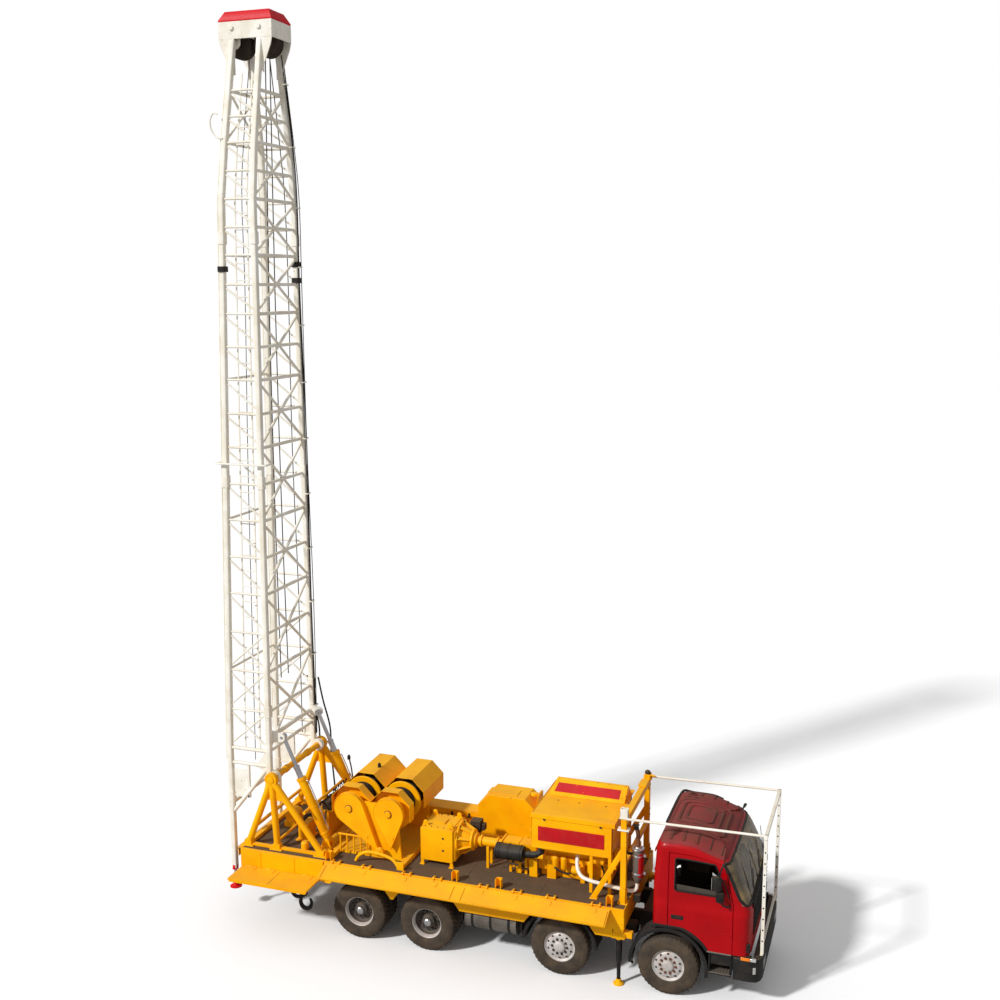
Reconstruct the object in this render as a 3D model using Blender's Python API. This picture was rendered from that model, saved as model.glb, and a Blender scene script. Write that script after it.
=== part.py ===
"""Truck-mounted workover rig with its mast raised: construction model.

Metres, +Z up. +X is the truck's front, +Y its left side. The origin is on the ground, below the
middle of the overall length. Lengths along the truck are written from axle 1 and turned into model
X by tx(). Each sub-part has its own short function, and main() builds them in order.
"""

import math

import bmesh
import bpy
from mathutils import Matrix, Vector

# ---------------------------------------------------------------- fits
SEAT = 0.0003                    # gap between two faces that touch
RUN = 0.0006                     # gap between a hinge knuckle and what carries it
BURY = 0.004                     # how far one welded member reaches into the next

# ---------------------------------------------------------------- overall
NOSE_REACH = 1.60                # axle 1 to the foremost face
TAIL_REACH = 8.81                # axle 1 to the rearmost face
AXLE_1_X = (TAIL_REACH - NOSE_REACH) / 2


def tx(from_axle_1):
    """Model X of a length measured forward of axle 1."""
    return AXLE_1_X + from_axle_1


# ---------------------------------------------------------------- wheels and axles
TYRE_R = 0.54
TYRE_W = 0.30
TYRE_SIDE = 0.028                # bulge of the sidewall past the bead
TREAD_R = 0.05                   # shoulder drop
RIM_R = 0.285                    # bead seat of the tyre
RIM_LIP = 0.030
TYRE_OUTER_Y = 1.22              # outer sidewall
TWIN_GAP = 0.04
HUB_R = 0.12
SPINDLE_R = 0.045
AXLE_2 = -1.95
AXLE_3 = -4.50
AXLE_4 = -5.87
KINGPIN_Y = 0.86
KINGPIN_R = 0.022
BOSS_R = 0.045
BOSS_H = 0.14
BEAM_H = 0.10
STEER_SEGMENTS = 16
WHEEL_SEGMENTS = 20

# ---------------------------------------------------------------- chassis and deck
RAIL_Y = 0.43                    # outer face of a chassis rail
RAIL_T = 0.08
RAIL_Z = (0.80, 1.08)
RAIL_X = (-8.30, 1.32)
DECK_TOP = 1.45
DECK_T = 0.05
DECK_HALF = 1.22
DECK_X = (-8.40, -0.42)
DECK_CROSS_H = 0.12
FASCIA_T = 0.03
FASCIA_Z = 1.10
REAR_BAY = (-8.30, -6.62)        # the folded-out walkways
FRONT_BAY = (-6.55, -1.02)       # the sloping side panels
FLAP_T = 0.03
WALK_W = 0.57
WALK_DROP = 0.335                # deck top to the walkway's hinge
PANEL_W = 0.38
PANEL_SLOPE = 22.0               # degrees below level
GUSSETS = (-6.40, -5.05, -3.80, -2.45, -1.15)

# ---------------------------------------------------------------- mast
PIVOT = (-7.74, 2.85)            # axis of the mast hinge: x, z
PIVOT_R = 0.06
PIVOT_PLAY = 0.0009
EAR_R = 0.115
FRONT_LEG_X = -7.84
LEG_W = 0.10
BRACE_W = 0.05
# height, half width between leg centres, depth between leg centres
MAST_STATIONS = (
    (3.35, 0.900, 0.85),
    (13.69, 0.755, 0.64),
    (14.68, 0.640, 0.60),
    (16.50, 0.310, 0.55),
)
MAST_NODES = (3.35, 4.91, 6.42, 7.83, 9.20, 10.45, 11.65, 12.70, 13.69, 14.68, 15.60)
LEG_FOOT_Z = 0.85                # lower end of the rear legs
JACK_PAD_Z = 0.45
JACK_PAD_R = 0.12
JACK_SCREW_R = 0.03
STAY_FOOT_Z = 2.00
CROWN_L = 1.08
CROWN_W = 0.72
CROWN_H = 0.30
CROWN_CAP_H = 0.19
CROWN_CAP_INSET = 0.09
CROWN_WALL = 0.03
SHEAVE_R = 0.25
SHEAVE_SPACING = 0.55
SHEAVE_DROP = 0.05               # shaft below the crown block
CHEEK_T = 0.025
SHEAVE_SHAFT_R = 0.035

# ---------------------------------------------------------------- mast A-frames and raising rams
AFRAME_Y = 1.02
AFRAME_T = 0.10
AFRAME_TUBE = 0.09
AFRAME_APEX_R = 0.13
AFRAME_FEET = (-8.28, -7.66, -6.72)
AFRAME_SHOE_H = 0.09
RAM_Y = 0.72
RAM_BASE = (-6.74, 1.63)         # x, z of the barrel's pin
RAM_EYE = (-7.62, 3.62)          # x, z of the rod's eye, mast upright
RAM_BARREL_L = 1.00
RAM_BARREL_R = 0.075
RAM_STAGE_R = 0.056
RAM_STAGE_L = 0.86
RAM_ROD_R = 0.038
RAM_LAP = 0.30                   # overlap left between stages when the ram is out
RAM_PIN_R = 0.030
RAM_EYE_R = 0.060
RAM_EYE_W = 0.10
RAM_NECK = 0.12                  # pin to the barrel's lower end
RAM_PLAY = 0.001
MAST_LOWERED_DEG = 86.0

# ---------------------------------------------------------------- drawworks
DRUM_XZ = ((-6.21, 2.40), (-5.40, 2.40))
DRUM_HALF = 0.62
DRUM_FLANGE_R = 0.38
DRUM_CORE_R = 0.20
DRUM_FLANGE_T = 0.04
DRUM_SHAFT_R = 0.05
SIDE_PLATE_Y = 0.70
SIDE_PLATE_T = 0.05
CASE_T = 0.10
CASE_R = 0.30
CASE_TIPS = ((-5.60, 1.62), (-5.36, 1.70))
BRAKE_R = 0.36
BRAKE_T = 0.24
SKID_X = (-6.62, -5.00)

# ---------------------------------------------------------------- power line on the deck
GEARBOX_X = (-4.85, -4.12)
GEARBOX_Y = (-0.72, -0.04)
GEARBOX_Z = (1.55, 2.18)
SHAFT_Y = -0.37
SHAFT_Z = 1.92
ENGINE_X = (-2.58, -1.18)
ENGINE_Y = (-0.42, 0.46)
ENGINE_Z = (1.58, 2.62)
CLEANER_X = (-3.30, -2.80)
CLEANER_YZ = (-0.64, 1.92)
CLEANER_R = 0.14
HOOD_X = (-2.66, -1.10)
HOOD_HALF = 0.80
HOOD_Z = (2.18, 2.78)
HOOD_WALL = 0.02
HOOD_POST = 0.06
RAISED_X = (-2.52, -1.16)
RAISED_Y = (-0.40, 0.50)
RAISED_H = 0.38
RAISED_LEAN = 0.26               # its right face leans in this far
TANK_X = (-4.12, -2.94)
TANK_Y = (0.56, 1.14)
TANK_TOP = 2.42
TOOLBOX_X = (-5.38, -4.10)
TOOLBOX_Y = (0.80, 1.13)
TOOLBOX_TOP = 1.90
MUFFLER_XY = (-0.59, -0.80)
MUFFLER_R = 0.09
MUFFLER_Z = (1.82, 2.42)
TAILPIPE_R = 0.045
TAILPIPE_TOP = 2.80

# ---------------------------------------------------------------- mast rest and cab guard
REST_X = -0.86
REST_Y = 0.95
REST_POST = 0.10
REST_CLEAR = 0.012               # below the lowered mast
GUARD_Y = 1.00
GUARD_Z = 3.05
GUARD_BAR = 0.06

# ---------------------------------------------------------------- cab
CAB_X = (-0.30, 1.40)
CAB_HALF = 1.20
CAB_Z = (1.12, 2.90)
CAB_NOSE_Z = 0.95                # lower edge ahead of the wheel arch
CAB_WALL = 0.045
CAB_NOSE_SLOPE = 0.10            # the windscreen leans back this far
SILL_Z = 1.98                    # lower edge of the windscreen
HEADER_Z = 2.72
SCREEN_HALF = 1.06
DOOR_X = (0.16, 1.12)
DOOR_Z = (1.20, 2.74)
DOOR_GAP = 0.006
DOOR_WINDOW_X = (0.30, 1.02)
DOOR_WINDOW_Z = (1.92, 2.60)
GLASS_T = 0.006
BUMPER_Z = (0.50, 0.94)
BUMPER_T = 0.16
STEP_X = (0.74, 1.36)
STEP_IN_Y = 0.72
STEP_BOTTOM = 0.52

# ---------------------------------------------------------------- under the frame
FUEL_X = (-3.76, -2.78)
FUEL_YZ = (-0.90, 0.76)
FUEL_R = 0.26
TRUCK_ENGINE_X = (-0.62, 1.00)
TRUCK_ENGINE_Z = (0.66, 1.08)
FRONT_JACK_X = -0.92
FRONT_JACK_Y = 1.13
FRONT_JACK_BEAM = 0.12

# ---------------------------------------------------------------- finishes: colour, roughness, metallic
YELLOW = ((0.90, 0.43, 0.01), 0.45, 0.0)
RED = ((0.50, 0.01, 0.015), 0.40, 0.0)
WHITE = ((0.86, 0.84, 0.78), 0.50, 0.0)
DECK_BROWN = ((0.060, 0.040, 0.025), 0.85, 0.0)
RUBBER = ((0.045, 0.035, 0.028), 0.90, 0.0)
RIM_GREY = ((0.42, 0.38, 0.35), 0.60, 0.3)
RIM_DARK = ((0.12, 0.095, 0.080), 0.70, 0.3)
BLACK = ((0.020, 0.020, 0.022), 0.60, 0.0)
IRON = ((0.11, 0.09, 0.075), 0.75, 0.5)
STEEL = ((0.55, 0.55, 0.56), 0.30, 0.9)
SEAT_CLOTH = ((0.055, 0.050, 0.050), 0.90, 0.0)
GLASS = ((0.16, 0.13, 0.10), 0.10, 0.0)

SIDES = (("right", -1), ("left", 1))


# ================================================================ helpers
def clear_scene():
    """Remove every object of the scene that the script starts in."""
    for old in list(bpy.data.objects):
        bpy.data.objects.remove(old, do_unlink=True)


def paint(obj, finish):
    """Give the object its own Principled BSDF material."""
    colour, roughness, metallic = finish
    material = bpy.data.materials.new(obj.name + "_finish")
    material.use_nodes = True
    shader = material.node_tree.nodes["Principled BSDF"]
    shader.inputs["Base Color"].default_value = (*colour, 1.0)
    shader.inputs["Roughness"].default_value = roughness
    shader.inputs["Metallic"].default_value = metallic
    obj.data.materials.append(material)


def to_object(name, bm, at=(0.0, 0.0, 0.0)):
    """Turn world-space geometry into an object whose origin is at the given point."""
    bmesh.ops.recalc_face_normals(bm, faces=bm.faces[:])
    bmesh.ops.translate(bm, verts=bm.verts[:], vec=-Vector(at))
    mesh = bpy.data.meshes.new(name)
    bm.to_mesh(mesh)
    bm.free()
    obj = bpy.data.objects.new(name, mesh)
    obj.location = at
    bpy.context.scene.collection.objects.link(obj)
    return obj


def node(name, bm, finish, at=(0.0, 0.0, 0.0), smooth=False):
    """Make one painted node."""
    obj = to_object(name, bm, at)
    paint(obj, finish)
    if smooth:
        for face in obj.data.polygons:
            face.use_smooth = True
    return obj


def boolean(obj, bm, operation):
    """Weld other geometry to an object, or cut it away, with an exact Boolean."""
    tool = to_object(f"{obj.name}_{operation.lower()}_{len(obj.modifiers)}", bm)
    tool.hide_render = True
    tool.display_type = "WIRE"
    step = obj.modifiers.new(operation.lower(), "BOOLEAN")
    step.operation = operation
    step.solver = "EXACT"
    step.use_self = operation == "UNION"
    step.object = tool


def weld(obj, bm):
    """Join members that reach into the object or into each other."""
    boolean(obj, bm, "UNION")


def cut(obj, bm):
    """Cut the given solids out of the object."""
    boolean(obj, bm, "DIFFERENCE")


def box(bm, x, y, z):
    """Add a block between the (low, high) pairs of each axis."""
    grown = bmesh.ops.create_cube(bm, size=1.0)["verts"]
    size = [max(p) - min(p) for p in (x, y, z)]
    middle = [(p[0] + p[1]) / 2 for p in (x, y, z)]
    bmesh.ops.scale(bm, verts=grown, vec=size)
    bmesh.ops.translate(bm, verts=grown, vec=middle)
    return grown


def strut(bm, start, end, width, depth=None, side=(0.0, 1.0, 0.0)):
    """Add a square member from start to end; width lies across `side`, depth along it."""
    start, end = Vector(start), Vector(end)
    along = end - start
    across = along.cross(Vector(side)).normalized()
    third = across.cross(along).normalized()
    grown = bmesh.ops.create_cube(bm, size=1.0)["verts"]
    bmesh.ops.scale(bm, verts=grown, vec=(width, depth or width, along.length))
    turn = Matrix((across, third, along.normalized())).transposed().to_4x4()
    bmesh.ops.transform(bm, matrix=Matrix.Translation((start + end) / 2) @ turn, verts=grown)


def rod(bm, start, end, radius, segments=16):
    """Add a round bar from start to end."""
    start, end = Vector(start), Vector(end)
    along = end - start
    turn = along.to_track_quat("Z", "Y").to_matrix().to_4x4()
    bmesh.ops.create_cone(bm, cap_ends=True, segments=segments, radius1=radius, radius2=radius,
                          depth=along.length,
                          matrix=Matrix.Translation((start + end) / 2) @ turn)


def prism(bm, outline, y):
    """Add an (x, z) outline extruded between two Y values."""
    low = [bm.verts.new((px, y[0], pz)) for px, pz in outline]
    high = [bm.verts.new((px, y[1], pz)) for px, pz in outline]
    bm.faces.new(low)
    bm.faces.new(high)
    count = len(outline)
    for i in range(count):
        j = (i + 1) % count
        bm.faces.new((low[i], low[j], high[j], high[i]))


def lathe(bm, profile, centre, segments):
    """Spin a closed (radius, y) profile about the line along Y through centre (x, z).

    A point of radius 0 lies on the axis and is shared by all segments.
    """
    rings = []
    for radius, y in profile:
        if radius == 0.0:
            rings.append([bm.verts.new((centre[0], y, centre[1]))] * segments)
            continue
        ring = []
        for i in range(segments):
            angle = 2 * math.pi * i / segments
            ring.append(bm.verts.new((centre[0] + radius * math.sin(angle), y,
                                      centre[1] - radius * math.cos(angle))))
        rings.append(ring)
    closed = all(radius > 0.0 for radius, _ in profile)
    count = len(rings)
    for k in range(count if closed else count - 1):
        first, second = rings[k], rings[(k + 1) % count]
        for i in range(segments):
            j = (i + 1) % segments
            corners = dict.fromkeys((first[i], first[j], second[j], second[i]))
            bm.faces.new(list(corners))


def between(low, high, share):
    """Linear mix of two values."""
    return low + (high - low) * share


# ================================================================ wheels
def tyre_profile(outer_y, side, count):
    """Closed (radius, y) outline of one tyre, or of a twin pair joined by its spacer band."""
    tread_in = TYRE_SIDE
    points = []
    for k in range(count):
        a = outer_y - k * (TYRE_W + TWIN_GAP)
        b = a - TYRE_W
        points += [
            (RIM_R + SEAT, a - tread_in) if k == 0 else (RIM_R + 2 * RIM_LIP, a),
            (TYRE_R - 0.16, a),
            (TYRE_R - TREAD_R, a - 0.012),
            (TYRE_R, a - 0.045),
            (TYRE_R, b + 0.045),
            (TYRE_R - TREAD_R, b + 0.012),
            (TYRE_R - 0.16, b),
            (RIM_R + SEAT, b + tread_in) if k == count - 1 else (RIM_R + 2 * RIM_LIP, b),
        ]
    return [(radius, side * y) for radius, y in points]


def rim_profile(outer_y, side, count, dish):
    """(radius, y) outline of a rim with its hub; dish is how deep the disc sits in the rim."""
    width = count * TYRE_W + (count - 1) * TWIN_GAP
    inner_y = outer_y - width + TYRE_SIDE
    bead_y = outer_y - TYRE_SIDE
    face = outer_y - dish
    bore_end = face - 0.02
    hub_in = KINGPIN_Y + BOSS_R + 0.035
    if count > 1:
        hub_in = inner_y + 0.05
    points = [
        (0.0, face + 0.05),
        (HUB_R * 0.7, face + 0.05),
        (HUB_R * 0.8, face),
        (RIM_R - 0.045, face - 0.01),
        (RIM_R - 0.03, bead_y),
        (RIM_R, bead_y),
        (RIM_R, inner_y),
        (RIM_R - 0.03, inner_y),
        (RIM_R - 0.055, face - 0.04),
        (HUB_R, face - 0.05),
        (HUB_R * 0.75, hub_in),
        (SPINDLE_R + RUN, hub_in),
        (SPINDLE_R + RUN, bore_end),
        (0.0, bore_end),
    ]
    return [(radius, side * y) for radius, y in points]


def wheel(axle_name, axle_x, side_name, side, twin):
    """A tyre (or twin pair) and its rim, spinning about the axle."""
    centre = (tx(axle_x), TYRE_R)
    at = (centre[0], side * TYRE_OUTER_Y, centre[1])
    count = 2 if twin else 1
    dish = 0.17 if twin else 0.045
    bm = bmesh.new()
    lathe(bm, tyre_profile(TYRE_OUTER_Y, side, count), centre, WHEEL_SEGMENTS)
    node(f"tyre_{axle_name}_{side_name}", bm, RUBBER, at, smooth=True)
    bm = bmesh.new()
    lathe(bm, rim_profile(TYRE_OUTER_Y, side, count, dish), centre, WHEEL_SEGMENTS)
    node(f"rim_{axle_name}_{side_name}", bm, RIM_DARK if twin else RIM_GREY, at, smooth=True)


def hub_bore_end(dish):
    """Y of the blind end of a hub's bore."""
    return TYRE_OUTER_Y - dish - 0.02


def spring_outline(x, reach):
    """(x, z) outline of a leaf spring pack that seats under the chassis rail."""
    top = RAIL_Z[0] - SEAT
    low = TYRE_R + BEAM_H / 2 - BURY
    return [
        (x - reach, top), (x - reach + 0.10, top), (x - 0.12, low + 0.07), (x + 0.12, low + 0.07),
        (x + reach - 0.10, top), (x + reach, top), (x + 0.10, low), (x - 0.10, low),
    ]


def front_axle(name, axle_x):
    """Forged beam with a kingpin boss at each end and a leaf spring under each rail."""
    x = tx(axle_x)
    bm = bmesh.new()
    box(bm, (x - 0.045, x + 0.045), (-KINGPIN_Y, KINGPIN_Y),
        (TYRE_R - BEAM_H / 2, TYRE_R + BEAM_H / 2))
    obj = node(name, bm, IRON)
    bm = bmesh.new()
    for _, side in SIDES:
        y = side * KINGPIN_Y
        rod(bm, (x, y, TYRE_R - BOSS_H / 2), (x, y, TYRE_R + BOSS_H / 2), BOSS_R, STEER_SEGMENTS)
        rail = sorted((side * (RAIL_Y - RAIL_T + 0.005), side * (RAIL_Y - 0.005)))
        prism(bm, spring_outline(x, 0.55), rail)
    weld(obj, bm)
    bm = bmesh.new()
    for _, side in SIDES:
        y = side * KINGPIN_Y
        rod(bm, (x, y, TYRE_R - BOSS_H), (x, y, TYRE_R + BOSS_H), KINGPIN_R + RAM_PLAY,
            STEER_SEGMENTS)
    cut(obj, bm)


def knuckle(name, axle_x, side):
    """Steering knuckle: yoke arms over the boss, the kingpin through it and the wheel's spindle."""
    x = tx(axle_x)
    y = side * KINGPIN_Y
    reach = side * (KINGPIN_Y + BOSS_R + 0.030)
    arm_z = BOSS_H / 2 + 0.004
    bm = bmesh.new()
    rod(bm, (x, y, TYRE_R - arm_z - 0.01), (x, y, TYRE_R + arm_z + 0.01), KINGPIN_R, STEER_SEGMENTS)
    obj = node(name, bm, IRON, (x, y, TYRE_R))
    bm = bmesh.new()
    back = side * (KINGPIN_Y + BOSS_R + 0.006)
    for up in (-1, 1):
        z = sorted((TYRE_R + up * arm_z, TYRE_R + up * (arm_z + 0.03)))
        box(bm, (x - 0.04, x + 0.04), sorted((y - side * 0.04, reach)), z)
    box(bm, (x - 0.05, x + 0.05), sorted((back, reach)),
        (TYRE_R - arm_z - 0.02, TYRE_R + arm_z + 0.02))
    rod(bm, (x, back + side * 0.01, TYRE_R), (x, side * (hub_bore_end(0.045) - RUN), TYRE_R),
        SPINDLE_R, WHEEL_SEGMENTS)
    weld(obj, bm)


def rear_bogie():
    """Two drive axles with differentials, on one spring pack a side that both axles share."""
    inner = TYRE_OUTER_Y - 2 * TYRE_W - TWIN_GAP
    bm = bmesh.new()
    low = TYRE_R + 0.06
    middle = tx((AXLE_3 + AXLE_4) / 2)
    reach = (AXLE_3 - AXLE_4) / 2
    top = RAIL_Z[0] - SEAT
    outline = [
        (middle - reach - 0.12, low), (middle - reach + 0.12, low), (middle - 0.2, top - 0.09),
        (middle + 0.2, top - 0.09), (middle + reach - 0.12, low), (middle + reach + 0.12, low),
        (middle + reach + 0.12, low + 0.06), (middle + 0.25, top), (middle - 0.25, top),
        (middle - reach - 0.12, low + 0.06),
    ]
    prism(bm, outline, (RAIL_Y - RAIL_T + 0.005, RAIL_Y - 0.005))
    obj = node("rear_bogie", bm, IRON)
    bm = bmesh.new()
    prism(bm, outline, (-RAIL_Y + 0.005, -RAIL_Y + RAIL_T - 0.005))
    end = hub_bore_end(0.17) - RUN
    for axle_x in (AXLE_3, AXLE_4):
        x = tx(axle_x)
        rod(bm, (x, -inner + 0.02, TYRE_R), (x, inner - 0.02, TYRE_R), 0.075, STEER_SEGMENTS)
        rod(bm, (x, -end, TYRE_R), (x, end, TYRE_R), SPINDLE_R, WHEEL_SEGMENTS)
        rod(bm, (x, -0.14, TYRE_R), (x, 0.14, TYRE_R), 0.20, STEER_SEGMENTS)
    box(bm, (tx(AXLE_4), tx(AXLE_3)), (-0.03, 0.03), (TYRE_R - 0.03, TYRE_R + 0.03))
    weld(obj, bm)


# ================================================================ chassis and deck
def chassis_frame():
    """Two rails and the cross-members that join them."""
    rails = []
    for _, side in SIDES:
        rails.append(sorted((side * RAIL_Y, side * (RAIL_Y - RAIL_T))))
    bm = bmesh.new()
    box(bm, (tx(RAIL_X[0]), tx(RAIL_X[1])), rails[0], RAIL_Z)
    obj = node("chassis_frame", bm, DECK_BROWN)
    bm = bmesh.new()
    box(bm, (tx(RAIL_X[0]), tx(RAIL_X[1])), rails[1], RAIL_Z)
    inner = RAIL_Y - RAIL_T + BURY
    for from_axle_1 in (RAIL_X[0] + 0.08, -6.9, -5.18, -3.8, -2.5, -1.35, RAIL_X[1] - 0.10):
        x = tx(from_axle_1)
        box(bm, (x - 0.05, x + 0.05), (-inner, inner), (RAIL_Z[0] + 0.03, RAIL_Z[1] - 0.03))
    weld(obj, bm)


def deck():
    """Deck plate on two sills and cross-members, with a fascia and a stop rail at the rear bay."""
    x = (tx(DECK_X[0]), tx(DECK_X[1]))
    under = DECK_TOP - DECK_T
    bm = bmesh.new()
    box(bm, x, (-DECK_HALF, DECK_HALF), (under, DECK_TOP))
    obj = node("deck", bm, DECK_BROWN)
    bm = bmesh.new()
    for _, side in SIDES:
        sill = sorted((side * (RAIL_Y - RAIL_T + 0.004), side * (RAIL_Y - 0.004)))
        box(bm, (x[0] + 0.12, x[1] - 0.02), sill, (RAIL_Z[1] + SEAT, under + BURY))
        fascia = sorted((side * (DECK_HALF - BURY), side * (DECK_HALF + FASCIA_T)))
        bay = (tx(REAR_BAY[0]) - 0.02, tx(REAR_BAY[1]) + 0.02)
        box(bm, bay, fascia, (FASCIA_Z - 0.035, DECK_TOP - 0.008))
        low_fascia = sorted((side * (DECK_HALF - BURY - FASCIA_T), side * (DECK_HALF - BURY / 2)))
        box(bm, (bay[1] - 0.01, tx(FRONT_BAY[1])), low_fascia, (FASCIA_Z, under + 0.003))
        for place in GUSSETS:
            gusset(bm, side, place)
        rail_top = DECK_TOP - WALK_DROP - FLAP_T / 2 - RUN
        rail = sorted((side * (DECK_HALF + FASCIA_T - BURY), side * (DECK_HALF + FASCIA_T + 0.05)))
        box(bm, (bay[0] + 0.01, bay[1] - 0.01), rail, (rail_top - 0.02, rail_top))
    for from_axle_1 in (DECK_X[0] + 0.07, -7.5, -6.59, -5.2, -3.85, -2.35, -0.80):
        cx = tx(from_axle_1)
        half = DECK_HALF - 0.01
        box(bm, (cx - 0.04, cx + 0.04), (-half, half), (under - DECK_CROSS_H, under + BURY / 2))
    weld(obj, bm)


def walkway(side_name, side):
    """Rear walkway, folded out level from the hinge at the fascia."""
    y = side * (DECK_HALF + FASCIA_T + 0.025)
    z = DECK_TOP - WALK_DROP
    x = (tx(REAR_BAY[0]), tx(REAR_BAY[1]))
    bm = bmesh.new()
    rod(bm, (x[0], y, z), (x[1], y, z), FLAP_T / 2, 12)
    obj = node(f"walkway_{side_name}", bm, YELLOW, (tx(REAR_BAY[0]), y, z))
    bm = bmesh.new()
    box(bm, (x[0] + 0.01, x[1] - 0.01), sorted((y, y + side * WALK_W)),
        (z - FLAP_T / 2 + 0.001, z + FLAP_T / 2 - 0.001))
    weld(obj, bm)


def panel_hinge(side):
    """(y, z) of a side panel's hinge, at the deck's edge."""
    return side * (DECK_HALF + FLAP_T / 2 + RUN), DECK_TOP - DECK_T / 2


def side_panel(side_name, side):
    """Side walkway panel, folded out from the deck's edge to a slope on its gussets."""
    y, z = panel_hinge(side)
    x = (tx(FRONT_BAY[0]), tx(FRONT_BAY[1]))
    fall = math.radians(PANEL_SLOPE)
    middle = (x[0] + x[1]) / 2
    edge = Vector((middle, y + side * PANEL_W * math.cos(fall), z - PANEL_W * math.sin(fall)))
    bm = bmesh.new()
    rod(bm, (x[0], y, z), (x[1], y, z), FLAP_T / 2, 12)
    obj = node(f"side_panel_{side_name}", bm, YELLOW, (x[0], y, z))
    bm = bmesh.new()
    strut(bm, (middle, y, z), edge, FLAP_T - 0.002, x[1] - x[0] - 0.02, (1.0, 0.0, 0.0))
    weld(obj, bm)


def gusset(bm, side, from_axle_1):
    """Plate under a side panel: its top edge follows the panel's slope."""
    y, z = panel_hinge(side)
    fall = math.radians(PANEL_SLOPE)
    gap = FLAP_T / 2 + SEAT
    x = tx(from_axle_1)
    near = DECK_HALF - BURY
    start = side * y + 0.05
    reach = side * y + PANEL_W * 0.7
    below = gap / math.cos(fall)
    outline = []
    for out in (start, reach):
        outline.append((out, z - (out - side * y) * math.tan(fall) - below))
    outline += [(near, FASCIA_Z + 0.04), (near, outline[0][1] - 0.01)]
    rings = []
    for px in (x - 0.02, x + 0.02):
        rings.append([bm.verts.new((px, side * py, pz)) for py, pz in outline])
    bm.faces.new(rings[0])
    bm.faces.new(rings[1])
    for i in range(len(outline)):
        j = (i + 1) % len(outline)
        bm.faces.new((rings[0][i], rings[0][j], rings[1][j], rings[1][i]))


# ================================================================ mast
def mast_half_width(z):
    """Half width between leg centres at a height."""
    return mast_station(z, 1)


def mast_depth(z):
    """Depth between leg centres at a height."""
    return mast_station(z, 2)


def mast_station(z, column):
    """Value of a MAST_STATIONS column at a height, straight between stations."""
    if z <= MAST_STATIONS[0][0]:
        return MAST_STATIONS[0][column]
    for low, high in zip(MAST_STATIONS, MAST_STATIONS[1:]):
        if z <= high[0]:
            return between(low[column], high[column], (z - low[0]) / (high[0] - low[0]))
    return MAST_STATIONS[-1][column]


def front_leg(side, z):
    """Centre of a front leg at a height."""
    return Vector((tx(FRONT_LEG_X), side * mast_half_width(z), z))


def rear_leg(side, z):
    """Centre of a rear leg at a height."""
    return Vector((tx(FRONT_LEG_X - mast_depth(z)), side * mast_half_width(z), z))


def leg(bm, place, side, heights):
    """Square leg with a level section at each height."""
    half = LEG_W / 2
    rings = []
    for z in heights:
        c = place(side, z)
        ring = [bm.verts.new((c.x + a * half, c.y + b * half, z))
                for a, b in ((-1, -1), (1, -1), (1, 1), (-1, 1))]
        rings.append(ring)
    bm.faces.new(rings[0])
    bm.faces.new(rings[-1])
    for low, high in zip(rings, rings[1:]):
        for i in range(4):
            j = (i + 1) % 4
            bm.faces.new((low[i], low[j], high[j], high[i]))


def mast_top():
    """Height where the legs meet the crown block."""
    return MAST_STATIONS[-1][0]


def mast_front():
    """Front truss: two legs with hinge ears, X bracing and the lugs for the rams."""
    origin = (tx(PIVOT[0]), 0.0, PIVOT[1])
    heights = [PIVOT[1]] + [row[0] for row in MAST_STATIONS]
    heights[-1] -= SEAT
    bm = bmesh.new()
    leg(bm, front_leg, -1, heights)
    obj = node("mast_front", bm, WHITE, origin)
    bm = bmesh.new()
    leg(bm, front_leg, 1, heights)
    across = (1.0, 0.0, 0.0)
    for low, high in zip(MAST_NODES, MAST_NODES[1:]):
        middle = (low + high) / 2
        strut(bm, front_leg(-1, low), front_leg(1, high), BRACE_W - 0.004, BRACE_W - 0.006, across)
        strut(bm, front_leg(1, low), front_leg(-1, high), BRACE_W, BRACE_W, across)
        strut(bm, front_leg(-1, middle), front_leg(1, middle), BRACE_W - 0.008, BRACE_W + 0.006,
              across)
        strut(bm, front_leg(-1, low), front_leg(1, low), BRACE_W + 0.01, BRACE_W + 0.01, across)
    strut(bm, front_leg(-1, MAST_NODES[-1]), front_leg(1, MAST_NODES[-1]), BRACE_W + 0.01,
          BRACE_W + 0.01, across)
    lug_z = (RAM_EYE[1] - 0.07, RAM_EYE[1] + 0.07)
    for _, side in SIDES:
        ear = sorted((side * (mast_half_width(PIVOT[1]) - 0.048),
                      side * (mast_half_width(PIVOT[1]) + 0.046)))
        rod(bm, (tx(PIVOT[0]), ear[0], PIVOT[1]), (tx(PIVOT[0]), ear[1], PIVOT[1]), EAR_R, 20)
        lug_y = RAM_Y + RAM_EYE_W / 2 + 0.006
        box(bm, (tx(FRONT_LEG_X), tx(RAM_EYE[0]) + 0.06), sorted((side * lug_y, side * (lug_y + 0.03))),
            lug_z)
    strut(bm, front_leg(-1, RAM_EYE[1]), front_leg(1, RAM_EYE[1]), 0.08, 0.07, across)
    weld(obj, bm)
    bm = bmesh.new()
    rod(bm, (tx(PIVOT[0]), -1.2, PIVOT[1]), (tx(PIVOT[0]), 1.2, PIVOT[1]), PIVOT_R + PIVOT_PLAY, 24)
    cut(obj, bm)


def side_end(side, z):
    """Where a side brace seats on the rear face of the front leg."""
    point = front_leg(side, z)
    point.x -= LEG_W / 2 + SEAT
    return point


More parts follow.
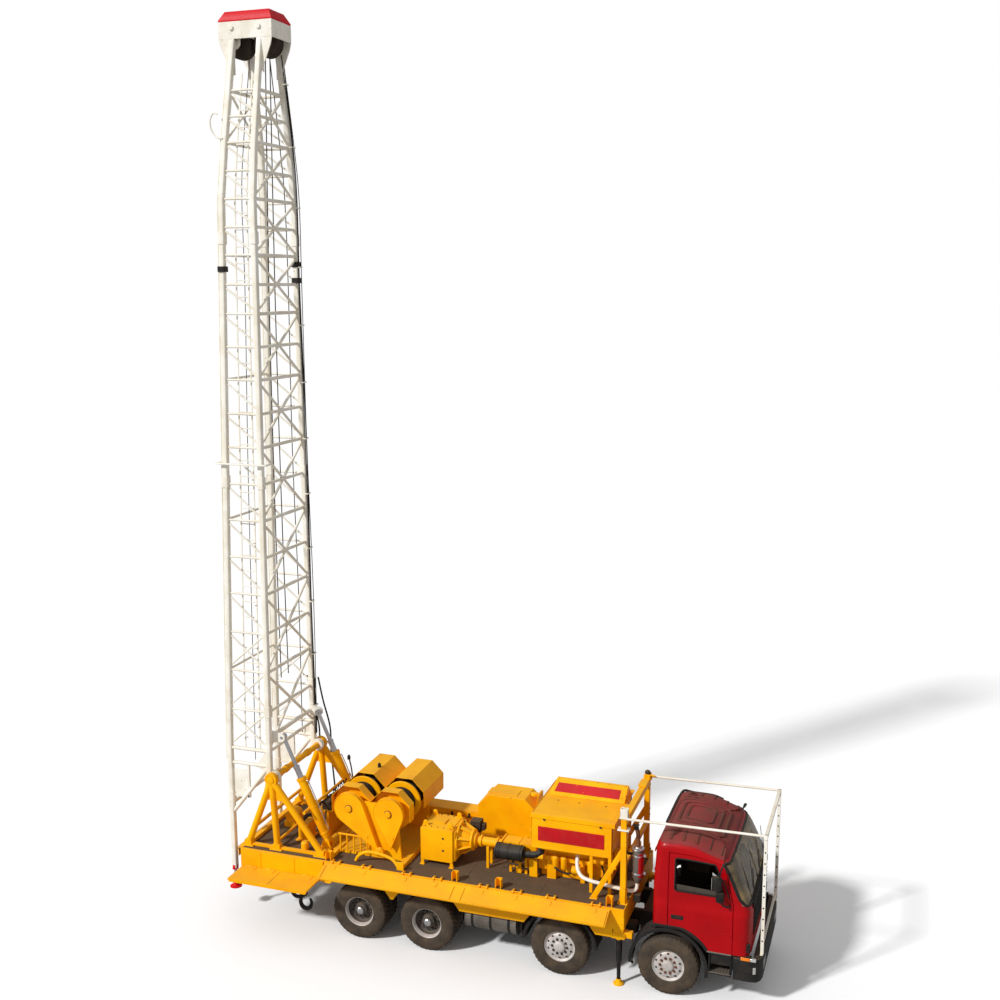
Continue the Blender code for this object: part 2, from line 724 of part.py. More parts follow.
def mast_side(side_name, side):
    """Side truss: rear leg down to its screw jack, level struts and single diagonals."""
    origin = (tx(PIVOT[0]), 0.0, PIVOT[1])
    heights = [LEG_FOOT_Z] + [row[0] for row in MAST_STATIONS]
    heights[-1] -= SEAT
    bm = bmesh.new()
    leg(bm, rear_leg, side, heights)
    obj = node(f"mast_side_{side_name}", bm, WHITE, origin)
    bm = bmesh.new()
    halves = []
    for low, high in zip(MAST_NODES, MAST_NODES[1:]):
        halves += [low, (low + high) / 2]
    halves.append(MAST_NODES[-1])
    for low, high in zip(halves, halves[1:]):
        strut(bm, rear_leg(side, low), side_end(side, low), BRACE_W, BRACE_W)
        strut(bm, side_end(side, low + 0.06) - Vector((0.03, 0, 0)), rear_leg(side, high),
              BRACE_W - 0.006, BRACE_W - 0.008)
    strut(bm, rear_leg(side, halves[-1]), side_end(side, halves[-1]), BRACE_W, BRACE_W)
    stay_top = side_end(side, PIVOT[1] + 0.20)
    strut(bm, rear_leg(side, STAY_FOOT_Z), stay_top - Vector((0.03, 0, 0)), 0.07, 0.07)
    strut(bm, rear_leg(side, PIVOT[1] + 0.20), stay_top, 0.06, 0.06)
    foot = rear_leg(side, LEG_FOOT_Z)
    rod(bm, (foot.x, foot.y, JACK_PAD_Z + 0.02), (foot.x, foot.y, LEG_FOOT_Z + 0.05), JACK_SCREW_R, 12)
    rod(bm, (foot.x, foot.y, JACK_PAD_Z), (foot.x, foot.y, JACK_PAD_Z + 0.04), JACK_PAD_R, 16)
    weld(obj, bm)


def crown_x():
    """Middle of the crown block along the truck."""
    return tx(FRONT_LEG_X - mast_depth(mast_top()) / 2)


def cheek_y():
    """Inner face of the cheeks that carry the sheave shafts, just inside the legs."""
    return mast_half_width(mast_top()) - LEG_W / 2 - CHEEK_T - 0.005


def crown_block():
    """Open-bottomed crown box with a sloped cap and a top plate that the legs carry."""
    top = mast_top()
    x = (crown_x() - CROWN_L / 2, crown_x() + CROWN_L / 2)
    y = (-CROWN_W / 2, CROWN_W / 2)
    bm = bmesh.new()
    grown = box(bm, x, y, (top, top + CROWN_H))
    lid = [v for v in grown if v.co.z > top + CROWN_H / 2]
    face = next(f for f in bm.faces if all(v in lid for v in f.verts))
    raised = bmesh.ops.extrude_face_region(bm, geom=[face])["geom"]
    bmesh.ops.delete(bm, geom=[face], context="FACES_ONLY")
    for v in [item for item in raised if isinstance(item, bmesh.types.BMVert)]:
        v.co.z += CROWN_CAP_H
        v.co.x += CROWN_CAP_INSET if v.co.x < crown_x() else -CROWN_CAP_INSET
        v.co.y += CROWN_CAP_INSET if v.co.y < 0 else -CROWN_CAP_INSET
    obj = node("crown_block", bm, WHITE, (tx(PIVOT[0]), 0.0, PIVOT[1]))
    bm = bmesh.new()
    well = SHEAVE_R + 0.02
    half_y = cheek_y()
    box(bm, (crown_x() - SHEAVE_SPACING / 2 - well, crown_x() + SHEAVE_SPACING / 2 + well),
        (-half_y, half_y), (top - 0.10, top + CROWN_H - CROWN_WALL))
    cut(obj, bm)
    bm = bmesh.new()
    reach = SHEAVE_SPACING / 2 + 0.09
    for _, side in SIDES:
        box(bm, (crown_x() - reach, crown_x() + reach),
            sorted((side * half_y, side * (half_y + CHEEK_T))), (top - 0.13, top + 0.02))
    weld(obj, bm)


def sheave(name, offset):
    """Three grooved sheaves on one shaft, hung in the crown block."""
    half = cheek_y() - RUN
    x = crown_x() + offset
    z = mast_top() - SHEAVE_DROP
    profile = [(0.0, -half), (SHEAVE_SHAFT_R, -half)]
    for k in (-1, 0, 1):
        c = k * 0.10
        profile += [
            (SHEAVE_SHAFT_R, c - 0.030), (SHEAVE_R, c - 0.030), (SHEAVE_R - 0.03, c),
            (SHEAVE_R, c + 0.030), (SHEAVE_SHAFT_R, c + 0.030),
        ]
    profile += [(SHEAVE_SHAFT_R, half), (0.0, half)]
    bm = bmesh.new()
    lathe(bm, profile, (x, z), 24)
    node(name, bm, RIM_GREY, (x, 0.0, z), smooth=True)


# ================================================================ A-frames and rams
def a_frames():
    """Two A-frames on shoes, joined by the tube that the mast hinges on."""
    pivot_x = tx(PIVOT[0])
    shoe_z = (DECK_TOP + SEAT, DECK_TOP + SEAT + AFRAME_SHOE_H)
    bm = bmesh.new()
    rod(bm, (pivot_x, -AFRAME_Y, PIVOT[1]), (pivot_x, AFRAME_Y, PIVOT[1]), PIVOT_R, 24)
    obj = node("a_frames", bm, YELLOW)
    bm = bmesh.new()
    for _, side in SIDES:
        y = side * AFRAME_Y
        wall = sorted((y - AFRAME_T / 2, y + AFRAME_T / 2))
        rod(bm, (pivot_x, wall[0], PIVOT[1]), (pivot_x, wall[1], PIVOT[1]), AFRAME_APEX_R, 20)
        for foot in AFRAME_FEET:
            strut(bm, (tx(foot), y, shoe_z[0] + 0.05), (pivot_x, y, PIVOT[1]), AFRAME_TUBE,
                  AFRAME_T - 0.01)
        box(bm, (tx(AFRAME_FEET[0]) - 0.10, tx(AFRAME_FEET[-1]) + 0.12),
            (wall[0] - 0.02, wall[1] + 0.02), shoe_z)
    base_y = RAM_Y - RAM_EYE_W / 2 - 0.04
    box(bm, (tx(RAM_BASE[0]) - 0.11, tx(RAM_BASE[0]) + 0.11), (-AFRAME_Y, AFRAME_Y),
        (shoe_z[0] + 0.003, shoe_z[1] - 0.02))
    for _, side in SIDES:
        for inner in (RAM_Y - RAM_EYE_W / 2 - 0.005, RAM_Y + RAM_EYE_W / 2 + 0.035):
            cheek = sorted((side * inner, side * (inner - 0.03)))
            box(bm, (tx(RAM_BASE[0]) - 0.07, tx(RAM_BASE[0]) + 0.07), cheek,
                (shoe_z[1] - 0.03, RAM_BASE[1] + 0.05))
        rod(bm, (tx(RAM_BASE[0]), side * base_y, RAM_BASE[1]),
            (tx(RAM_BASE[0]), side * (RAM_Y + RAM_EYE_W / 2 + 0.04), RAM_BASE[1]), RAM_PIN_R, 16)
    weld(obj, bm)


def ram(side_name, side):
    """Two-stage raising ram: hinged barrel, hollow stage and a rod whose eye stands at the mast's lug."""
    base = Vector((tx(RAM_BASE[0]), side * RAM_Y, RAM_BASE[1]))
    eye = Vector((tx(RAM_EYE[0]), side * RAM_Y, RAM_EYE[1]))
    along = (eye - base).normalized()
    mouth = base + along * RAM_BARREL_L
    stage_foot = mouth - along * RAM_LAP
    stage_mouth = stage_foot + along * RAM_STAGE_L
    width = Vector((0.0, RAM_EYE_W / 2, 0.0))
    bm = bmesh.new()
    rod(bm, base + along * RAM_NECK, mouth, RAM_BARREL_R, 20)
    obj = node(f"ram_barrel_{side_name}", bm, YELLOW, base)
    bm = bmesh.new()
    rod(bm, base - width, base + width, RAM_EYE_R, 20)
    strut(bm, base, base + along * (RAM_NECK + 0.02), 0.07, RAM_EYE_W - 0.006)
    weld(obj, bm)
    bm = bmesh.new()
    rod(bm, base + along * (RAM_NECK + 0.015), mouth + along * 0.1, RAM_STAGE_R + RAM_PLAY, 20)
    rod(bm, base - 2 * width, base + 2 * width, RAM_PIN_R + RAM_PLAY, 16)
    cut(obj, bm)
    bm = bmesh.new()
    rod(bm, stage_foot, stage_mouth, RAM_STAGE_R, 20)
    obj = node(f"ram_stage_{side_name}", bm, STEEL, base)
    bm = bmesh.new()
    rod(bm, stage_foot - along * 0.1, stage_mouth + along * 0.1, RAM_ROD_R + RAM_PLAY, 20)
    cut(obj, bm)
    bm = bmesh.new()
    rod(bm, stage_mouth - along * RAM_LAP, eye - along * 0.03, RAM_ROD_R, 20)
    obj = node(f"ram_rod_{side_name}", bm, STEEL, eye)
    bm = bmesh.new()
    rod(bm, eye - width * 0.96, eye + width * 0.96, RAM_EYE_R * 0.96, 20)
    weld(obj, bm)
    bm = bmesh.new()
    rod(bm, eye - 2 * width, eye + 2 * width, RAM_PIN_R, 16)
    cut(obj, bm)


# ================================================================ drawworks
def arc(centre, radius, start, end, count):
    """Points on an arc, angles in degrees from +X towards +Z."""
    points = []
    for i in range(count + 1):
        angle = math.radians(between(start, end, i / count))
        points.append((centre[0] + radius * math.cos(angle), centre[1] + radius * math.sin(angle)))
    return points


def teardrop(centre, tip, radius):
    """(x, z) outline of a disc with two tangents that meet at a tip."""
    dx, dz = tip[0] - centre[0], tip[1] - centre[1]
    heading = math.degrees(math.atan2(dz, dx))
    spread = math.degrees(math.acos(radius / math.hypot(dx, dz)))
    return arc(centre, radius, heading + spread, heading + 360 - spread, 14) + [tip]


def drawworks_frame():
    """Skid, bearing plates, chain cases on the right and brake housings on the left."""
    floor = DECK_TOP + SEAT
    skid = (tx(SKID_X[0]), tx(SKID_X[1]))
    bm = bmesh.new()
    box(bm, skid, (-SIDE_PLATE_Y - SIDE_PLATE_T, SIDE_PLATE_Y + SIDE_PLATE_T), (floor, floor + 0.05))
    obj = node("drawworks_frame", bm, YELLOW)
    bm = bmesh.new()
    ends = (tx(DRUM_XZ[0][0]), tx(DRUM_XZ[1][0]))
    tips = (tx(CASE_TIPS[0][0]), tx(CASE_TIPS[1][0]))
    bearing = DRUM_XZ[0][1]
    outline = [
        (tips[0] - 0.16, floor + 0.02), (tips[1] + 0.18, floor + 0.02),
        (ends[1] + 0.14, bearing + 0.02), (ends[1] + 0.05, bearing + 0.14),
        (ends[0] - 0.05, bearing + 0.14), (ends[0] - 0.14, bearing + 0.02),
    ]
    for _, side in SIDES:
        prism(bm, outline, sorted((side * SIDE_PLATE_Y, side * (SIDE_PLATE_Y + SIDE_PLATE_T - 0.002))))
    case_y = -(SIDE_PLATE_Y + SIDE_PLATE_T)
    for (x, z), tip in zip(DRUM_XZ, CASE_TIPS):
        shape = teardrop((tx(x), z), (tx(tip[0]), tip[1]), CASE_R)
        prism(bm, shape, (case_y - CASE_T, case_y + BURY))
        octagon = arc((tx(x), z), BRAKE_R, 22.5, 337.5, 7)
        prism(bm, octagon, (-case_y - BURY, -case_y + BRAKE_T))
    weld(obj, bm)
    bm = bmesh.new()
    reach = SIDE_PLATE_Y + SIDE_PLATE_T - 0.012
    for x, z in DRUM_XZ:
        rod(bm, (tx(x), -reach, z), (tx(x), reach, z), DRUM_SHAFT_R + RAM_PLAY, 24)
    cut(obj, bm)


def drum(name, place):
    """Rope drum with two flanges on a shaft that ends inside the bearing plates."""
    x, z = tx(place[0]), place[1]
    end = SIDE_PLATE_Y + SIDE_PLATE_T - 0.012 - RUN
    half = []
    for radius, y in (
        (0.0, end), (DRUM_SHAFT_R, end), (DRUM_SHAFT_R, DRUM_HALF), (DRUM_FLANGE_R, DRUM_HALF),
        (DRUM_FLANGE_R, DRUM_HALF - DRUM_FLANGE_T), (DRUM_CORE_R, DRUM_HALF - DRUM_FLANGE_T),
    ):
        half.append((radius, y))
    profile = half + [(radius, -y) for radius, y in reversed(half)]
    bm = bmesh.new()
    lathe(bm, profile, (x, z), 24)
    node(name, bm, YELLOW, (x, 0.0, z), smooth=True)


# ================================================================ power line
def gearbox():
    """Right-angle gearbox on its skid, with the guarded shaft that runs to the engine."""
    floor = DECK_TOP + SEAT
    x = (tx(GEARBOX_X[0]), tx(GEARBOX_X[1]))
    bm = bmesh.new()
    box(bm, x, GEARBOX_Y, GEARBOX_Z)
    obj = node("gearbox", bm, YELLOW)
    bm = bmesh.new()
    for y in (GEARBOX_Y[0] + 0.04, GEARBOX_Y[1] - 0.12):
        box(bm, (x[0] - 0.06, x[1] + 0.06), (y, y + 0.08), (floor, GEARBOX_Z[0] + BURY))
    rod(bm, (x[1] - BURY, SHAFT_Y, SHAFT_Z), (x[1] + 0.26, SHAFT_Y, SHAFT_Z), 0.24, 20)
    rod(bm, (x[1] + 0.1, SHAFT_Y, SHAFT_Z), (tx(ENGINE_X[0]) - SEAT, SHAFT_Y, SHAFT_Z), 0.085, 20)
    gear_mid = (x[0] + x[1]) / 2 - 0.1
    rod(bm, (x[0] + 0.2, GEARBOX_Y[1] - 0.1, SHAFT_Z), (x[0] - 0.06, GEARBOX_Y[1] - 0.1, SHAFT_Z),
        0.15, 20)
    rod(bm, (gear_mid, GEARBOX_Y[0] + 0.02, SHAFT_Z), (gear_mid, GEARBOX_Y[0] - 0.05, SHAFT_Z), 0.16,
        20)
    weld(obj, bm)


def engine_block():
    """Deck engine as one plain block on two feet, with its air cleaner beside it."""
    floor = DECK_TOP + SEAT
    x = (tx(ENGINE_X[0]), tx(ENGINE_X[1]))
    bm = bmesh.new()
    box(bm, x, ENGINE_Y, ENGINE_Z)
    obj = node("engine_block", bm, IRON)
    bm = bmesh.new()
    for y in (ENGINE_Y[0] + 0.05, ENGINE_Y[1] - 0.15):
        box(bm, (x[0] + 0.05, x[1] - 0.05), (y, y + 0.10), (floor, ENGINE_Z[0] + BURY))
    cleaner = (tx(CLEANER_X[0]), tx(CLEANER_X[1]))
    y, z = CLEANER_YZ
    rod(bm, (cleaner[0], y, z), (cleaner[1], y, z), CLEANER_R, 20)
    rod(bm, (cleaner[1] - 0.02, y, z), (x[0] + 0.16, y, z), 0.05, 12)
    rod(bm, (x[0] + 0.12, y, z), (x[0] + 0.12, ENGINE_Y[0] + 0.02, z), 0.048, 12)
    weld(obj, bm)


def engine_hood():
    """Open-bottomed hood on four posts, with a raised section whose right face leans."""
    floor = DECK_TOP + SEAT
    x = (tx(HOOD_X[0]), tx(HOOD_X[1]))
    bm = bmesh.new()
    box(bm, x, (-HOOD_HALF, HOOD_HALF), HOOD_Z)
    obj = node("engine_hood", bm, YELLOW)
    bm = bmesh.new()
    inner = HOOD_HALF - HOOD_WALL
    box(bm, (x[0] + HOOD_WALL, x[1] - HOOD_WALL), (-inner, inner),
        (HOOD_Z[0] - 0.1, HOOD_Z[1] - HOOD_WALL))
    cut(obj, bm)
    bm = bmesh.new()
    for _, side in SIDES:
        for px in (x[0] + 0.003, x[1] - HOOD_POST - 0.003):
            post = sorted((side * (HOOD_HALF - 0.003), side * (HOOD_HALF - 0.003 - HOOD_POST)))
            box(bm, (px, px + HOOD_POST), post, (floor, HOOD_Z[1] - 0.01))
    low = HOOD_Z[1] - BURY
    grown = box(bm, (tx(RAISED_X[0]), tx(RAISED_X[1])), RAISED_Y, (low, low + RAISED_H))
    for v in grown:
        if v.co.z > low + RAISED_H / 2 and v.co.y < 0:
            v.co.y += RAISED_LEAN
    weld(obj, bm)


def oil_tank_and_toolbox():
    """Oil tank with a bevelled top and the long toolbox behind it, along the deck's left side."""
    floor = DECK_TOP + SEAT
    x = (tx(TANK_X[0]), tx(TANK_X[1]))
    bm = bmesh.new()
    prism(bm, [(x[0], floor), (x[1], floor), (x[1], TANK_TOP - 0.22), (x[1] - 0.22, TANK_TOP),
               (x[0] + 0.22, TANK_TOP), (x[0], TANK_TOP - 0.22)], TANK_Y)
    obj = node("oil_tank_and_toolbox", bm, YELLOW)
    bm = bmesh.new()
    box(bm, (tx(TOOLBOX_X[0]), tx(TOOLBOX_X[1])), TOOLBOX_Y, (floor, TOOLBOX_TOP))
    weld(obj, bm)


def exhaust():
    """Upright silencer on a foot, with its tailpipe."""
    x, y = tx(MUFFLER_XY[0]), MUFFLER_XY[1]
    bm = bmesh.new()
    rod(bm, (x, y, MUFFLER_Z[0]), (x, y, MUFFLER_Z[1]), MUFFLER_R, 20)
    obj = node("exhaust", bm, STEEL)
    bm = bmesh.new()
    rod(bm, (x, y, DECK_TOP + SEAT), (x, y, TAILPIPE_TOP), TAILPIPE_R, 16)
    box(bm, (x - 0.11, x + 0.11), (y - 0.10, y + 0.10), (DECK_TOP + SEAT, DECK_TOP + 0.02))
    weld(obj, bm)


# ================================================================ mast rest and cab guard
def lowered_face_z(x):
    """Height of the lowered mast's front face over a model X."""
    down = math.radians(90.0 - MAST_LOWERED_DEG)
    offset = tx(FRONT_LEG_X) + LEG_W / 2 - tx(PIVOT[0])
    return PIVOT[1] - offset * math.cos(down) + (x - tx(PIVOT[0])) * math.tan(down)


def mast_rest():
    """Rest posts and beam behind the cab, and the guard that runs forward over the cab."""
    floor = DECK_TOP + SEAT
    x = tx(REST_X)
    half = REST_POST / 2
    top = lowered_face_z(x - half) - REST_CLEAR
    front_x = tx(NOSE_REACH) - GUARD_BAR
    bm = bmesh.new()
    box(bm, (x - half, x + half), (-REST_Y - half + 0.002, REST_Y + half - 0.002), (top - 0.12, top))
    obj = node("mast_rest", bm, YELLOW)
    bm = bmesh.new()
    for _, side in SIDES:
        y = side * REST_Y
        box(bm, (x - half + 0.002, x + half - 0.002), (y - half, y + half), (floor, top - 0.01))
        strut(bm, (x - 0.52, y, floor + 0.04), (x, y, 2.35), 0.07, 0.06)
        box(bm, (x - 0.60, x + 0.12), (y - half - 0.01, y + half + 0.01), (floor + 0.0005, floor + 0.05))
        bar = (side * GUARD_Y - GUARD_BAR / 2, side * GUARD_Y + GUARD_BAR / 2)
        box(bm, (x, front_x + 0.02), bar, (GUARD_Z, GUARD_Z + GUARD_BAR))
        box(bm, (front_x, front_x + GUARD_BAR), (bar[0] - 0.002, bar[1] + 0.002),
            (BUMPER_Z[1] + SEAT, GUARD_Z + GUARD_BAR - 0.003))
    for z in (GUARD_Z + 0.004, GUARD_Z - 1.95):
        box(bm, (front_x + 0.004, front_x + GUARD_BAR - 0.004), (-GUARD_Y, GUARD_Y),
            (z, z + GUARD_BAR - 0.01))
    weld(obj, bm)


# ================================================================ cab
def cab_outline(inset):
    """(x, z) outline of the cab's side, moved inwards by the inset."""
    rear, front = tx(CAB_X[0]) + inset, tx(CAB_X[1]) - inset
    low, high = CAB_Z[0] + inset, CAB_Z[1] - inset
    return [
        (rear, low), (front, low), (front, SILL_Z), (front - CAB_NOSE_SLOPE, high), (rear, high),
    ]


def cab_shell():
    """Hollow cab with its windscreen and door openings cut."""
    bm = bmesh.new()
    prism(bm, cab_outline(0.0), (-CAB_HALF, CAB_HALF))
    obj = node("cab_shell", bm, RED)
    inner = CAB_HALF - CAB_WALL
    bm = bmesh.new()
    prism(bm, cab_outline(CAB_WALL), (-inner, inner))
    cut(obj, bm)
    bm = bmesh.new()
    box(bm, (tx(CAB_X[1]) - 0.30, tx(CAB_X[1]) + 0.10), (-SCREEN_HALF, SCREEN_HALF),
        (SILL_Z + 0.02, HEADER_Z))
    box(bm, (tx(DOOR_X[0]), tx(DOOR_X[1])), (-CAB_HALF - 0.1, -inner + 0.1), DOOR_Z)
    box(bm, (tx(DOOR_X[0]), tx(DOOR_X[1])), (inner - 0.1, CAB_HALF + 0.1), DOOR_Z)
    cut(obj, bm)
    bm = bmesh.new()
    front = tx(CAB_X[1])
    nose = (CAB_NOSE_Z, CAB_Z[0] + BURY)
    for _, side in SIDES:
        wall = sorted((side * STEP_IN_Y, side * (CAB_HALF - 0.001)))
        box(bm, (tx(STEP_X[0]), front - 0.02), wall, nose)
    box(bm, (front - 0.06, front - 0.001), (-CAB_HALF + 0.002, CAB_HALF - 0.002),
        (nose[0] + 0.001, nose[1] + 0.001))
    weld(obj, bm)


def door(side_name, side):
    """Door in its opening, hinged at its front edge, with the window cut."""
    x = (tx(DOOR_X[0]) + DOOR_GAP, tx(DOOR_X[1]) - DOOR_GAP)
    z = (DOOR_Z[0] + DOOR_GAP, DOOR_Z[1] - DOOR_GAP)
    y = sorted((side * (CAB_HALF - CAB_WALL + 0.005), side * CAB_HALF))
    bm = bmesh.new()
    box(bm, x, y, z)
    obj = node(f"door_{side_name}", bm, RED, (tx(DOOR_X[1]), side * (CAB_HALF + 0.006), z[0]))
    bm = bmesh.new()
    box(bm, (tx(DOOR_WINDOW_X[0]), tx(DOOR_WINDOW_X[1])), (y[0] - 0.1, y[1] + 0.1), DOOR_WINDOW_Z)
    cut(obj, bm)
    bm = bmesh.new()
    hinge = (tx(DOOR_X[1]), side * (CAB_HALF + 0.012))
    for height in (z[0] + 0.25, z[1] - 0.30):
        rod(bm, (hinge[0], hinge[1], height), (hinge[0], hinge[1], height + 0.08), 0.011, 12)
        box(bm, (hinge[0] - 0.06, hinge[0] - 0.004), sorted((side * (CAB_HALF - 0.004), side * (CAB_HALF + 0.010))),
            (height + 0.005, height + 0.075))
    weld(obj, bm)


def windscreen():
    """One-piece screen that fills the opening behind the cab's front face."""
    bm = bmesh.new()
    slope = CAB_NOSE_SLOPE / (CAB_Z[1] - CAB_WALL - SILL_Z)
    low, high = SILL_Z + 0.02 + SEAT, HEADER_Z - SEAT
    front = tx(CAB_X[1]) - 0.02
    outline = []
    for z, shift in ((low, 0.0), (high, 0.0), (high, GLASS_T * 2), (low, GLASS_T * 2)):
        outline.append((front - slope * (z - SILL_Z) - shift, z))
    half = SCREEN_HALF - SEAT
    prism(bm, outline, (-half, half))
    node("windscreen", bm, GLASS)


def cab_interior():
    """Two seats on their plinth and the dashboard, on one floor mat."""
    floor = CAB_Z[0] + CAB_WALL + SEAT
    rear = tx(CAB_X[0]) + CAB_WALL
    bm = bmesh.new()
    box(bm, (rear + 0.10, tx(CAB_X[1]) - 0.12), (-1.00, 1.00), (floor, floor + 0.015))
    obj = node("cab_interior", bm, SEAT_CLOTH)
    bm = bmesh.new()
    for y in (-0.58, 0.58):
        box(bm, (rear + 0.18, rear + 0.68), (y - 0.24, y + 0.24), (floor + 0.01, floor + 0.42))
        strut(bm, (rear + 0.24, y, floor + 0.36), (rear + 0.12, y, floor + 1.12), 0.11, 0.44)
    box(bm, (tx(CAB_X[1]) - 0.42, tx(CAB_X[1]) - 0.13), (-1.02, 1.02), (floor + 0.55, floor + 0.74))
    box(bm, (tx(CAB_X[1]) - 0.30, tx(CAB_X[1]) - 0.16), (-0.90, 0.90), (floor + 0.008, floor + 0.56))
    weld(obj, bm)


def bumper():
    """Front bumper, with the step boxes behind it at both sides of the cab."""
    front = tx(NOSE_REACH)
    bm = bmesh.new()
    box(bm, (front - BUMPER_T, front), (-DECK_HALF, DECK_HALF), BUMPER_Z)
    obj = node("bumper", bm, BLACK)
    bm = bmesh.new()
    for _, side in SIDES:
        wall = sorted((side * STEP_IN_Y, side * (DECK_HALF - 0.01)))
        box(bm, (tx(STEP_X[0]), front - BUMPER_T + 0.02), wall, (STEP_BOTTOM, CAB_NOSE_Z - SEAT))
        arm = sorted((side * (RAIL_Y + SEAT), side * (STEP_IN_Y + BURY)))
        box(bm, (tx(STEP_X[0]) + 0.1, tx(STEP_X[1]) - 0.1), arm, (RAIL_Z[0] + 0.02, CAB_NOSE_Z - 0.03))
    weld(obj, bm)


# ================================================================ under the frame
def truck_engine():
    """The truck's own engine, one plain block between the rails."""
    half = RAIL_Y - RAIL_T - SEAT
    bm = bmesh.new()
    box(bm, (tx(TRUCK_ENGINE_X[0]), tx(TRUCK_ENGINE_X[1])), (-half, half), TRUCK_ENGINE_Z)
    node("truck_engine", bm, IRON)


def fuel_tank():
    """Round tank on two brackets outside the right rail."""
    y, z = FUEL_YZ
    x = (tx(FUEL_X[0]), tx(FUEL_X[1]))
    bm = bmesh.new()
    rod(bm, (x[0], y, z), (x[1], y, z), FUEL_R, 24)
    obj = node("fuel_tank", bm, STEEL)
    bm = bmesh.new()
    for px in (x[0] + 0.12, x[1] - 0.20):
        box(bm, (px, px + 0.08), (y, -RAIL_Y - SEAT), (z + 0.05, z + 0.20))
    weld(obj, bm)


def front_jacks():
    """Support beam under the rails with a screw jack at each end, standing on the ground."""
    x = tx(FRONT_JACK_X)
    top = RAIL_Z[0] - SEAT
    half = FRONT_JACK_BEAM / 2
    bm = bmesh.new()
    box(bm, (x - half, x + half), (-FRONT_JACK_Y, FRONT_JACK_Y), (top - FRONT_JACK_BEAM, top))
    obj = node("front_jacks", bm, YELLOW)
    bm = bmesh.new()
    for _, side in SIDES:
        y = side * FRONT_JACK_Y
        rod(bm, (x, y, top - FRONT_JACK_BEAM - 0.12), (x, y, top + 0.18), 0.075, 16)
        rod(bm, (x, y, 0.03), (x, y, top - 0.10), 0.035, 12)
        rod(bm, (x, y, 0.0), (x, y, 0.05), 0.12, 16)
    weld(obj, bm)


# ================================================================ build
AXLES = (                        # name, place from axle 1, steered
    ("axle_1", 0.0, True),
    ("axle_2", AXLE_2, True),
    ("axle_3", AXLE_3, False),
    ("axle_4", AXLE_4, False),
)


def main():
    """Build the whole rig."""
    clear_scene()
    chassis_frame()
    deck()
    rear_bogie()
    for axle_name, axle_x, steered in AXLES:
        if steered:
            front_axle(f"front_{axle_name}", axle_x)
        for side_name, side in SIDES:
            wheel(axle_name, axle_x, side_name, side, not steered)
            if steered:
                knuckle(f"knuckle_{axle_name}_{side_name}", axle_x, side)
    for side_name, side in SIDES:
        walkway(side_name, side)
        side_panel(side_name, side)
        mast_side(side_name, side)
        ram(side_name, side)
        door(side_name, side)
    mast_front()
    crown_block()
    sheave("sheaves_front", SHEAVE_SPACING / 2)
    sheave("sheaves_rear", -SHEAVE_SPACING / 2)
    a_frames()
    drawworks_frame()
    drum("drum_rear", DRUM_XZ[0])
    drum("drum_front", DRUM_XZ[1])
    gearbox()
    engine_block()
    engine_hood()
    oil_tank_and_toolbox()
    exhaust()
    mast_rest()
    cab_shell()
    windscreen()
    cab_interior()
    bumper()
    truck_engine()
    fuel_tank()
    front_jacks()


main()
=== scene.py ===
"""Looks of the truck-mounted workover rig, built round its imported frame.

Shapes are written in metres in the truck's own frame: +X forward from axle 1, +Y to the left side,
+Z up from the ground. The workshop moves them to the frame's origin. Every shape is a grid worked
out with numpy, every finish is a node material on object coordinates.
"""

import logging
import math
from dataclasses import dataclass, field
from enum import Enum
from functools import lru_cache
from typing import Dict, Iterable, List, Optional, Sequence, Tuple

import bmesh
import bpy
import numpy as np
from mathutils import Matrix, Vector

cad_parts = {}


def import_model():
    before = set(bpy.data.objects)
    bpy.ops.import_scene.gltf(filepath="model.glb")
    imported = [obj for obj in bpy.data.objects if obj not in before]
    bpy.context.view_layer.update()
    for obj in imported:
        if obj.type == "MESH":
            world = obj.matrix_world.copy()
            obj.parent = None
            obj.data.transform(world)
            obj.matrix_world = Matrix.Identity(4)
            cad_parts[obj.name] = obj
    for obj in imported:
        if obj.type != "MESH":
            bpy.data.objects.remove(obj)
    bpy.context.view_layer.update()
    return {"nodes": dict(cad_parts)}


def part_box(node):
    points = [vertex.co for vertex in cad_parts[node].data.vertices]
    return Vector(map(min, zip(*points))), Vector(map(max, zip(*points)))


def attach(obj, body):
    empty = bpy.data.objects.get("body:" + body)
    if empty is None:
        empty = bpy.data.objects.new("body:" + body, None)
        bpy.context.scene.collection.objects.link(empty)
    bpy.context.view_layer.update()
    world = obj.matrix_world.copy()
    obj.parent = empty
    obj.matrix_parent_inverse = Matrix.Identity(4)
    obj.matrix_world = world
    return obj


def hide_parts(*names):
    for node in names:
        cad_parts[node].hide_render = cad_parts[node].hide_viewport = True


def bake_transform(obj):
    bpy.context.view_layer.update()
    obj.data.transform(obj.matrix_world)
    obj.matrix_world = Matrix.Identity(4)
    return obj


LOG = logging.getLogger("rig")
MERGE = 2e-5
Colour = Tuple[float, float, float]
Point = Sequence[float]
SIDES: Tuple[Tuple[str, int], ...] = (("right", -1), ("left", 1))
UP = (0.0, 0.0, 1.0)
ALONG = (1.0, 0.0, 0.0)
ACROSS = (0.0, 1.0, 0.0)


# ------------------------------------------------------------------------------ shapes
@dataclass
class Skin:
    """Points of a shape and its faces, kept as arrays of equal-sided faces."""

    points: np.ndarray
    faces: List[np.ndarray]

    def mirrored(self) -> "Skin":
        """The same shape on the other side of the truck, faces turned to stay outward."""
        return Skin(self.points * (1, -1, 1), [f[:, ::-1] for f in self.faces])


def merged(skins: Iterable[Skin]) -> Skin:
    """Puts several shapes into one.

    Args:
        skins: the shapes.

    Returns:
        One shape that holds all their points and faces.
    """
    points, faces, start = [], [], 0
    for skin in skins:
        points.append(skin.points)
        faces += [f + start for f in skin.faces]
        start += len(skin.points)
    return Skin(np.concatenate(points), faces)


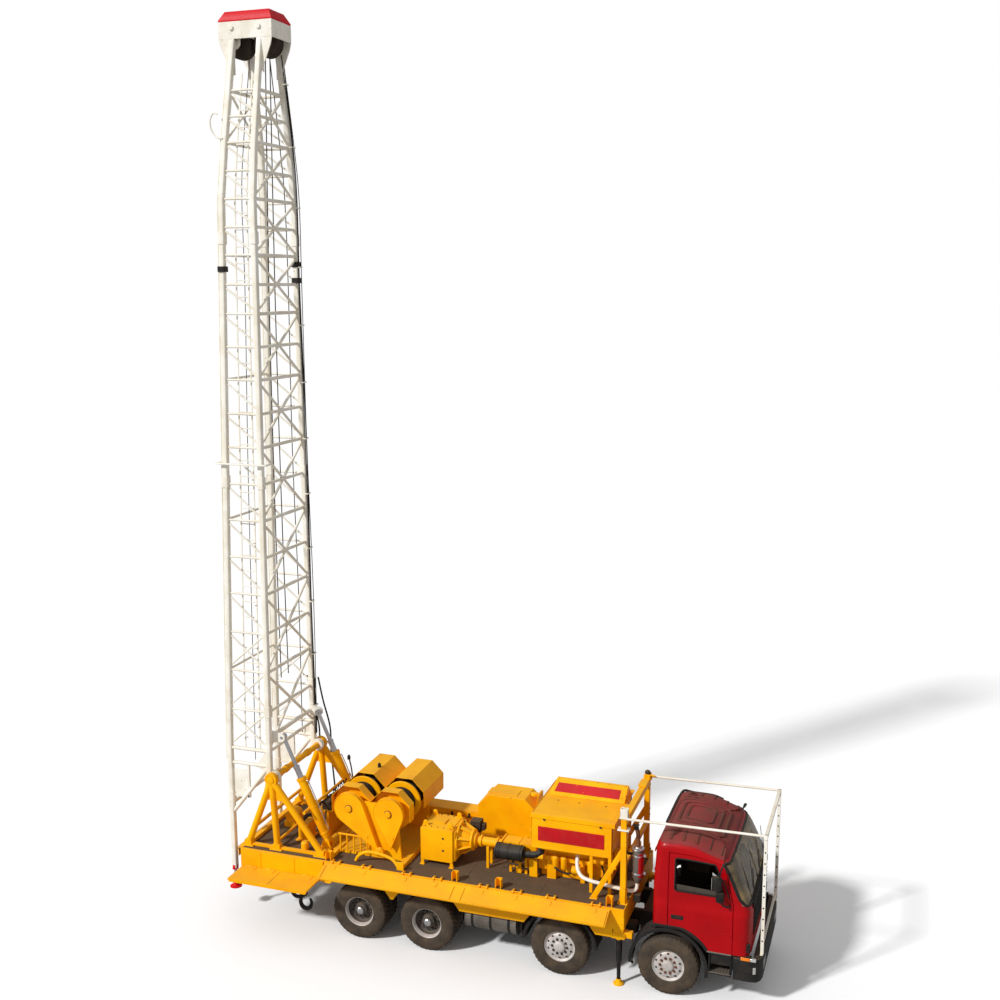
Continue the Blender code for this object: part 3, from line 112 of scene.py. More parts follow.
def both(skins: Iterable[Skin]) -> List[Skin]:
    """The shapes and their mirror images on the other side."""
    kept = list(skins)
    return kept + [s.mirrored() for s in kept]


def grid_faces(rows: int, cols: int, wrap_rows: bool, wrap_cols: bool) -> np.ndarray:
    """Quads between neighbours of a grid whose point (i, j) has the index i * cols + j.

    Args:
        rows: how many rows there are.
        cols: how many points a row has.
        wrap_rows: joins the last row to the first.
        wrap_cols: joins the last column to the first.

    Returns:
        An array of four point numbers a face.
    """
    i = np.arange(rows if wrap_rows else rows - 1)[:, None]
    j = np.arange(cols if wrap_cols else cols - 1)[None, :]
    i2, j2 = (i + 1) % rows, (j + 1) % cols
    corners = np.broadcast_arrays(i * cols + j, i * cols + j2, i2 * cols + j2, i2 * cols + j)
    return np.stack(corners, -1).reshape(-1, 4)


def grid(points: np.ndarray, wrap_rows: bool = False, wrap_cols: bool = False,
         caps: bool = False) -> Skin:
    """A surface through a (rows, cols, 3) array of points.

    Args:
        points: the grid.
        wrap_rows: joins the last row to the first.
        wrap_cols: joins the last column to the first.
        caps: closes the first and last row with one face each.

    Returns:
        The surface.
    """
    rows, cols = points.shape[:2]
    faces = [grid_faces(rows, cols, wrap_rows, wrap_cols)]
    if caps:
        last = (rows - 1) * cols
        faces += [np.arange(cols)[None, ::-1], np.arange(last, last + cols)[None]]
    return Skin(points.reshape(-1, 3), faces)


def circle(count: int, radius: float = 1.0, phase: float = 0.0) -> np.ndarray:
    """Points (radius cos a, radius sin a) at evenly spread angles."""
    angle = np.arange(count) * 2 * np.pi / count + phase
    return radius * np.stack((np.cos(angle), np.sin(angle)), -1)


def rounded(width: float, height: float, radius: float, steps: int = 3) -> np.ndarray:
    """Outline of a rectangle about the origin, each corner a quarter circle of the radius.

    Args:
        width: size across.
        height: size up.
        radius: radius of the corners.
        steps: points on each corner.

    Returns:
        The outline, an (n, 2) array.
    """
    angle = np.linspace(0, np.pi / 2, steps + 1)
    quarter = radius * np.stack((np.cos(angle), np.sin(angle)), -1)
    inner = np.array((width / 2 - radius, height / 2 - radius))
    turns = [np.array(((c, -s), (s, c))) for c, s in ((1, 0), (0, 1), (-1, 0), (0, -1))]
    signs = ((1, 1), (-1, 1), (-1, -1), (1, -1))
    return np.concatenate([quarter @ t.T + inner * s for t, s in zip(turns, signs)])


def axes_of(tangent: np.ndarray, up: Optional[Point] = None) -> Tuple[np.ndarray, np.ndarray]:
    """Unit vectors across each tangent: side = tangent x up, rise = side x tangent.

    Args:
        tangent: unit vectors along a path.
        up: direction that fixes the turn; None picks one.

    Returns:
        The side and the rise vectors, an array each.
    """
    if up is None:
        worst = np.abs(tangent).max(axis=0)
        up = np.eye(3)[int(np.argmin(worst))]
    side = np.cross(tangent, np.asarray(up, float))
    side /= np.linalg.norm(side, axis=-1, keepdims=True)
    return side, np.cross(side, tangent)


def sweep(profile: np.ndarray, path: Sequence[Point], up: Optional[Point] = None,
          closed: bool = False, size: float = 1.0) -> Skin:
    """A profile carried along a path: p = path + size * (a * side + b * rise).

    Args:
        profile: (a, b) points of the closed outline.
        path: the points it follows.
        up: direction that fixes the turn of the profile.
        closed: joins the path's end to its start.
        size: scale of the profile, one number or one per path point.

    Returns:
        The closed solid.
    """
    line = np.asarray(path, float)
    if closed:
        tangent = np.roll(line, -1, 0) - np.roll(line, 1, 0)
    else:
        tangent = np.gradient(line, axis=0)
    tangent /= np.linalg.norm(tangent, axis=1, keepdims=True)
    side, rise = axes_of(tangent, up)
    scale = np.broadcast_to(size, len(line))[:, None, None]
    points = line[:, None] + scale * (profile[None, :, :1] * side[:, None]
                                      + profile[None, :, 1:] * rise[:, None])
    return grid(points, wrap_rows=closed, wrap_cols=True, caps=not closed)


def tube(path: Sequence[Point], radius: float, count: int = 12, up: Optional[Point] = None,
         closed: bool = False) -> Skin:
    """A round bar along a path: a circle carried along it."""
    return sweep(circle(count, radius), path, up, closed)


def curve(points: Sequence[Point], count: int = 24) -> np.ndarray:
    """A smooth line through points: cubic Catmull-Rom pieces between each two.

    Args:
        points: what the line passes through.
        count: how many points it gets.

    Returns:
        The (count, 3) line.
    """
    p = np.asarray(points, float)
    p = np.vstack((2 * p[0] - p[1], p, 2 * p[-1] - p[-2]))
    s = np.linspace(0, len(p) - 3 - 1e-9, count)
    i = s.astype(int)
    t = (s - i)[:, None]
    a, b, c, d = p[i], p[i + 1], p[i + 2], p[i + 3]
    return 0.5 * (2 * b + (c - a) * t + (2 * a - 5 * b + 4 * c - d) * t ** 2
                  + (3 * b - a - 3 * c + d) * t ** 3)


def struts(starts: Sequence[Point], ends: Sequence[Point], profile: np.ndarray,
           up: Optional[Point] = None) -> Skin:
    """Many straight members at once: point = start or end + a * side + b * rise.

    Args:
        starts: (n, 3) first ends.
        ends: (n, 3) second ends.
        profile: (a, b) outline shared by all.
        up: direction that fixes the turn of the profile; by default +Z, or +Y for upright members.

    Returns:
        The closed members as one shape.
    """
    a, b = np.atleast_2d(np.asarray(starts, float)), np.atleast_2d(np.asarray(ends, float))
    a, b = np.broadcast_arrays(a, b)
    t = (b - a) / np.linalg.norm(b - a, axis=1, keepdims=True)
    upright = np.abs(t[:, 2:]) > 0.9
    ref = np.where(upright, np.array(ACROSS), np.array(UP)) if up is None else np.asarray(up, float)
    side = np.cross(t, ref)
    side /= np.linalg.norm(side, axis=1, keepdims=True)
    rise = np.cross(side, t)
    ring = profile[None, :, :1] * side[:, None] + profile[None, :, 1:] * rise[:, None]
    points = np.stack((a[:, None] + ring, b[:, None] + ring), 1)
    n, m = len(a), len(profile)
    base = (np.arange(n) * 2 * m)[:, None]
    quads = grid_faces(2, m, False, True)
    faces = [(quads[None] + base[:, :, None]).reshape(-1, 4), np.arange(m)[None, ::-1] + base,
             np.arange(m, 2 * m)[None] + base]
    return Skin(points.reshape(-1, 3), faces)


def rods(starts: Sequence[Point], ends: Sequence[Point], radius: float, count: int = 12) -> Skin:
    """Straight round bars between pairs of points."""
    return struts(starts, ends, circle(count, radius))


def bolts(places: Sequence[Point], axis: Point, radius: float = 0.014,
          height: float = 0.012) -> Skin:
    """Hexagon heads that stand on a face, each a washer under a six-sided prism.

    Args:
        places: centres of the seats.
        axis: direction out of the face.
        radius: radius of the heads.
        height: height of the heads.

    Returns:
        The heads as one shape.
    """
    base = np.atleast_2d(np.asarray(places, float))
    way = np.asarray(axis, float)
    return merged((struts(base - way * 0.002, base + way * height, circle(6, radius)),
                   struts(base - way * 0.002, base + way * height * 0.3, circle(12, radius * 1.5))))


def blocks(*spans: Tuple[Tuple[float, float], Tuple[float, float], Tuple[float, float]]) -> Skin:
    """Straight blocks along the axes.

    Args:
        spans: for each block its (low, high) pairs along x, y and z.

    Returns:
        The blocks as one shape.
    """
    box = np.array([[sorted(pair) for pair in span] for span in spans], float)
    corner = np.array([(0, 0, 0), (1, 0, 0), (1, 1, 0), (0, 1, 0),
                       (0, 0, 1), (1, 0, 1), (1, 1, 1), (0, 1, 1)])
    points = np.stack([box[:, k][:, corner[:, k]] for k in range(3)], -1)
    quad = np.array([(0, 3, 2, 1), (4, 5, 6, 7), (0, 1, 5, 4), (1, 2, 6, 5), (2, 3, 7, 6),
                     (3, 0, 4, 7)])
    faces = (quad[None] + (np.arange(len(box)) * 8)[:, None, None]).reshape(-1, 4)
    return Skin(points.reshape(-1, 3), [faces])


def plate(outline: Sequence[Sequence[float]], level: Tuple[float, float], plane: str = "xz") -> Skin:
    """A flat outline given thickness along the axis that its plane leaves out.

    Args:
        outline: corner pairs in the plane.
        level: (low, high) along the third axis.
        plane: "xz", "xy" or "yz".

    Returns:
        The closed plate.
    """
    flat = np.asarray(outline, float)
    index = {"xz": (0, 2, 1), "xy": (0, 1, 2), "yz": (1, 2, 0)}[plane]
    points = np.zeros((2, len(flat), 3))
    points[..., index[0]], points[..., index[1]] = flat[:, 0], flat[:, 1]
    points[..., index[2]] = np.asarray(level, float)[:, None]
    return grid(points, wrap_cols=True, caps=True)


def lathe(profile: Sequence[Sequence[float]], centre: Point, axis: Point = ACROSS,
          count: int = 32, closed: bool = False) -> Skin:
    """A (distance along the axis, radius) profile turned about the axis.

    Point = centre + s * axis + r * (cos a * u + sin a * v). Ends of radius above 0 get a flat cap.

    Args:
        profile: the (s, r) pairs.
        centre: origin of the axis.
        axis: its direction.
        count: how many steps there are round it.
        closed: joins the profile's end to its start, for a ring.

    Returns:
        The closed solid.
    """
    way = np.asarray(axis, float) / np.linalg.norm(axis)
    side, rise = axes_of(way[None])
    pairs = np.asarray(profile, float)
    turn = circle(count)
    radial = turn[:, :1] * side + turn[:, 1:] * rise
    points = (np.asarray(centre, float) + pairs[:, None, :1] * way
              + pairs[:, None, 1:] * radial[None])
    return grid(points, wrap_rows=closed, wrap_cols=True, caps=not closed)


def disc_rims(places: Sequence[Point], axis: Point, radius: float, height: float,
              count: int = 20) -> Skin:
    """Low round bosses with a chamfer that stand on a face."""
    shape = [(0, radius), (height * 0.7, radius), (height, radius * 0.86)]
    return merged(lathe(shape, p, axis, count) for p in np.atleast_2d(np.asarray(places, float)))


def arc(centre: Tuple[float, float], radius: float, start: float, end: float,
        count: int) -> np.ndarray:
    """Points (cx + r cos a, cz + r sin a), the angle running in degrees from start to end."""
    angle = np.radians(np.linspace(start, end, count))
    return np.array(centre) + radius * np.stack((np.cos(angle), np.sin(angle)), -1)


# ------------------------------------------------------------------------------ finishes
class Graph:
    """A material's node tree, with short calls for the nodes that the finishes share."""

    def __init__(self, name: str) -> None:
        """Starts a material with its Principled shader and object coordinates.

        Args:
            name: the material's name.
        """
        self.material = bpy.data.materials.new(name)
        self.material.use_nodes = True
        self.tree = self.material.node_tree
        self.shader = self.tree.nodes["Principled BSDF"]
        self.coord = self.tree.nodes.new("ShaderNodeTexCoord")

    def put(self, socket: bpy.types.NodeSocket, value: object) -> None:
        """Links a socket to another, or sets its value.

        Args:
            socket: the socket to fill.
            value: a socket to link, or a value to set.
        """
        if isinstance(value, bpy.types.NodeSocket):
            self.tree.links.new(value, socket)
        elif isinstance(value, tuple) and len(value) == 3 and socket.type == "RGBA":
            socket.default_value = (*value, 1.0)
        else:
            socket.default_value = value

    def place(self, scale: Point = (1.0, 1.0, 1.0)) -> bpy.types.NodeSocket:
        """Object coordinates stretched by a scale.

        Args:
            scale: factor along x, y and z.

        Returns:
            The stretched coordinates.
        """
        node = self.tree.nodes.new("ShaderNodeMapping")
        node.inputs["Scale"].default_value = scale
        self.put(node.inputs["Vector"], self.coord.outputs["Object"])
        return node.outputs[0]

    def noise(self, scale: float, detail: float = 4.0, stretch: Point = (1.0, 1.0, 1.0),
              rough: float = 0.55) -> bpy.types.NodeSocket:
        """Fractal noise of a scale per metre.

        Args:
            scale: repeats a metre.
            detail: how many octaves.
            stretch: factor along x, y and z.
            rough: share of the finer octaves.

        Returns:
            The value, 0 to 1.
        """
        node = self.tree.nodes.new("ShaderNodeTexNoise")
        for key, value in (("Scale", scale), ("Detail", detail), ("Roughness", rough)):
            node.inputs[key].default_value = value
        self.put(node.inputs["Vector"], self.place(stretch))
        return node.outputs["Fac"]

    def ramp(self, value: bpy.types.NodeSocket, low: float, high: float, start: float = 0.0,
             end: float = 1.0) -> bpy.types.NodeSocket:
        """Straight clamped map of low..high to start..end.

        Args:
            value: what is mapped.
            low: input that gives start.
            high: input that gives end.
            start: value at low.
            end: value at high.

        Returns:
            The mapped value.
        """
        node = self.tree.nodes.new("ShaderNodeMapRange")
        for key, number in (("From Min", low), ("From Max", high), ("To Min", start),
                            ("To Max", end)):
            node.inputs[key].default_value = number
        self.put(node.inputs["Value"], value)
        return node.outputs[0]

    def math(self, kind: str, a: object, b: object) -> bpy.types.NodeSocket:
        """One sum of two values, sockets or numbers.

        Args:
            kind: the sum's name in Blender.
            a: first value.
            b: second value.

        Returns:
            The result.
        """
        node = self.tree.nodes.new("ShaderNodeMath")
        node.operation = kind
        self.put(node.inputs[0], a)
        self.put(node.inputs[1], b)
        return node.outputs[0]

    def mix(self, share: object, a: object, b: object) -> bpy.types.NodeSocket:
        """Colour a turning into colour b by a share.

        Args:
            share: 0 gives a, 1 gives b.
            a: first colour.
            b: second colour.

        Returns:
            The mixed colour.
        """
        node = self.tree.nodes.new("ShaderNodeMix")
        node.data_type = "RGBA"
        self.put(node.inputs[0], share)
        self.put(node.inputs[6], a)
        self.put(node.inputs[7], b)
        return node.outputs[2]

    def facing(self, axis: str = "Z") -> bpy.types.NodeSocket:
        """How far the piece's own surface faces along an axis, -1 to 1.

        Args:
            axis: 0, 1 or 2 for x, y or z.

        Returns:
            The share, -1 to 1.
        """
        node = self.tree.nodes.new("ShaderNodeSeparateXYZ")
        self.put(node.inputs[0], self.coord.outputs["Normal"])
        return node.outputs[axis]

    def height(self, axis: str = "Z") -> bpy.types.NodeSocket:
        """The object coordinate along an axis.

        Args:
            axis: 0, 1 or 2 for x, y or z.

        Returns:
            The coordinate in metres.
        """
        node = self.tree.nodes.new("ShaderNodeSeparateXYZ")
        self.put(node.inputs[0], self.coord.outputs["Object"])
        return node.outputs[axis]

    def relief(self, value: bpy.types.NodeSocket, strength: float, depth: float) -> None:
        """Bump on the shader from a height value.

        Args:
            value: the height.
            strength: how strongly it shows.
            depth: height of a full step, in metres.
        """
        node = self.tree.nodes.new("ShaderNodeBump")
        node.inputs["Strength"].default_value = strength
        node.inputs["Distance"].default_value = depth
        self.put(node.inputs["Height"], value)
        self.put(self.shader.inputs["Normal"], node.outputs[0])


def linear(rgb: Tuple[int, int, int]) -> Colour:
    """Linear colour of an 8-bit sRGB one: c / 12.92 below 0.04045, ((c + 0.055) / 1.055) ** 2.4."""
    c = np.array(rgb, float) / 255.0
    return tuple(float(v) for v in np.where(c <= 0.04045, c / 12.92, ((c + 0.055) / 1.055) ** 2.4))


@dataclass(frozen=True)
class Paint:
    """A painted, cast or bare surface: two tones, dust on top, streaks, chips and fine relief."""

    name: str
    slot: str
    colour: Tuple[int, int, int]
    tone: Tuple[int, int, int]
    dust: Tuple[int, int, int] = (205, 172, 120)
    dust_top: float = 0.35
    dust_side: float = 0.06
    chip: Tuple[int, int, int] = (92, 58, 36)
    chips: float = 0.0
    streak: float = 0.12
    rough: float = 0.42
    metal: float = 0.0
    coat: float = 0.0
    gloss: float = 0.28
    bump: float = 0.10
    grain: float = 60.0
    patch: float = 2.2
    low_dirt: float = 0.0

    def material(self, worn: bool = False) -> bpy.types.Material:
        """Makes the node material.

        Args:
            worn: the version for bevelled edges, where paint has chipped off.

        Returns:
            The material.
        """
        g = Graph(self.name + ("_edge" if worn else ""))
        coarse = g.noise(self.patch, 5.0)
        fine = g.noise(self.grain, 3.0)
        streaks = g.noise(9.0, 3.0, (1.0, 1.0, 0.09))
        base = g.mix(g.ramp(coarse, 0.38, 0.66), linear(self.colour), linear(self.tone))
        dark = tuple(c * 0.45 for c in linear(self.tone))
        base = g.mix(g.ramp(streaks, 0.56, 0.80, 0.0, self.streak), base, dark)
        up = g.ramp(g.facing(), 0.35, 0.95)
        share = g.math("MULTIPLY", up, g.ramp(coarse, 0.30, 0.62, 0.55 * self.dust_top,
                                              self.dust_top))
        share = g.math("ADD", share, g.ramp(g.noise(7.0, 6.0), 0.45, 0.8, 0.0, self.dust_side))
        if self.low_dirt:
            low = g.ramp(g.height(), 0.35, 1.9, self.low_dirt, 0.0)
            share = g.math("ADD", share, g.math("MULTIPLY", low, g.ramp(fine, 0.2, 0.7)))
        base = g.mix(g.math("MINIMUM", share, 0.92), base, linear(self.dust))
        chips = self.chips + (0.16 if worn and self.metal < 0.5 else 0.0)
        rough: object = g.ramp(fine, 0.2, 0.8, self.rough - 0.08, self.rough + 0.14)
        rough = g.math("ADD", rough, g.math("MULTIPLY", share, 0.35))
        if chips:
            spots = g.noise(26.0, 5.0)
            edge = 0.70 - 0.55 * chips
            hit = g.ramp(spots, edge, edge + 0.035)
            base = g.mix(hit, base, linear(self.chip))
            rough = g.math("ADD", rough, g.math("MULTIPLY", hit, 0.25))
        g.put(g.shader.inputs["Base Color"], base)
        g.put(g.shader.inputs["Roughness"], rough)
        g.shader.inputs["Metallic"].default_value = self.metal
        g.shader.inputs["Coat Weight"].default_value = self.coat
        g.shader.inputs["Specular IOR Level"].default_value = self.gloss
        g.relief(g.math("ADD", g.math("MULTIPLY", fine, 0.4), coarse), self.bump, 0.006)
        return g.material


@dataclass(frozen=True)
class Rubber:
    """Dusty tyre rubber: dark, with tan dust in patches."""

    name: str = "tyre_rubber"
    slot: str = "tyre_rubber"
    colour: Tuple[int, int, int] = (40, 34, 28)
    dust: Tuple[int, int, int] = (92, 74, 54)

    def material(self, worn: bool = False) -> bpy.types.Material:
        """Makes the node material; rubber has no chipped version.

        Args:
            worn: asks for the version on chamfers, which is the same here.

        Returns:
            The material.
        """
        g = Graph(self.name)
        cover = g.ramp(g.noise(5.0, 6.0), 0.32, 0.72, 0.10, 0.80)
        fine = g.noise(90.0, 3.0)
        base = g.mix(cover, linear(self.colour), linear(self.dust))
        g.put(g.shader.inputs["Base Color"], base)
        g.put(g.shader.inputs["Roughness"], g.ramp(fine, 0.2, 0.8, 0.68, 0.95))
        g.relief(fine, 0.25, 0.004)
        return g.material


@dataclass(frozen=True)
class Glass:
    """Dusty tinted glass: dark, glossy, with a film that thickens in patches; the brown-tan colour of
    glass and film is partly a painted reflection.
    """

    name: str = "dusty_glass_painted_reflection"
    slot: str = "tinted_glass"
    # Brown-tan tint and lighter film: tint and dust, partly a painted reflection.
    colour: Tuple[int, int, int] = (86, 72, 48)
    dust_and_reflection_film: Tuple[int, int, int] = (160, 134, 88)
    clear: float = 0.30

    def material(self, worn: bool = False) -> bpy.types.Material:
        """Makes the node material; glass has no chipped version.

        Args:
            worn: asks for the version on chamfers, which is the same here.

        Returns:
            The material.
        """
        g = Graph(self.name)
        dusty = g.ramp(g.noise(2.6, 5.0), 0.42, 0.75)
        g.put(g.shader.inputs["Base Color"], g.mix(dusty, linear(self.colour), linear(self.dust_and_reflection_film)))
        g.put(g.shader.inputs["Roughness"], g.ramp(dusty, 0.0, 1.0, 0.04, 0.35))
        g.put(g.shader.inputs["Alpha"], g.ramp(dusty, 0.0, 1.0, 1.0 - self.clear, 0.9))
        g.shader.inputs["Specular IOR Level"].default_value = 0.8
        return g.material


class Finish(Enum):
    """The finishes of the rig."""

    YELLOW = Paint("yellow_paint", "yellow_paint", (255, 182, 0), (248, 166, 0),
                   dust=(218, 168, 60), dust_top=0.42, dust_side=0.0, chips=0.02, gloss=0.14)
    WHITE = Paint("white_paint", "white_paint", (246, 242, 232), (232, 224, 206),
                  dust=(196, 178, 146), dust_top=0.30, dust_side=0.22, chips=0.03,
                  chip=(150, 118, 84), streak=0.22, rough=0.5)
    RED = Paint("cab_red", "red_paint", (170, 0, 10), (158, 0, 8), dust=(150, 84, 74),
                dust_top=0.10, dust_side=0.0, rough=0.30, coat=0.04, bump=0.03, streak=0.05,
                gloss=0.18)
    ROOF = Paint("roof_red", "red_paint", (142, 18, 32), (112, 26, 32), dust=(122, 74, 62),
                 dust_top=0.62, dust_side=0.2, rough=0.55, streak=0.1)
    BADGE = Paint("panel_red", "red_paint", (196, 8, 22), (172, 6, 20), dust=(150, 70, 50),
                  dust_top=0.1, dust_side=0.25, chips=0.03, chip=(226, 170, 40))
    CAP = Paint("crown_red", "red_paint", (216, 0, 22), (200, 0, 20), dust=(160, 60, 50),
                dust_top=0.05, dust_side=0.0, chips=0.02, gloss=0.15)
    DECK = Paint("deck_plate", "deck_paint", (72, 58, 46), (54, 44, 36), dust=(116, 94, 70),
                 dust_top=0.55, dust_side=0.2, rough=0.72, bump=0.25, patch=1.3, chips=0.06,
                 chip=(30, 25, 22))
    BLACK = Paint("black_paint", "black_paint", (30, 29, 28), (20, 20, 20), dust=(112, 96, 76),
                  dust_top=0.35, dust_side=0.15, rough=0.5, chips=0.02)
    UNDER = Paint("frame_black", "deck_paint", (38, 34, 30), (28, 25, 22), dust=(104, 84, 62),
                  dust_top=0.5, dust_side=0.3, rough=0.75, bump=0.2)
    IRON = Paint("cast_iron", "cast_parts", (70, 62, 54), (50, 44, 38), dust=(120, 96, 70),
                 dust_top=0.5, dust_side=0.35, rough=0.75, metal=0.25, bump=0.3)
    RIM = Paint("rim_light", "rim_paint", (205, 200, 196), (188, 182, 176), dust=(170, 136, 106),
                dust_top=0.2, dust_side=0.35, chips=0.10, chip=(176, 104, 84), rough=0.45,
                metal=0.25)
    DISH = Paint("rim_dark", "rim_paint", (96, 90, 84), (70, 64, 58), dust=(128, 102, 76),
                 dust_top=0.3, dust_side=0.35, chips=0.08, rough=0.6, metal=0.2)
    STEEL = Paint("bright_steel", "polished_steel", (206, 206, 208), (184, 184, 188),
                  dust=(176, 160, 136), dust_top=0.15, rough=0.24, metal=0.95, bump=0.03)
    ROPE = Paint("wire_rope", "cast_parts", (44, 38, 33), (28, 25, 22), dust=(98, 78, 56),
                 dust_top=0.2, dust_side=0.3, rough=0.55, metal=0.5, grain=160.0, bump=0.5)
    HOSE = Paint("hose_black", "black_paint", (24, 24, 25), (18, 18, 19), dust=(90, 78, 62),
                 dust_top=0.35, dust_side=0.1, rough=0.6, bump=0.15)
    ALLOY = Paint("tank_alloy", "polished_steel", (136, 130, 122), (104, 98, 90),
                  dust=(128, 106, 82), dust_top=0.4, dust_side=0.5, rough=0.45, metal=0.6)
    RUST = Paint("rusty_pipe", "cast_parts", (120, 72, 46), (86, 52, 36), dust=(140, 104, 76),
                 dust_top=0.2, dust_side=0.2, rough=0.85, bump=0.3, grain=110.0)
    PAD_RED = Paint("jack_red", "red_paint", (222, 0, 14), (204, 0, 12), dust=(150, 90, 70),
                    dust_top=0.08, dust_side=0.0, gloss=0.15)
    TRIM = Paint("dark_trim", "seat_trim", (34, 32, 31), (24, 23, 23), dust=(90, 80, 66),
                 dust_top=0.2, rough=0.75)
    CLOTH = Paint("seat_cloth", "seat_trim", (86, 78, 68), (66, 60, 54), dust=(120, 104, 84),
                  dust_top=0.2, rough=0.9, grain=220.0, bump=0.4)
    AMBER = Paint("amber_lens", "yellow_paint", (240, 128, 10), (226, 108, 6), rough=0.15,
                  coat=0.6, streak=0.0, dust_top=0.1, bump=0.02)
    LENS = Paint("clear_lens", "tinted_glass", (214, 214, 210), (196, 196, 190), rough=0.1,
                 coat=0.8, metal=0.4, streak=0.0, dust_top=0.1, bump=0.02)
    RUBBER = Rubber()
    GLASS = Glass()

    @lru_cache(maxsize=None)
    def material(self, worn: bool = False) -> bpy.types.Material:
        """The finish's material, made once."""
        return self.value.material(worn)


# ------------------------------------------------------------------------------ workshop
@dataclass
class Workshop:
    """Turns shapes into named pieces that ride on the frame's bodies."""

    origin: float
    count: int = 0
    triangles: int = 0

    def loose(self, name: str, skins: Iterable[Skin], finish: Finish,
              smooth: float = 32.0) -> bpy.types.Object:
        """Makes a piece's object with its finish, before it rides on a body.

        Args:
            name: name of the piece.
            skins: its shapes.
            finish: its finish.
            smooth: largest angle shaded smooth, in degrees.

        Returns:
            The new object.
        """
        skin = merged(skins)
        mesh = bpy.data.meshes.new(name)
        faces = [f for block in skin.faces for f in block.tolist()]
        mesh.from_pydata((skin.points + (self.origin, 0, 0)).tolist(), [], faces)
        work = bmesh.new()
        work.from_mesh(mesh)
        bmesh.ops.remove_doubles(work, verts=work.verts, dist=MERGE)
        bmesh.ops.recalc_face_normals(work, faces=work.faces)
        work.to_mesh(mesh)
        work.free()
        mesh.polygons.foreach_set("use_smooth", np.ones(len(mesh.polygons), bool))
        mesh.set_sharp_from_angle(angle=math.radians(smooth))
        obj = bpy.data.objects.new(name, mesh)
        bpy.context.scene.collection.objects.link(obj)
        mesh.materials.append(finish.material())
        size = sum(len(p.vertices) - 2 for p in mesh.polygons)
        self.count += 1
        self.triangles += size
        LOG.info("piece %-28s %6d triangles", name, size)
        return obj

    def piece(self, name: str, body: str, skins: Iterable[Skin], finish: Finish,
              bevel: float = 0.0, smooth: float = 32.0, wall: float = 0.0,
              replaces: Sequence[str] = (), levels: int = 0) -> bpy.types.Object:
        """Makes one piece.

        Args:
            name: the piece's name.
            body: the frame body that it moves with.
            skins: its shapes, in the truck's frame.
            finish: what it is coated with.
            bevel: width of the worn chamfer on its edges; 0 leaves them sharp.
            smooth: angle in degrees under which neighbouring faces shade as one.
            wall: thickness that an open sheet gets, towards its inside.
            replaces: frame nodes that it stands for.
            levels: subdivision levels.

        Returns:
            The object, at the origin with its place in its mesh.
        """
        obj = self.loose(name, skins, finish, smooth)
        if wall:
            step = obj.modifiers.new("wall", "SOLIDIFY")
            step.thickness, step.offset = wall, -1.0
        if levels:
            step = obj.modifiers.new("round", "SUBSURF")
            step.levels = step.render_levels = levels
        if bevel:
            obj.data.materials.append(finish.material(True))
            self.chamfer(obj, bevel)
        if replaces:
            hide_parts(*replaces)
        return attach(obj, body)

    @staticmethod
    def chamfer(obj: bpy.types.Object, width: float) -> None:
        """Adds a two-step bevel whose faces take the second, worn material.

        Args:
            obj: the piece.
            width: width of the bevel.
        """
        step = obj.modifiers.new("edges", "BEVEL")
        step.width, step.segments = width, 2
        step.limit_method, step.angle_limit = "ANGLE", math.radians(40)
        step.material, step.harden_normals = 1, False
        step.use_clamp_overlap = True

    def dress(self, obj: bpy.types.Object, finish: Finish, bevel: float = 0.0) -> None:
        """Gives a carried-over frame node its finish and, if asked, worn bevelled edges.

        Args:
            obj: the frame's node.
            finish: its finish.
            bevel: width of the bevel, 0 for none.
        """
        obj.data.materials.clear()
        obj.data.materials.append(finish.material())
        if bevel:
            obj.data.materials.append(finish.material(True))
            weld = obj.modifiers.new("weld", "WELD")
            weld.merge_threshold = MERGE
            self.chamfer(obj, bevel)
        LOG.info("node  %-28s %s", obj.name, finish.name)


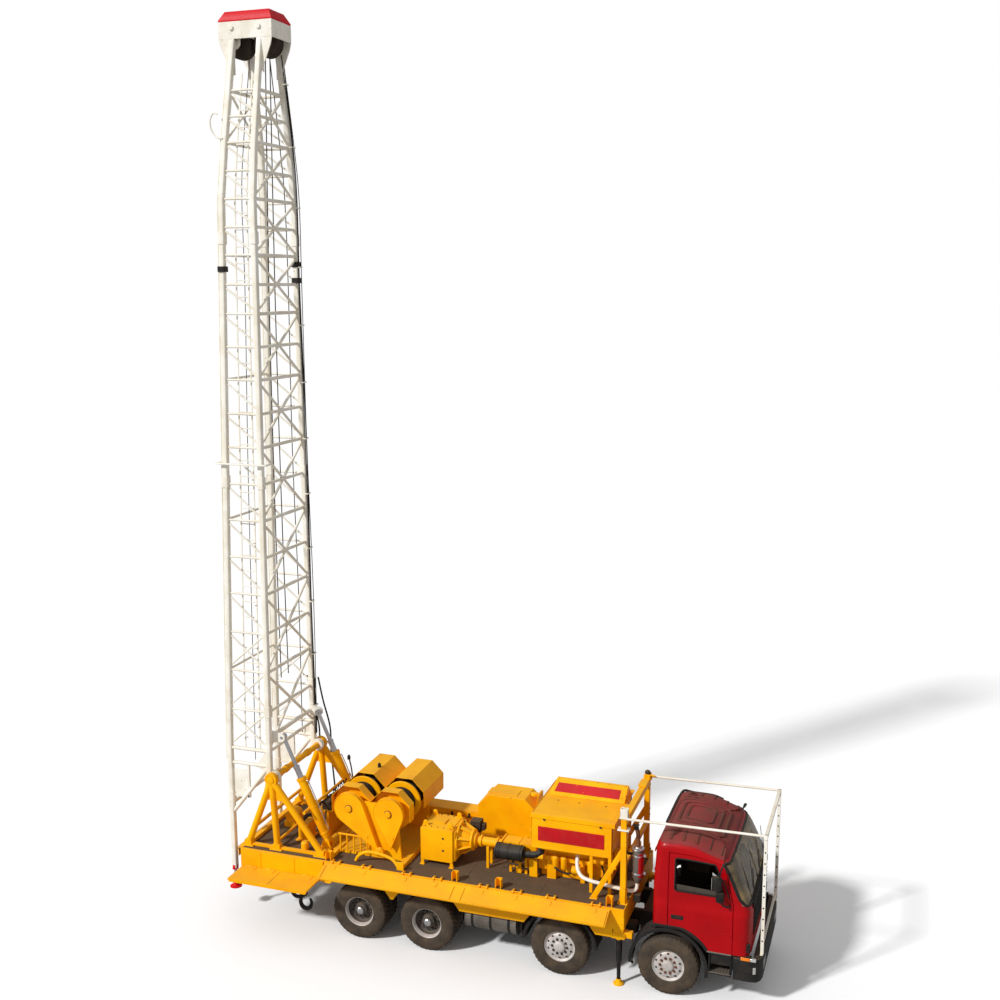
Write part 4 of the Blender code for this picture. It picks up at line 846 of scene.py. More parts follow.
# ------------------------------------------------------------------------------ wheels
@dataclass
class Wheel:
    """One wheel position: a tyre or a twin pair on its rim, with hub and nuts."""

    axle: int
    side_name: str
    side: int
    x: float
    twin: bool
    radius: float = 0.54
    width: float = 0.30
    outer: float = 1.22
    gap: float = 0.04
    bead: float = 0.285
    around: int = 160
    nuts: int = 10

    @property
    def name(self) -> str:
        """Name of the wheel's place."""
        return f"axle_{self.axle}_{self.side_name}"

    @property
    def hub(self) -> np.ndarray:
        """Centre of the outer sidewall's plane, right-hand version."""
        return np.array((self.x, -self.outer, self.radius))

    def tyre(self, shift: float) -> Skin:
        """One tyre: a closed section turned about the axle, lowered where the tread is cut.

        The radius at (angle k, section point j) is r[j] - depth * cut(k, j), where cut is 1 in a
        shoulder slot or a cross groove and 0 elsewhere; long grooves are part of the section.

        Args:
            shift: how far inward of the outer sidewall it stands.

        Returns:
            The tyre.
        """
        w, r = self.width, self.radius
        wall = np.array([(0.030, self.bead), (0.014, self.bead + 0.010), (0.006, 0.335),
                         (0.001, 0.370), (0.000, 0.400), (0.0035, 0.404), (0.001, 0.430),
                         (0.006, 0.460), (0.014, 0.490), (0.026, 0.515), (0.034, 0.528)])
        lands = np.array([0.044, 0.060, 0.086, 0.091, 0.101, 0.106, 0.138, 0.143, 0.157])
        grooved = np.array([0, 0, 0, 1, 1, 0, 0, 1, 1])
        lands = np.concatenate((lands, w - lands[6::-1]))
        grooved = np.concatenate((grooved, grooved[6::-1]))
        crown = r - 0.010 * ((lands - w / 2) / (w / 2)) ** 2 - 0.012 * grooved
        section = np.concatenate((wall, np.stack((lands, crown), -1),
                                  np.stack((w - wall[::-1, 0], wall[::-1, 1]), -1)))
        k = np.arange(self.around)[:, None]
        j = np.arange(len(section))[None]
        edge = (j >= len(wall) - 1) & (j <= len(wall) + 1)
        edge |= (j >= len(section) - len(wall) - 2) & (j <= len(section) - len(wall))
        cut = edge & (k % 4 < 2)
        if self.twin:
            tread = (j > len(wall)) & (j < len(section) - len(wall) - 1)
            cut |= tread & ((k + j // 3) % 4 == 0)
        radius = section[None, :, 1] - np.where(cut, 0.012, 0.0)
        angle = k * 2 * np.pi / self.around
        y = np.broadcast_to(section[None, :, 0] + shift, radius.shape)
        points = np.stack((radius * np.sin(angle), y, -radius * np.cos(angle)), -1)
        return grid(points + self.hub, wrap_rows=True, wrap_cols=True)

    def build(self, shop: Workshop) -> None:
        """Makes the tyres, rim, nuts and hub of this wheel.

        Args:
            shop: where pieces are made.
        """
        body = f"wheel_{self.name}"
        turn = (lambda s: [x.mirrored() for x in s]) if self.side > 0 else list
        shifts = (0.0, self.width + self.gap) if self.twin else (0.0,)
        shop.piece(f"tyre_tread_{self.name}", body, turn([self.tyre(s) for s in shifts]),
                   Finish.RUBBER, smooth=28, replaces=[f"tyre_{self.name}"])
        hub, b = self.hub, self.bead
        reach = shifts[-1] + self.width - 0.028
        if self.twin:
            rim = [(0.022, b + 0.016), (0.028, b + 0.018), (0.034, b - 0.004), (0.052, b - 0.012),
                   (0.090, b - 0.030), (0.150, b - 0.038), (0.168, b - 0.052), (0.176, 0.200),
                   (0.170, 0.150), (0.172, 0.128), (0.110, 0.118), (0.098, 0.108), (0.094, 0.088),
                   (0.070, 0.080), (0.058, 0.060), (0.054, 0.0)]
            ring, seat, finish = 0.168, 0.172, Finish.DISH
        else:
            rim = [(0.022, b + 0.016), (0.028, b + 0.018), (0.036, b - 0.006), (0.052, b - 0.020),
                   (0.066, b - 0.034), (0.064, 0.238), (0.050, 0.222), (0.040, 0.196),
                   (0.036, 0.170), (0.036, 0.112), (0.024, 0.104), (0.006, 0.096), (-0.004, 0.080),
                   (-0.008, 0.050), (-0.008, 0.0)]
            ring, seat, finish = 0.138, 0.036, Finish.RIM
        rim = [(reach, 0.0), (reach, 0.12), (reach - 0.03, b - 0.05), (reach, b)] + [
            (s, r) for s, r in rim[:2]] + rim[2:]
        shop.piece(f"rim_disc_{self.name}", body, turn([lathe(rim, hub, ACROSS, 64)]), finish,
                   smooth=30, replaces=[f"rim_{self.name}"])
        spots = circle(self.nuts, ring)
        nuts = np.stack((spots[:, 0], np.full(self.nuts, seat), spots[:, 1]), -1) + hub
        shop.piece(f"nuts_{self.name}", body, turn([bolts(nuts, (0, -1, 0), 0.016, 0.028)]),
                   Finish.RUST if self.axle == 1 else Finish.IRON)
        # The rim has no openings: dark trim ovals stand where its hand holes are, painted shade for the
        # dark holes.
        holes = circle(self.nuts, 0.212 if not self.twin else 0.205, np.pi / self.nuts)
        depth = 0.178 if self.twin else 0.048
        oval = circle(14) * (0.024, 0.017)
        starts = np.stack((holes[:, 0], np.full(self.nuts, depth - 0.006), holes[:, 1]), -1) + hub
        shop.piece(f"hand_hole_shade_{self.name}", body,
                   turn([struts(starts, starts + (0, 0.02, 0), oval)]), Finish.TRIM)
        if self.twin:
            cap = [(0.062, 0.070), (0.052, 0.068), (0.036, 0.052), (0.030, 0.030), (0.029, 0.0)]
            shop.piece(f"hub_cap_{self.name}", body, turn([lathe([(0.10, 0.07)] + cap, hub)]),
                       Finish.STEEL)
            lip = [(0.019, b + 0.014), (0.031, b - 0.007), (0.050, b - 0.015), (0.089, b - 0.033),
                   (0.100, b - 0.029), (0.052, b - 0.009), (0.036, b), (0.026, b + 0.016)]
            shop.piece(f"rim_lip_{self.name}", body, turn([lathe(lip, hub, ACROSS, 64, True)]),
                       Finish.RIM, smooth=30)


# ------------------------------------------------------------------------------ mast
@dataclass
class Mast:
    """Lattice mast: two front legs, two rear legs, bracing, ladder, lines, jacks and pivot ears."""

    front_x: float = -7.84
    stations: np.ndarray = field(default_factory=lambda: np.array(
        ((3.35, 0.900, 0.85), (13.69, 0.755, 0.64), (14.68, 0.640, 0.60), (16.50, 0.310, 0.55))))
    nodes: np.ndarray = field(default_factory=lambda: np.array(
        (3.35, 4.91, 6.42, 7.83, 9.20, 10.45, 11.65, 12.70, 13.69, 14.68, 15.60)))
    leg: float = 0.105
    pivot: Tuple[float, float] = (-7.74, 2.85)
    foot_z: float = 0.85
    pad_z: float = 0.45

    def at(self, side: int, z: object, back: float = 0.0, inset: float = 0.0) -> np.ndarray:
        """Points on a leg's centre line: x = front - back * depth(z), y = side * half width(z).

        Args:
            side: -1 right, 1 left.
            z: one height or an array.
            back: 0 on the front leg, 1 on the rear leg, or between.
            inset: how far in from the leg along y.

        Returns:
            (n, 3) points.
        """
        z = np.atleast_1d(np.asarray(z, float))
        half = np.interp(z, self.stations[:, 0], self.stations[:, 1])
        deep = np.interp(z, self.stations[:, 0], self.stations[:, 2])
        return np.stack((self.front_x - back * deep, side * (half - inset), z), -1)

    def build(self, shop: Workshop) -> None:
        """Makes all the mast's pieces.

        Args:
            shop: where pieces are made.
        """
        self.build_legs(shop)
        self.build_braces(shop)
        self.build_ladder(shop)
        self.build_base(shop)
        self.build_lines(shop)

    def build_legs(self, shop: Workshop) -> None:
        """Four rounded square legs: a rounded outline carried up through the stations.

        Args:
            shop: where pieces are made.
        """
        outline = rounded(self.leg, self.leg, 0.022)
        top = 16.48
        front = np.array([self.pivot[1] - 0.02, 3.35, 13.69, 14.68, top])
        rear = np.array([self.foot_z, 3.35, 13.69, 14.68, top])
        legs = []
        for side in (-1, 1):
            legs += [sweep(outline, self.at(side, front), ACROSS),
                     sweep(outline, self.at(side, rear, 1.0), ACROSS)]
        shop.piece("mast_legs", "mast", legs, Finish.WHITE, smooth=40,
                   replaces=["mast_front", "mast_side_right", "mast_side_left"])
        sleeves = []
        for side in (-1, 1):
            for back, heights in ((0.0, (4.15, 8.55, 13.0)), (1.0, (2.35, 8.55, 13.0))):
                for z in heights:
                    sleeves.append(struts(self.at(side, z - 0.11, back), self.at(side, z + 0.11, back),
                                          rounded(self.leg + 0.024, self.leg + 0.024, 0.02)))
        shop.piece("mast_leg_sleeves", "mast", sleeves, Finish.WHITE, bevel=0.003)

    def build_braces(self, shop: Workshop) -> None:
        """Round bracing: X and level bars in front, level bars and single diagonals at the sides.

        Args:
            shop: where pieces are made.
        """
        low, high = self.nodes[:-1], self.nodes[1:]
        mid = (low + high) / 2
        flat = self.nodes
        r, l = -1, 1
        front = [rods(self.at(r, low + 0.03), self.at(l, high - 0.03), 0.027),
                 rods(self.at(l, low + 0.03), self.at(r, high - 0.03), 0.025),
                 rods(self.at(r, mid), self.at(l, mid), 0.029),
                 rods(self.at(r, flat), self.at(l, flat), 0.032)]
        shop.piece("mast_front_bracing", "mast", front, Finish.WHITE)
        gussets = []
        for side in (-1, 1):
            for z in flat[1:-1]:
                c = self.at(side, z)[0]
                w, h = -side * 0.11, 0.10
                shape = [(c[1], z - h), (c[1] + w * 0.8, z - h * 0.35), (c[1] + w, z),
                         (c[1] + w * 0.8, z + h * 0.35), (c[1], z + h)]
                gussets.append(plate(shape, (c[0] - 0.006, c[0] + 0.006), "yz"))
        shop.piece("mast_front_gussets", "mast", gussets, Finish.WHITE)
        z = np.sort(np.concatenate((self.nodes, mid)))
        for name, side in SIDES:
            bars = [rods(self.at(side, z, 1.0), self.at(side, z, 0.0), 0.022),
                    rods(self.at(side, z[:-1] + 0.05, 0.0), self.at(side, z[1:] - 0.03, 1.0), 0.018)]
            low_z = np.array((3.35, 4.13, 4.91, 5.67))
            bars.append(rods(self.at(side, low_z[:-1] + 0.05, 1.0), self.at(side, low_z[1:], 0.0),
                             0.016))
            shop.piece(f"mast_side_bracing_{name}", "mast", bars, Finish.WHITE)
        every = flat[1:-1:2]
        rear = [rods(self.at(r, every, 1.0), self.at(l, every, 1.0), 0.024),
                rods(self.at(r, flat[-1], 1.0), self.at(l, flat[-1], 1.0), 0.03),
                rods(self.at(r, 14.68, 1.0), self.at(l, 15.60, 1.0), 0.022),
                rods(self.at(l, 14.68, 1.0), self.at(r, 15.60, 1.0), 0.022)]
        shop.piece("mast_rear_bars", "mast", rear, Finish.WHITE)

    def build_ladder(self, shop: Workshop) -> None:
        """Ladder and guide rail inside the right side face, a hoop round it and small brackets.

        Args:
            shop: where pieces are made.
        """
        z = np.array((3.35, 13.69, 14.68, 15.9))
        rails, rungs = [], []
        for back in (0.28, 0.66):
            line = self.at(-1, z, back, 0.085)
            rails.append(sweep(rounded(0.03, 0.014, 0.005), line, ACROSS))
        step = np.arange(3.55, 15.8, 0.30)
        rungs.append(rods(self.at(-1, step, 0.28, 0.085), self.at(-1, step, 0.66, 0.085), 0.010, 8))
        ties = np.arange(3.8, 15.6, 1.2)
        rungs.append(rods(self.at(-1, ties, 0.28, 0.085), self.at(-1, ties, 0.28, 0.0), 0.010, 8))
        shop.piece("mast_ladder", "mast", rails + rungs, Finish.WHITE)
        c = self.at(-1, 8.9, 0.5)[0]
        hoop = np.array([(c[0] + 0.50, c[1] + 0.10), (c[0] + 0.50, c[1] - 0.02),
                         (c[0] + 0.44, c[1] - 0.11), (c[0] - 0.44, c[1] - 0.11),
                         (c[0] - 0.50, c[1] - 0.02), (c[0] - 0.50, c[1] + 0.10)])
        shape = np.column_stack((hoop, np.full(len(hoop), 8.9)))
        shop.piece("mast_hoop", "mast", [sweep(rounded(0.06, 0.03, 0.008), curve(shape, 40), UP)],
                   Finish.WHITE)
        hook = [(-0.02, 0.0), (-0.14, 0.03), (-0.24, 0.16), (-0.26, 0.32), (-0.19, 0.44),
                (-0.10, 0.42)]
        base = self.at(-1, 14.75, 1.0)[0]
        path = [(base[0] + a, base[1] - 0.06, base[2] + b) for a, b in hook]
        shop.piece("mast_hook_bracket", "mast", [tube(curve(path, 20), 0.016),
                                                  tube(curve([(p[0], -p[1] - 0, p[2]) for p in path],
                                                             20), 0.016)], Finish.WHITE)
        clamps = []
        for side, back, height in ((-1, 1.0, 12.45), (1, 0.0, 12.55), (1, 0.0, 12.25)):
            p = self.at(side, height, back)[0]
            clamps.append(struts(p - (0, 0, 0.05), p + (0, 0, 0.05), rounded(0.15, 0.15, 0.02)))
        shop.piece("mast_clamps", "mast", clamps, Finish.BLACK, bevel=0.004)

    def build_base(self, shop: Workshop) -> None:
        """Pivot ears, stays, the plate panels behind the pivot, ram lugs and red screw jacks.

        Args:
            shop: where pieces are made.
        """
        px, pz = self.pivot
        ears, stays, panels, jacks, screws = [], [], [], [], []
        for side in (-1, 1):
            y = side * 0.90
            ears.append(lathe([(-0.048, 0.062), (-0.048, 0.118), (-0.04, 0.125), (0.04, 0.125),
                               (0.046, 0.118), (0.046, 0.062)], (px, y, pz), ACROSS, 32, closed=True))
            gus = [(px - 0.02, 2.88), (px - 0.40, 3.02), (px - 0.16, 3.36), (px - 0.05, 3.40)]
            ears.append(plate(gus, (y - 0.012, y + 0.012)))
            front, rear = self.at(side, 3.05)[0], self.at(side, (2.0, 3.05), 1.0)
            stays.append(rods(rear[:1], [front - (0.02, 0, 0.02)], 0.042, 16))
            stays.append(rods(rear[1:], [front], 0.034, 16))
            stays.append(rods(self.at(side, 3.35, 1.0), self.at(side, 3.35), 0.036, 16))
            x = self.at(side, 2.6, 1.0)[0, 0]
            panels.append(blocks(((x + 0.05, x + 0.40), (y - 0.008, y + 0.008), (2.42, 2.92)),
                                 ((x + 0.05, x + 0.40), (y - 0.025, y + 0.025), (2.36, 2.42)),
                                 ((x + 0.36, x + 0.41), (y - 0.025, y + 0.025), (2.36, 3.02))))
            panels.append(bolts([(x + 0.30, y + side * 0.008, 2.52)], (0, side, 0)))
            inner = side * 0.776
            lug = [(self.front_x, 3.50), (self.front_x, 3.74), (-7.60, 3.70), (-7.555, 3.66),
                   (-7.555, 3.58), (-7.60, 3.54)]
            stays.append(plate(lug, sorted((inner, inner + side * 0.028))))
            foot = self.at(side, self.foot_z, 1.0)[0]
            fx, fy = foot[0], foot[1]
            screws.append(lathe([(self.pad_z + 0.03, 0.0)] + [
                (self.pad_z + 0.03 + 0.008 * k, 0.026 + 0.004 * (k % 2)) for k in range(48)]
                + [(self.foot_z + 0.02, 0.0)], (fx, fy, 0), UP, 16))
            jacks.append(lathe([(0.0, 0.0), (0.0, 0.118), (0.012, 0.118), (0.03, 0.075),
                                (0.085, 0.045), (0.085, 0.0)], (fx, fy, self.pad_z), UP, 28))
            jacks.append(lathe([(-0.03, 0.06), (0.06, 0.06), (0.06, 0.035), (-0.03, 0.035)],
                               (fx, fy, self.foot_z), UP, 24, closed=True))
        cross = [rods(self.at(-1, 3.62), self.at(1, 3.62), 0.042, 16),
                 rods(self.at(-1, 2.2, 1.0), self.at(1, 2.2, 1.0), 0.036, 16),
                 rods(self.at(-1, 1.2, 1.0), self.at(1, 1.2, 1.0), 0.030, 16)]
        shop.piece("mast_ears", "mast", ears, Finish.WHITE, bevel=0.003)
        shop.piece("mast_stays", "mast", stays + cross, Finish.WHITE)
        shop.piece("mast_foot_panels", "mast", panels, Finish.WHITE, bevel=0.003)
        shop.piece("mast_jack_screws", "mast", screws, Finish.STEEL)
        shop.piece("mast_jack_pads", "mast", jacks, Finish.PAD_RED)

    def build_lines(self, shop: Workshop) -> None:
        """Wire lines and pipes clamped along the legs, from the crown to the mast's foot.

        Args:
            shop: where pieces are made.
        """
        lines, pipes = [], []
        z = np.array((3.1, 6.0, 9.0, 12.0, 13.69, 14.68, 16.30))
        for k, (side, back, dx, dy, radius) in enumerate((
                (1, 0.0, 0.075, 0.00, 0.011), (1, 0.0, 0.085, -0.05, 0.009),
                (1, 0.0, 0.070, 0.06, 0.008), (1, 0.25, 0.0, -0.06, 0.009),
                (-1, 0.45, 0.0, 0.12, 0.007))):
            way = 0.012 * np.sin(z * 0.9 + k)
            line = self.at(side, z, back) + np.stack((dx + way, dy + way * 0.6, 0 * z), -1)
            lines.append(tube(curve(line, 40), radius, 8, ACROSS))
        for side, back in ((1, 1.0), (-1, 1.0)):
            line = self.at(side, z, back) - np.array((0.085, 0, 0))
            pipes.append(tube(line, 0.016, 10, ACROSS))
        shop.piece("mast_wire_lines", "mast", lines, Finish.ROPE)
        shop.piece("mast_rear_pipes", "mast", pipes, Finish.WHITE)
        fast = []
        for y in (-0.10, 0.06):
            path = [(-7.86, y, 16.28), (-7.93, y * 1.4, 12.0), (-7.95, y * 1.6, 8.0),
                    (-7.93, y * 1.8, 4.6)]
            fast.append(tube(curve(path, 30), 0.010, 8, ACROSS))
        shop.piece("mast_drill_lines", "mast", fast, Finish.ROPE)
        ties = []
        for height in np.arange(3.7, 16.0, 1.1):
            p = self.at(1, height)[0]
            ties.append(blocks(((p[0] + 0.045, p[0] + 0.10), (p[1] - 0.065, p[1] + 0.075),
                                (height - 0.012, height + 0.012))))
        shop.piece("mast_line_clips", "mast", ties, Finish.WHITE)


# ------------------------------------------------------------------------------ crown
@dataclass
class Crown:
    """Crown block: a white band with corner gussets, a sloped red cap, shafts and sheaves."""

    x: float = -8.115
    length: float = 1.08
    width: float = 0.72
    band: Tuple[float, float] = (16.50, 16.80)
    cap: float = 0.19
    inset: float = 0.09
    shaft_z: float = 16.45
    spacing: float = 0.55
    sheave: float = 0.25

    def build(self, shop: Workshop) -> None:
        """Makes the band, cap, gussets, cheeks, bosses and both sheave sets.

        Args:
            shop: where pieces are made.
        """
        low, high = self.band
        hx, hy = self.length / 2, self.width / 2
        ring = np.array([(-hx, -hy), (hx, -hy), (hx, hy), (-hx, hy)])
        wall = []
        for shape, levels in ((ring, (low, high)), (ring * 0.94, (high, low))):
            wall.append([np.column_stack((shape, np.full(4, z))) + (self.x, 0, 0) for z in levels])
        loop = np.array(wall[0] + wall[1])
        band = grid(loop, wrap_rows=True, wrap_cols=True)
        shop.piece("crown_band", "mast", [band, blocks(
            ((self.x - hx + 0.02, self.x + hx - 0.02), (-hy + 0.02, hy - 0.02), (high - 0.03, high)),
            ((self.x - 0.03, self.x + 0.03), (-hy + 0.02, hy - 0.02), (low + 0.04, high - 0.02)))],
            Finish.WHITE, bevel=0.006, replaces=["crown_block"])
        t = self.inset
        cap = np.array([[(x * 1.0, y, high) for x, y in ring],
                        [(x, y, high + 0.03) for x, y in ring],
                        [(x - np.sign(x) * t, y - np.sign(y) * t, high + self.cap) for x, y in ring]])
        shop.piece("crown_cap", "mast", [grid(cap + (self.x, 0, 0), wrap_cols=True, caps=True)],
                   Finish.CAP, bevel=0.008)
        plates, cheeks, bosses = [], [], []
        for side in (-1, 1):
            y = side * (hy - 0.012)
            level = sorted((y - 0.01, y + 0.01))
            for way in (-1, 1):
                corner, leg = self.x + way * hx, self.x + way * 0.275
                shape = [(corner, low + 0.01), (leg - way * 0.05, low + 0.01),
                         (leg - way * 0.05, low - 0.62), (leg + way * 0.02, low - 0.62),
                         (corner - way * 0.03, low - 0.12)]
                plates.append(plate(shape, level))
                near = side * 0.31
                front = [(near - side * 0.03, low + 0.01), (side * hy, low + 0.01),
                         (side * (hy - 0.02), low - 0.10), (near + side * 0.07, low - 0.55),
                         (near, low - 0.60)]
                x = self.x + way * (0.275 + 0.062)
                plates.append(plate(front, (x - 0.008, x + 0.008), "yz"))
            for way in (-1, 1):
                c = self.x + way * self.spacing / 2
                cheeks.append(plate(arc((c, self.shaft_z), 0.11, 180, 360, 14).tolist()
                                    + [(c + 0.11, low + 0.03), (c - 0.11, low + 0.03)],
                                    sorted((side * 0.232, side * 0.255))))
                bosses.append(lathe([(0.0, 0.07), (0.02, 0.07), (0.028, 0.062), (0.028, 0.046),
                                     (0.055, 0.046), (0.062, 0.038), (0.062, 0.0)],
                                    (c, side * (hy - 0.032), high - 0.11), (0, side, 0), 28))
        shop.piece("crown_gussets", "mast", plates, Finish.WHITE, bevel=0.003)
        shop.piece("crown_cheeks", "mast", cheeks, Finish.WHITE, bevel=0.003)
        shop.piece("crown_bosses", "mast", bosses, Finish.WHITE)
        for name, way in (("front", 1), ("rear", -1)):
            c = (self.x + way * self.spacing / 2, 0.0, self.shaft_z)
            profile = []
            for k in range(3):
                y, r = -0.105 + 0.07 * k, self.sheave
                profile += [(y, r - 0.006), (y + 0.006, r), (y + 0.012, r), (y + 0.026, r - 0.035),
                            (y + 0.044, r - 0.035), (y + 0.058, r), (y + 0.064, r), (y + 0.07, r - 0.006)]
            profile = [(-0.105, 0.06), (-0.105, r - 0.05)] + profile + [(0.105, r - 0.05), (0.105, 0.06)]
            shop.piece(f"sheave_set_{name}", f"sheaves_{name}",
                       [lathe(profile, c, ACROSS, 48, closed=True),
                        lathe([(-0.255, 0.034), (0.255, 0.034)], c, ACROSS, 20),
                        lathe([(-0.16, 0.055), (0.16, 0.055)], c, ACROSS, 20)],
                       Finish.IRON, replaces=[f"sheaves_{name}"])


# ------------------------------------------------------------------------------ deck
@dataclass
class Deck:
    """Deck edges, fascias with fenders, walkways, side panels, hinges, stakes and hangers."""

    top: float = 1.45
    half: float = 1.22
    deck_x: Tuple[float, float] = (-8.40, -0.79)
    gussets: Tuple[float, ...] = (-6.40, -5.05, -3.80, -2.45, -1.15)
    fascia: float = 1.25
    rear_bay: Tuple[float, float] = (-8.32, -6.60)
    front_bay: Tuple[float, float] = (-6.55, -1.02)
    hinge: Tuple[float, float] = (1.2356, 1.425)
    panel: float = 0.38
    slope: float = 22.0
    walk_hinge: Tuple[float, float] = (1.275, 1.115)
    walk: float = 0.57
    hinges: Tuple[float, ...] = (-6.32, -5.70, -4.88, -4.27, -3.38, -2.74, -2.11, -1.29)
    stakes: Tuple[float, ...] = (-6.50, -3.95, -3.11, -1.06)
    wheels: Tuple[float, ...] = (-5.87, -4.50, -1.95)

    def on_panel(self, out: float, lift: float) -> Tuple[float, float]:
        """(|y|, z) of a point on a side panel: out along its slope, lift off its face."""
        c, s = math.cos(math.radians(self.slope)), math.sin(math.radians(self.slope))
        return self.hinge[0] + out * c + lift * s, self.hinge[1] - out * s + lift * c

    def build(self, shop: Workshop) -> None:
        """Makes all the deck's pieces.

        Args:
            shop: where pieces are made.
        """
        self.build_edges(shop)
        self.build_fenders(shop)
        self.build_flaps(shop)
        self.build_hinges(shop)
        self.build_hangers(shop)

    def build_edges(self, shop: Workshop) -> None:
        """Deck plate on its sills and cross-members, yellow fascias, edge strips and seams.

        Args:
            shop: where pieces are made.
        """
        t, h, (a, b), d = self.top, self.half, self.rear_bay, self.front_bay[1]
        end = self.deck_x[1]
        plates_ = [blocks((self.deck_x, (-h + 0.006, h - 0.006), (t - 0.048, t)))]
        shop.piece("deck_plate", "truck", plates_, Finish.DECK, replaces=["deck"])
        under = [blocks(*[((x - 0.04, x + 0.04), (-h + 0.02, h - 0.02), (t - 0.17, t - 0.047))
                          for x in (-8.33, -7.5, -6.59, -5.2, -3.85, -2.35, end - 0.08)])]
        under += both([blocks(((self.deck_x[0] + 0.12, end - 0.02), (-0.426, -0.354),
                               (1.081, t - 0.047)))])
        shop.piece("deck_sills", "truck", under, Finish.UNDER, bevel=0.003)
        sheets = [blocks(((a - 0.02, b + 0.02), (-h - 0.034, -h), (1.065, t + 0.004)),
                         ((b + 0.02, d), (-h - 0.002, -h + 0.03), (1.10, t - 0.046)),
                         ((b + 0.02, end), (-h - 0.003, -h + 0.006), (t - 0.05, t + 0.004)),
                         ((a - 0.02, end), (-h - 0.003, -h + 0.035), (t, t + 0.005)),
                         ((a, b), (-h - 0.08, -h - 0.03), (1.075, 1.095)),
                         ((d, end), (-h - 0.003, -h + 0.03), (1.075, t - 0.046)))]
        for x in self.gussets:
            y, z = self.on_panel(self.panel - 0.06, -0.022)
            low = [(-h, 1.13), (-h, t - 0.06), (-self.on_panel(0.02, -0.02)[0],
                                               self.on_panel(0.02, -0.02)[1]), (-y, z),
                   (-y, z - 0.03)]
            sheets.append(plate(low, (x - 0.01, x + 0.01), "yz"))
        ends = blocks(((self.deck_x[0] - 0.012, self.deck_x[0]), (-h, h), (1.28, t + 0.004)),
                      ((self.deck_x[0] - 0.005, self.deck_x[0] + 0.07), (-h, h), (t, t + 0.006)),
                      ((end, end + 0.012), (-h, h), (1.08, t + 0.004)))
        shop.piece("deck_edges", "truck", both(sheets) + [ends], Finish.YELLOW, bevel=0.002)
        ribs = [blocks(*[((x - 0.02, x + 0.02), (h + 0.033, h + 0.042),
                          (1.10, t - 0.01)) for x in (-7.92, -7.2)])]
        seams = [blocks(*[((x, x + 0.006), (-h + 0.11, h - 0.11),
                           (t + 0.0005, t + 0.003)) for x in (-6.58, -5.0, -3.8, -2.35)])]
        shop.piece("deck_seams", "truck", seams, Finish.UNDER)
        shop.piece("fascia_ribs", "truck", both(ribs), Finish.YELLOW, bevel=0.002)

    def build_fenders(self, shop: Workshop) -> None:
        """Aprons under the side panels, cut round the wheels into trapezoids.

        Args:
            shop: where pieces are made.
        """
        low, arch = 0.915, 1.125
        edge: List[Tuple[float, float]] = [(-6.60, 1.12)]
        for x in self.wheels:
            edge += [(x - 0.66, low), (x - 0.50, arch), (x + 0.50, arch), (x + 0.66, low)]
        edge = [p for k, p in enumerate(edge) if k != 1]
        edge[0:1] = [(-6.60, 1.02), (-6.45, 1.02)]
        edge += [(-0.98, low)]
        tidy = sorted(edge)
        skins = []
        upper = [(tidy[-1][0], 1.385), (tidy[0][0], 1.385)]
        skins.append(plate(tidy + upper, (-self.half - 0.006, -self.half + 0.004)))
        lips = []
        for (x0, z0), (x1, z1) in zip(tidy, tidy[1:]):
            if x1 - x0 > 0.02:
                lips.append(struts([(x0, -self.half + 0.030, z0 + 0.006)],
                                   [(x1, -self.half + 0.030, z1 + 0.006)], rounded(0.07, 0.008, 0.003)))
        shop.piece("side_aprons", "truck", both(skins + lips), Finish.YELLOW, bevel=0.002)
        flaps = []
        for x, w in ((-3.80, 0.012), (-2.66, 0.012)):
            flaps.append(blocks(((x, x + w), (-self.half + 0.01, -0.62), (0.70, 1.12))))
        shop.piece("mud_flaps", "truck", both(flaps), Finish.TRIM, bevel=0.004)

    def build_flaps(self, shop: Workshop) -> None:
        """Pressed ribs on the side panels and walkways; each pair rides on its flap.

        Args:
            shop: where pieces are made.
        """
        for name, side in SIDES:
            body = f"side_panel_{name}"
            out = (0.055, self.panel - 0.012)
            bars = []
            for x in (-6.50, -3.92, -3.72, -1.07):
                a, b = self.on_panel(out[0], 0.020), self.on_panel(out[1], 0.020)
                bars.append(struts([(x, side * a[0], a[1])], [(x, side * b[0], b[1])],
                                   rounded(0.035, 0.014, 0.004)))
            for reach in (self.panel - 0.012,):
                c = self.on_panel(reach, 0.012)
                bars.append(struts([(-6.52, side * c[0], c[1])], [(-1.05, side * c[0], c[1])],
                                   rounded(0.030, 0.018, 0.004)))
            shop.piece(f"panel_ribs_{name}", body, bars, Finish.YELLOW, bevel=0.002)
            y0, z = self.walk_hinge
            spans = [((x - 0.02, x + 0.02), (side * (y0 + 0.05), side * (y0 + self.walk - 0.01)),
                      (z - 0.045, z - 0.014)) for x in (-8.2, -7.46, -6.72)]
            spans += [((-8.27, -6.65), (side * (y0 + self.walk - 0.035),
                                        side * (y0 + self.walk - 0.006)), (z - 0.05, z - 0.013))]
            shop.piece(f"walkway_frame_{name}", f"walkway_{name}", [blocks(*spans)],
                       Finish.YELLOW, bevel=0.002)
            seam = blocks(((-7.463, -7.457), (side * (y0 + 0.03), side * (y0 + self.walk - 0.02)),
                           (z + 0.0135, z + 0.0165)))
            shop.piece(f"walkway_seam_{name}", f"walkway_{name}", [seam], Finish.RUST)

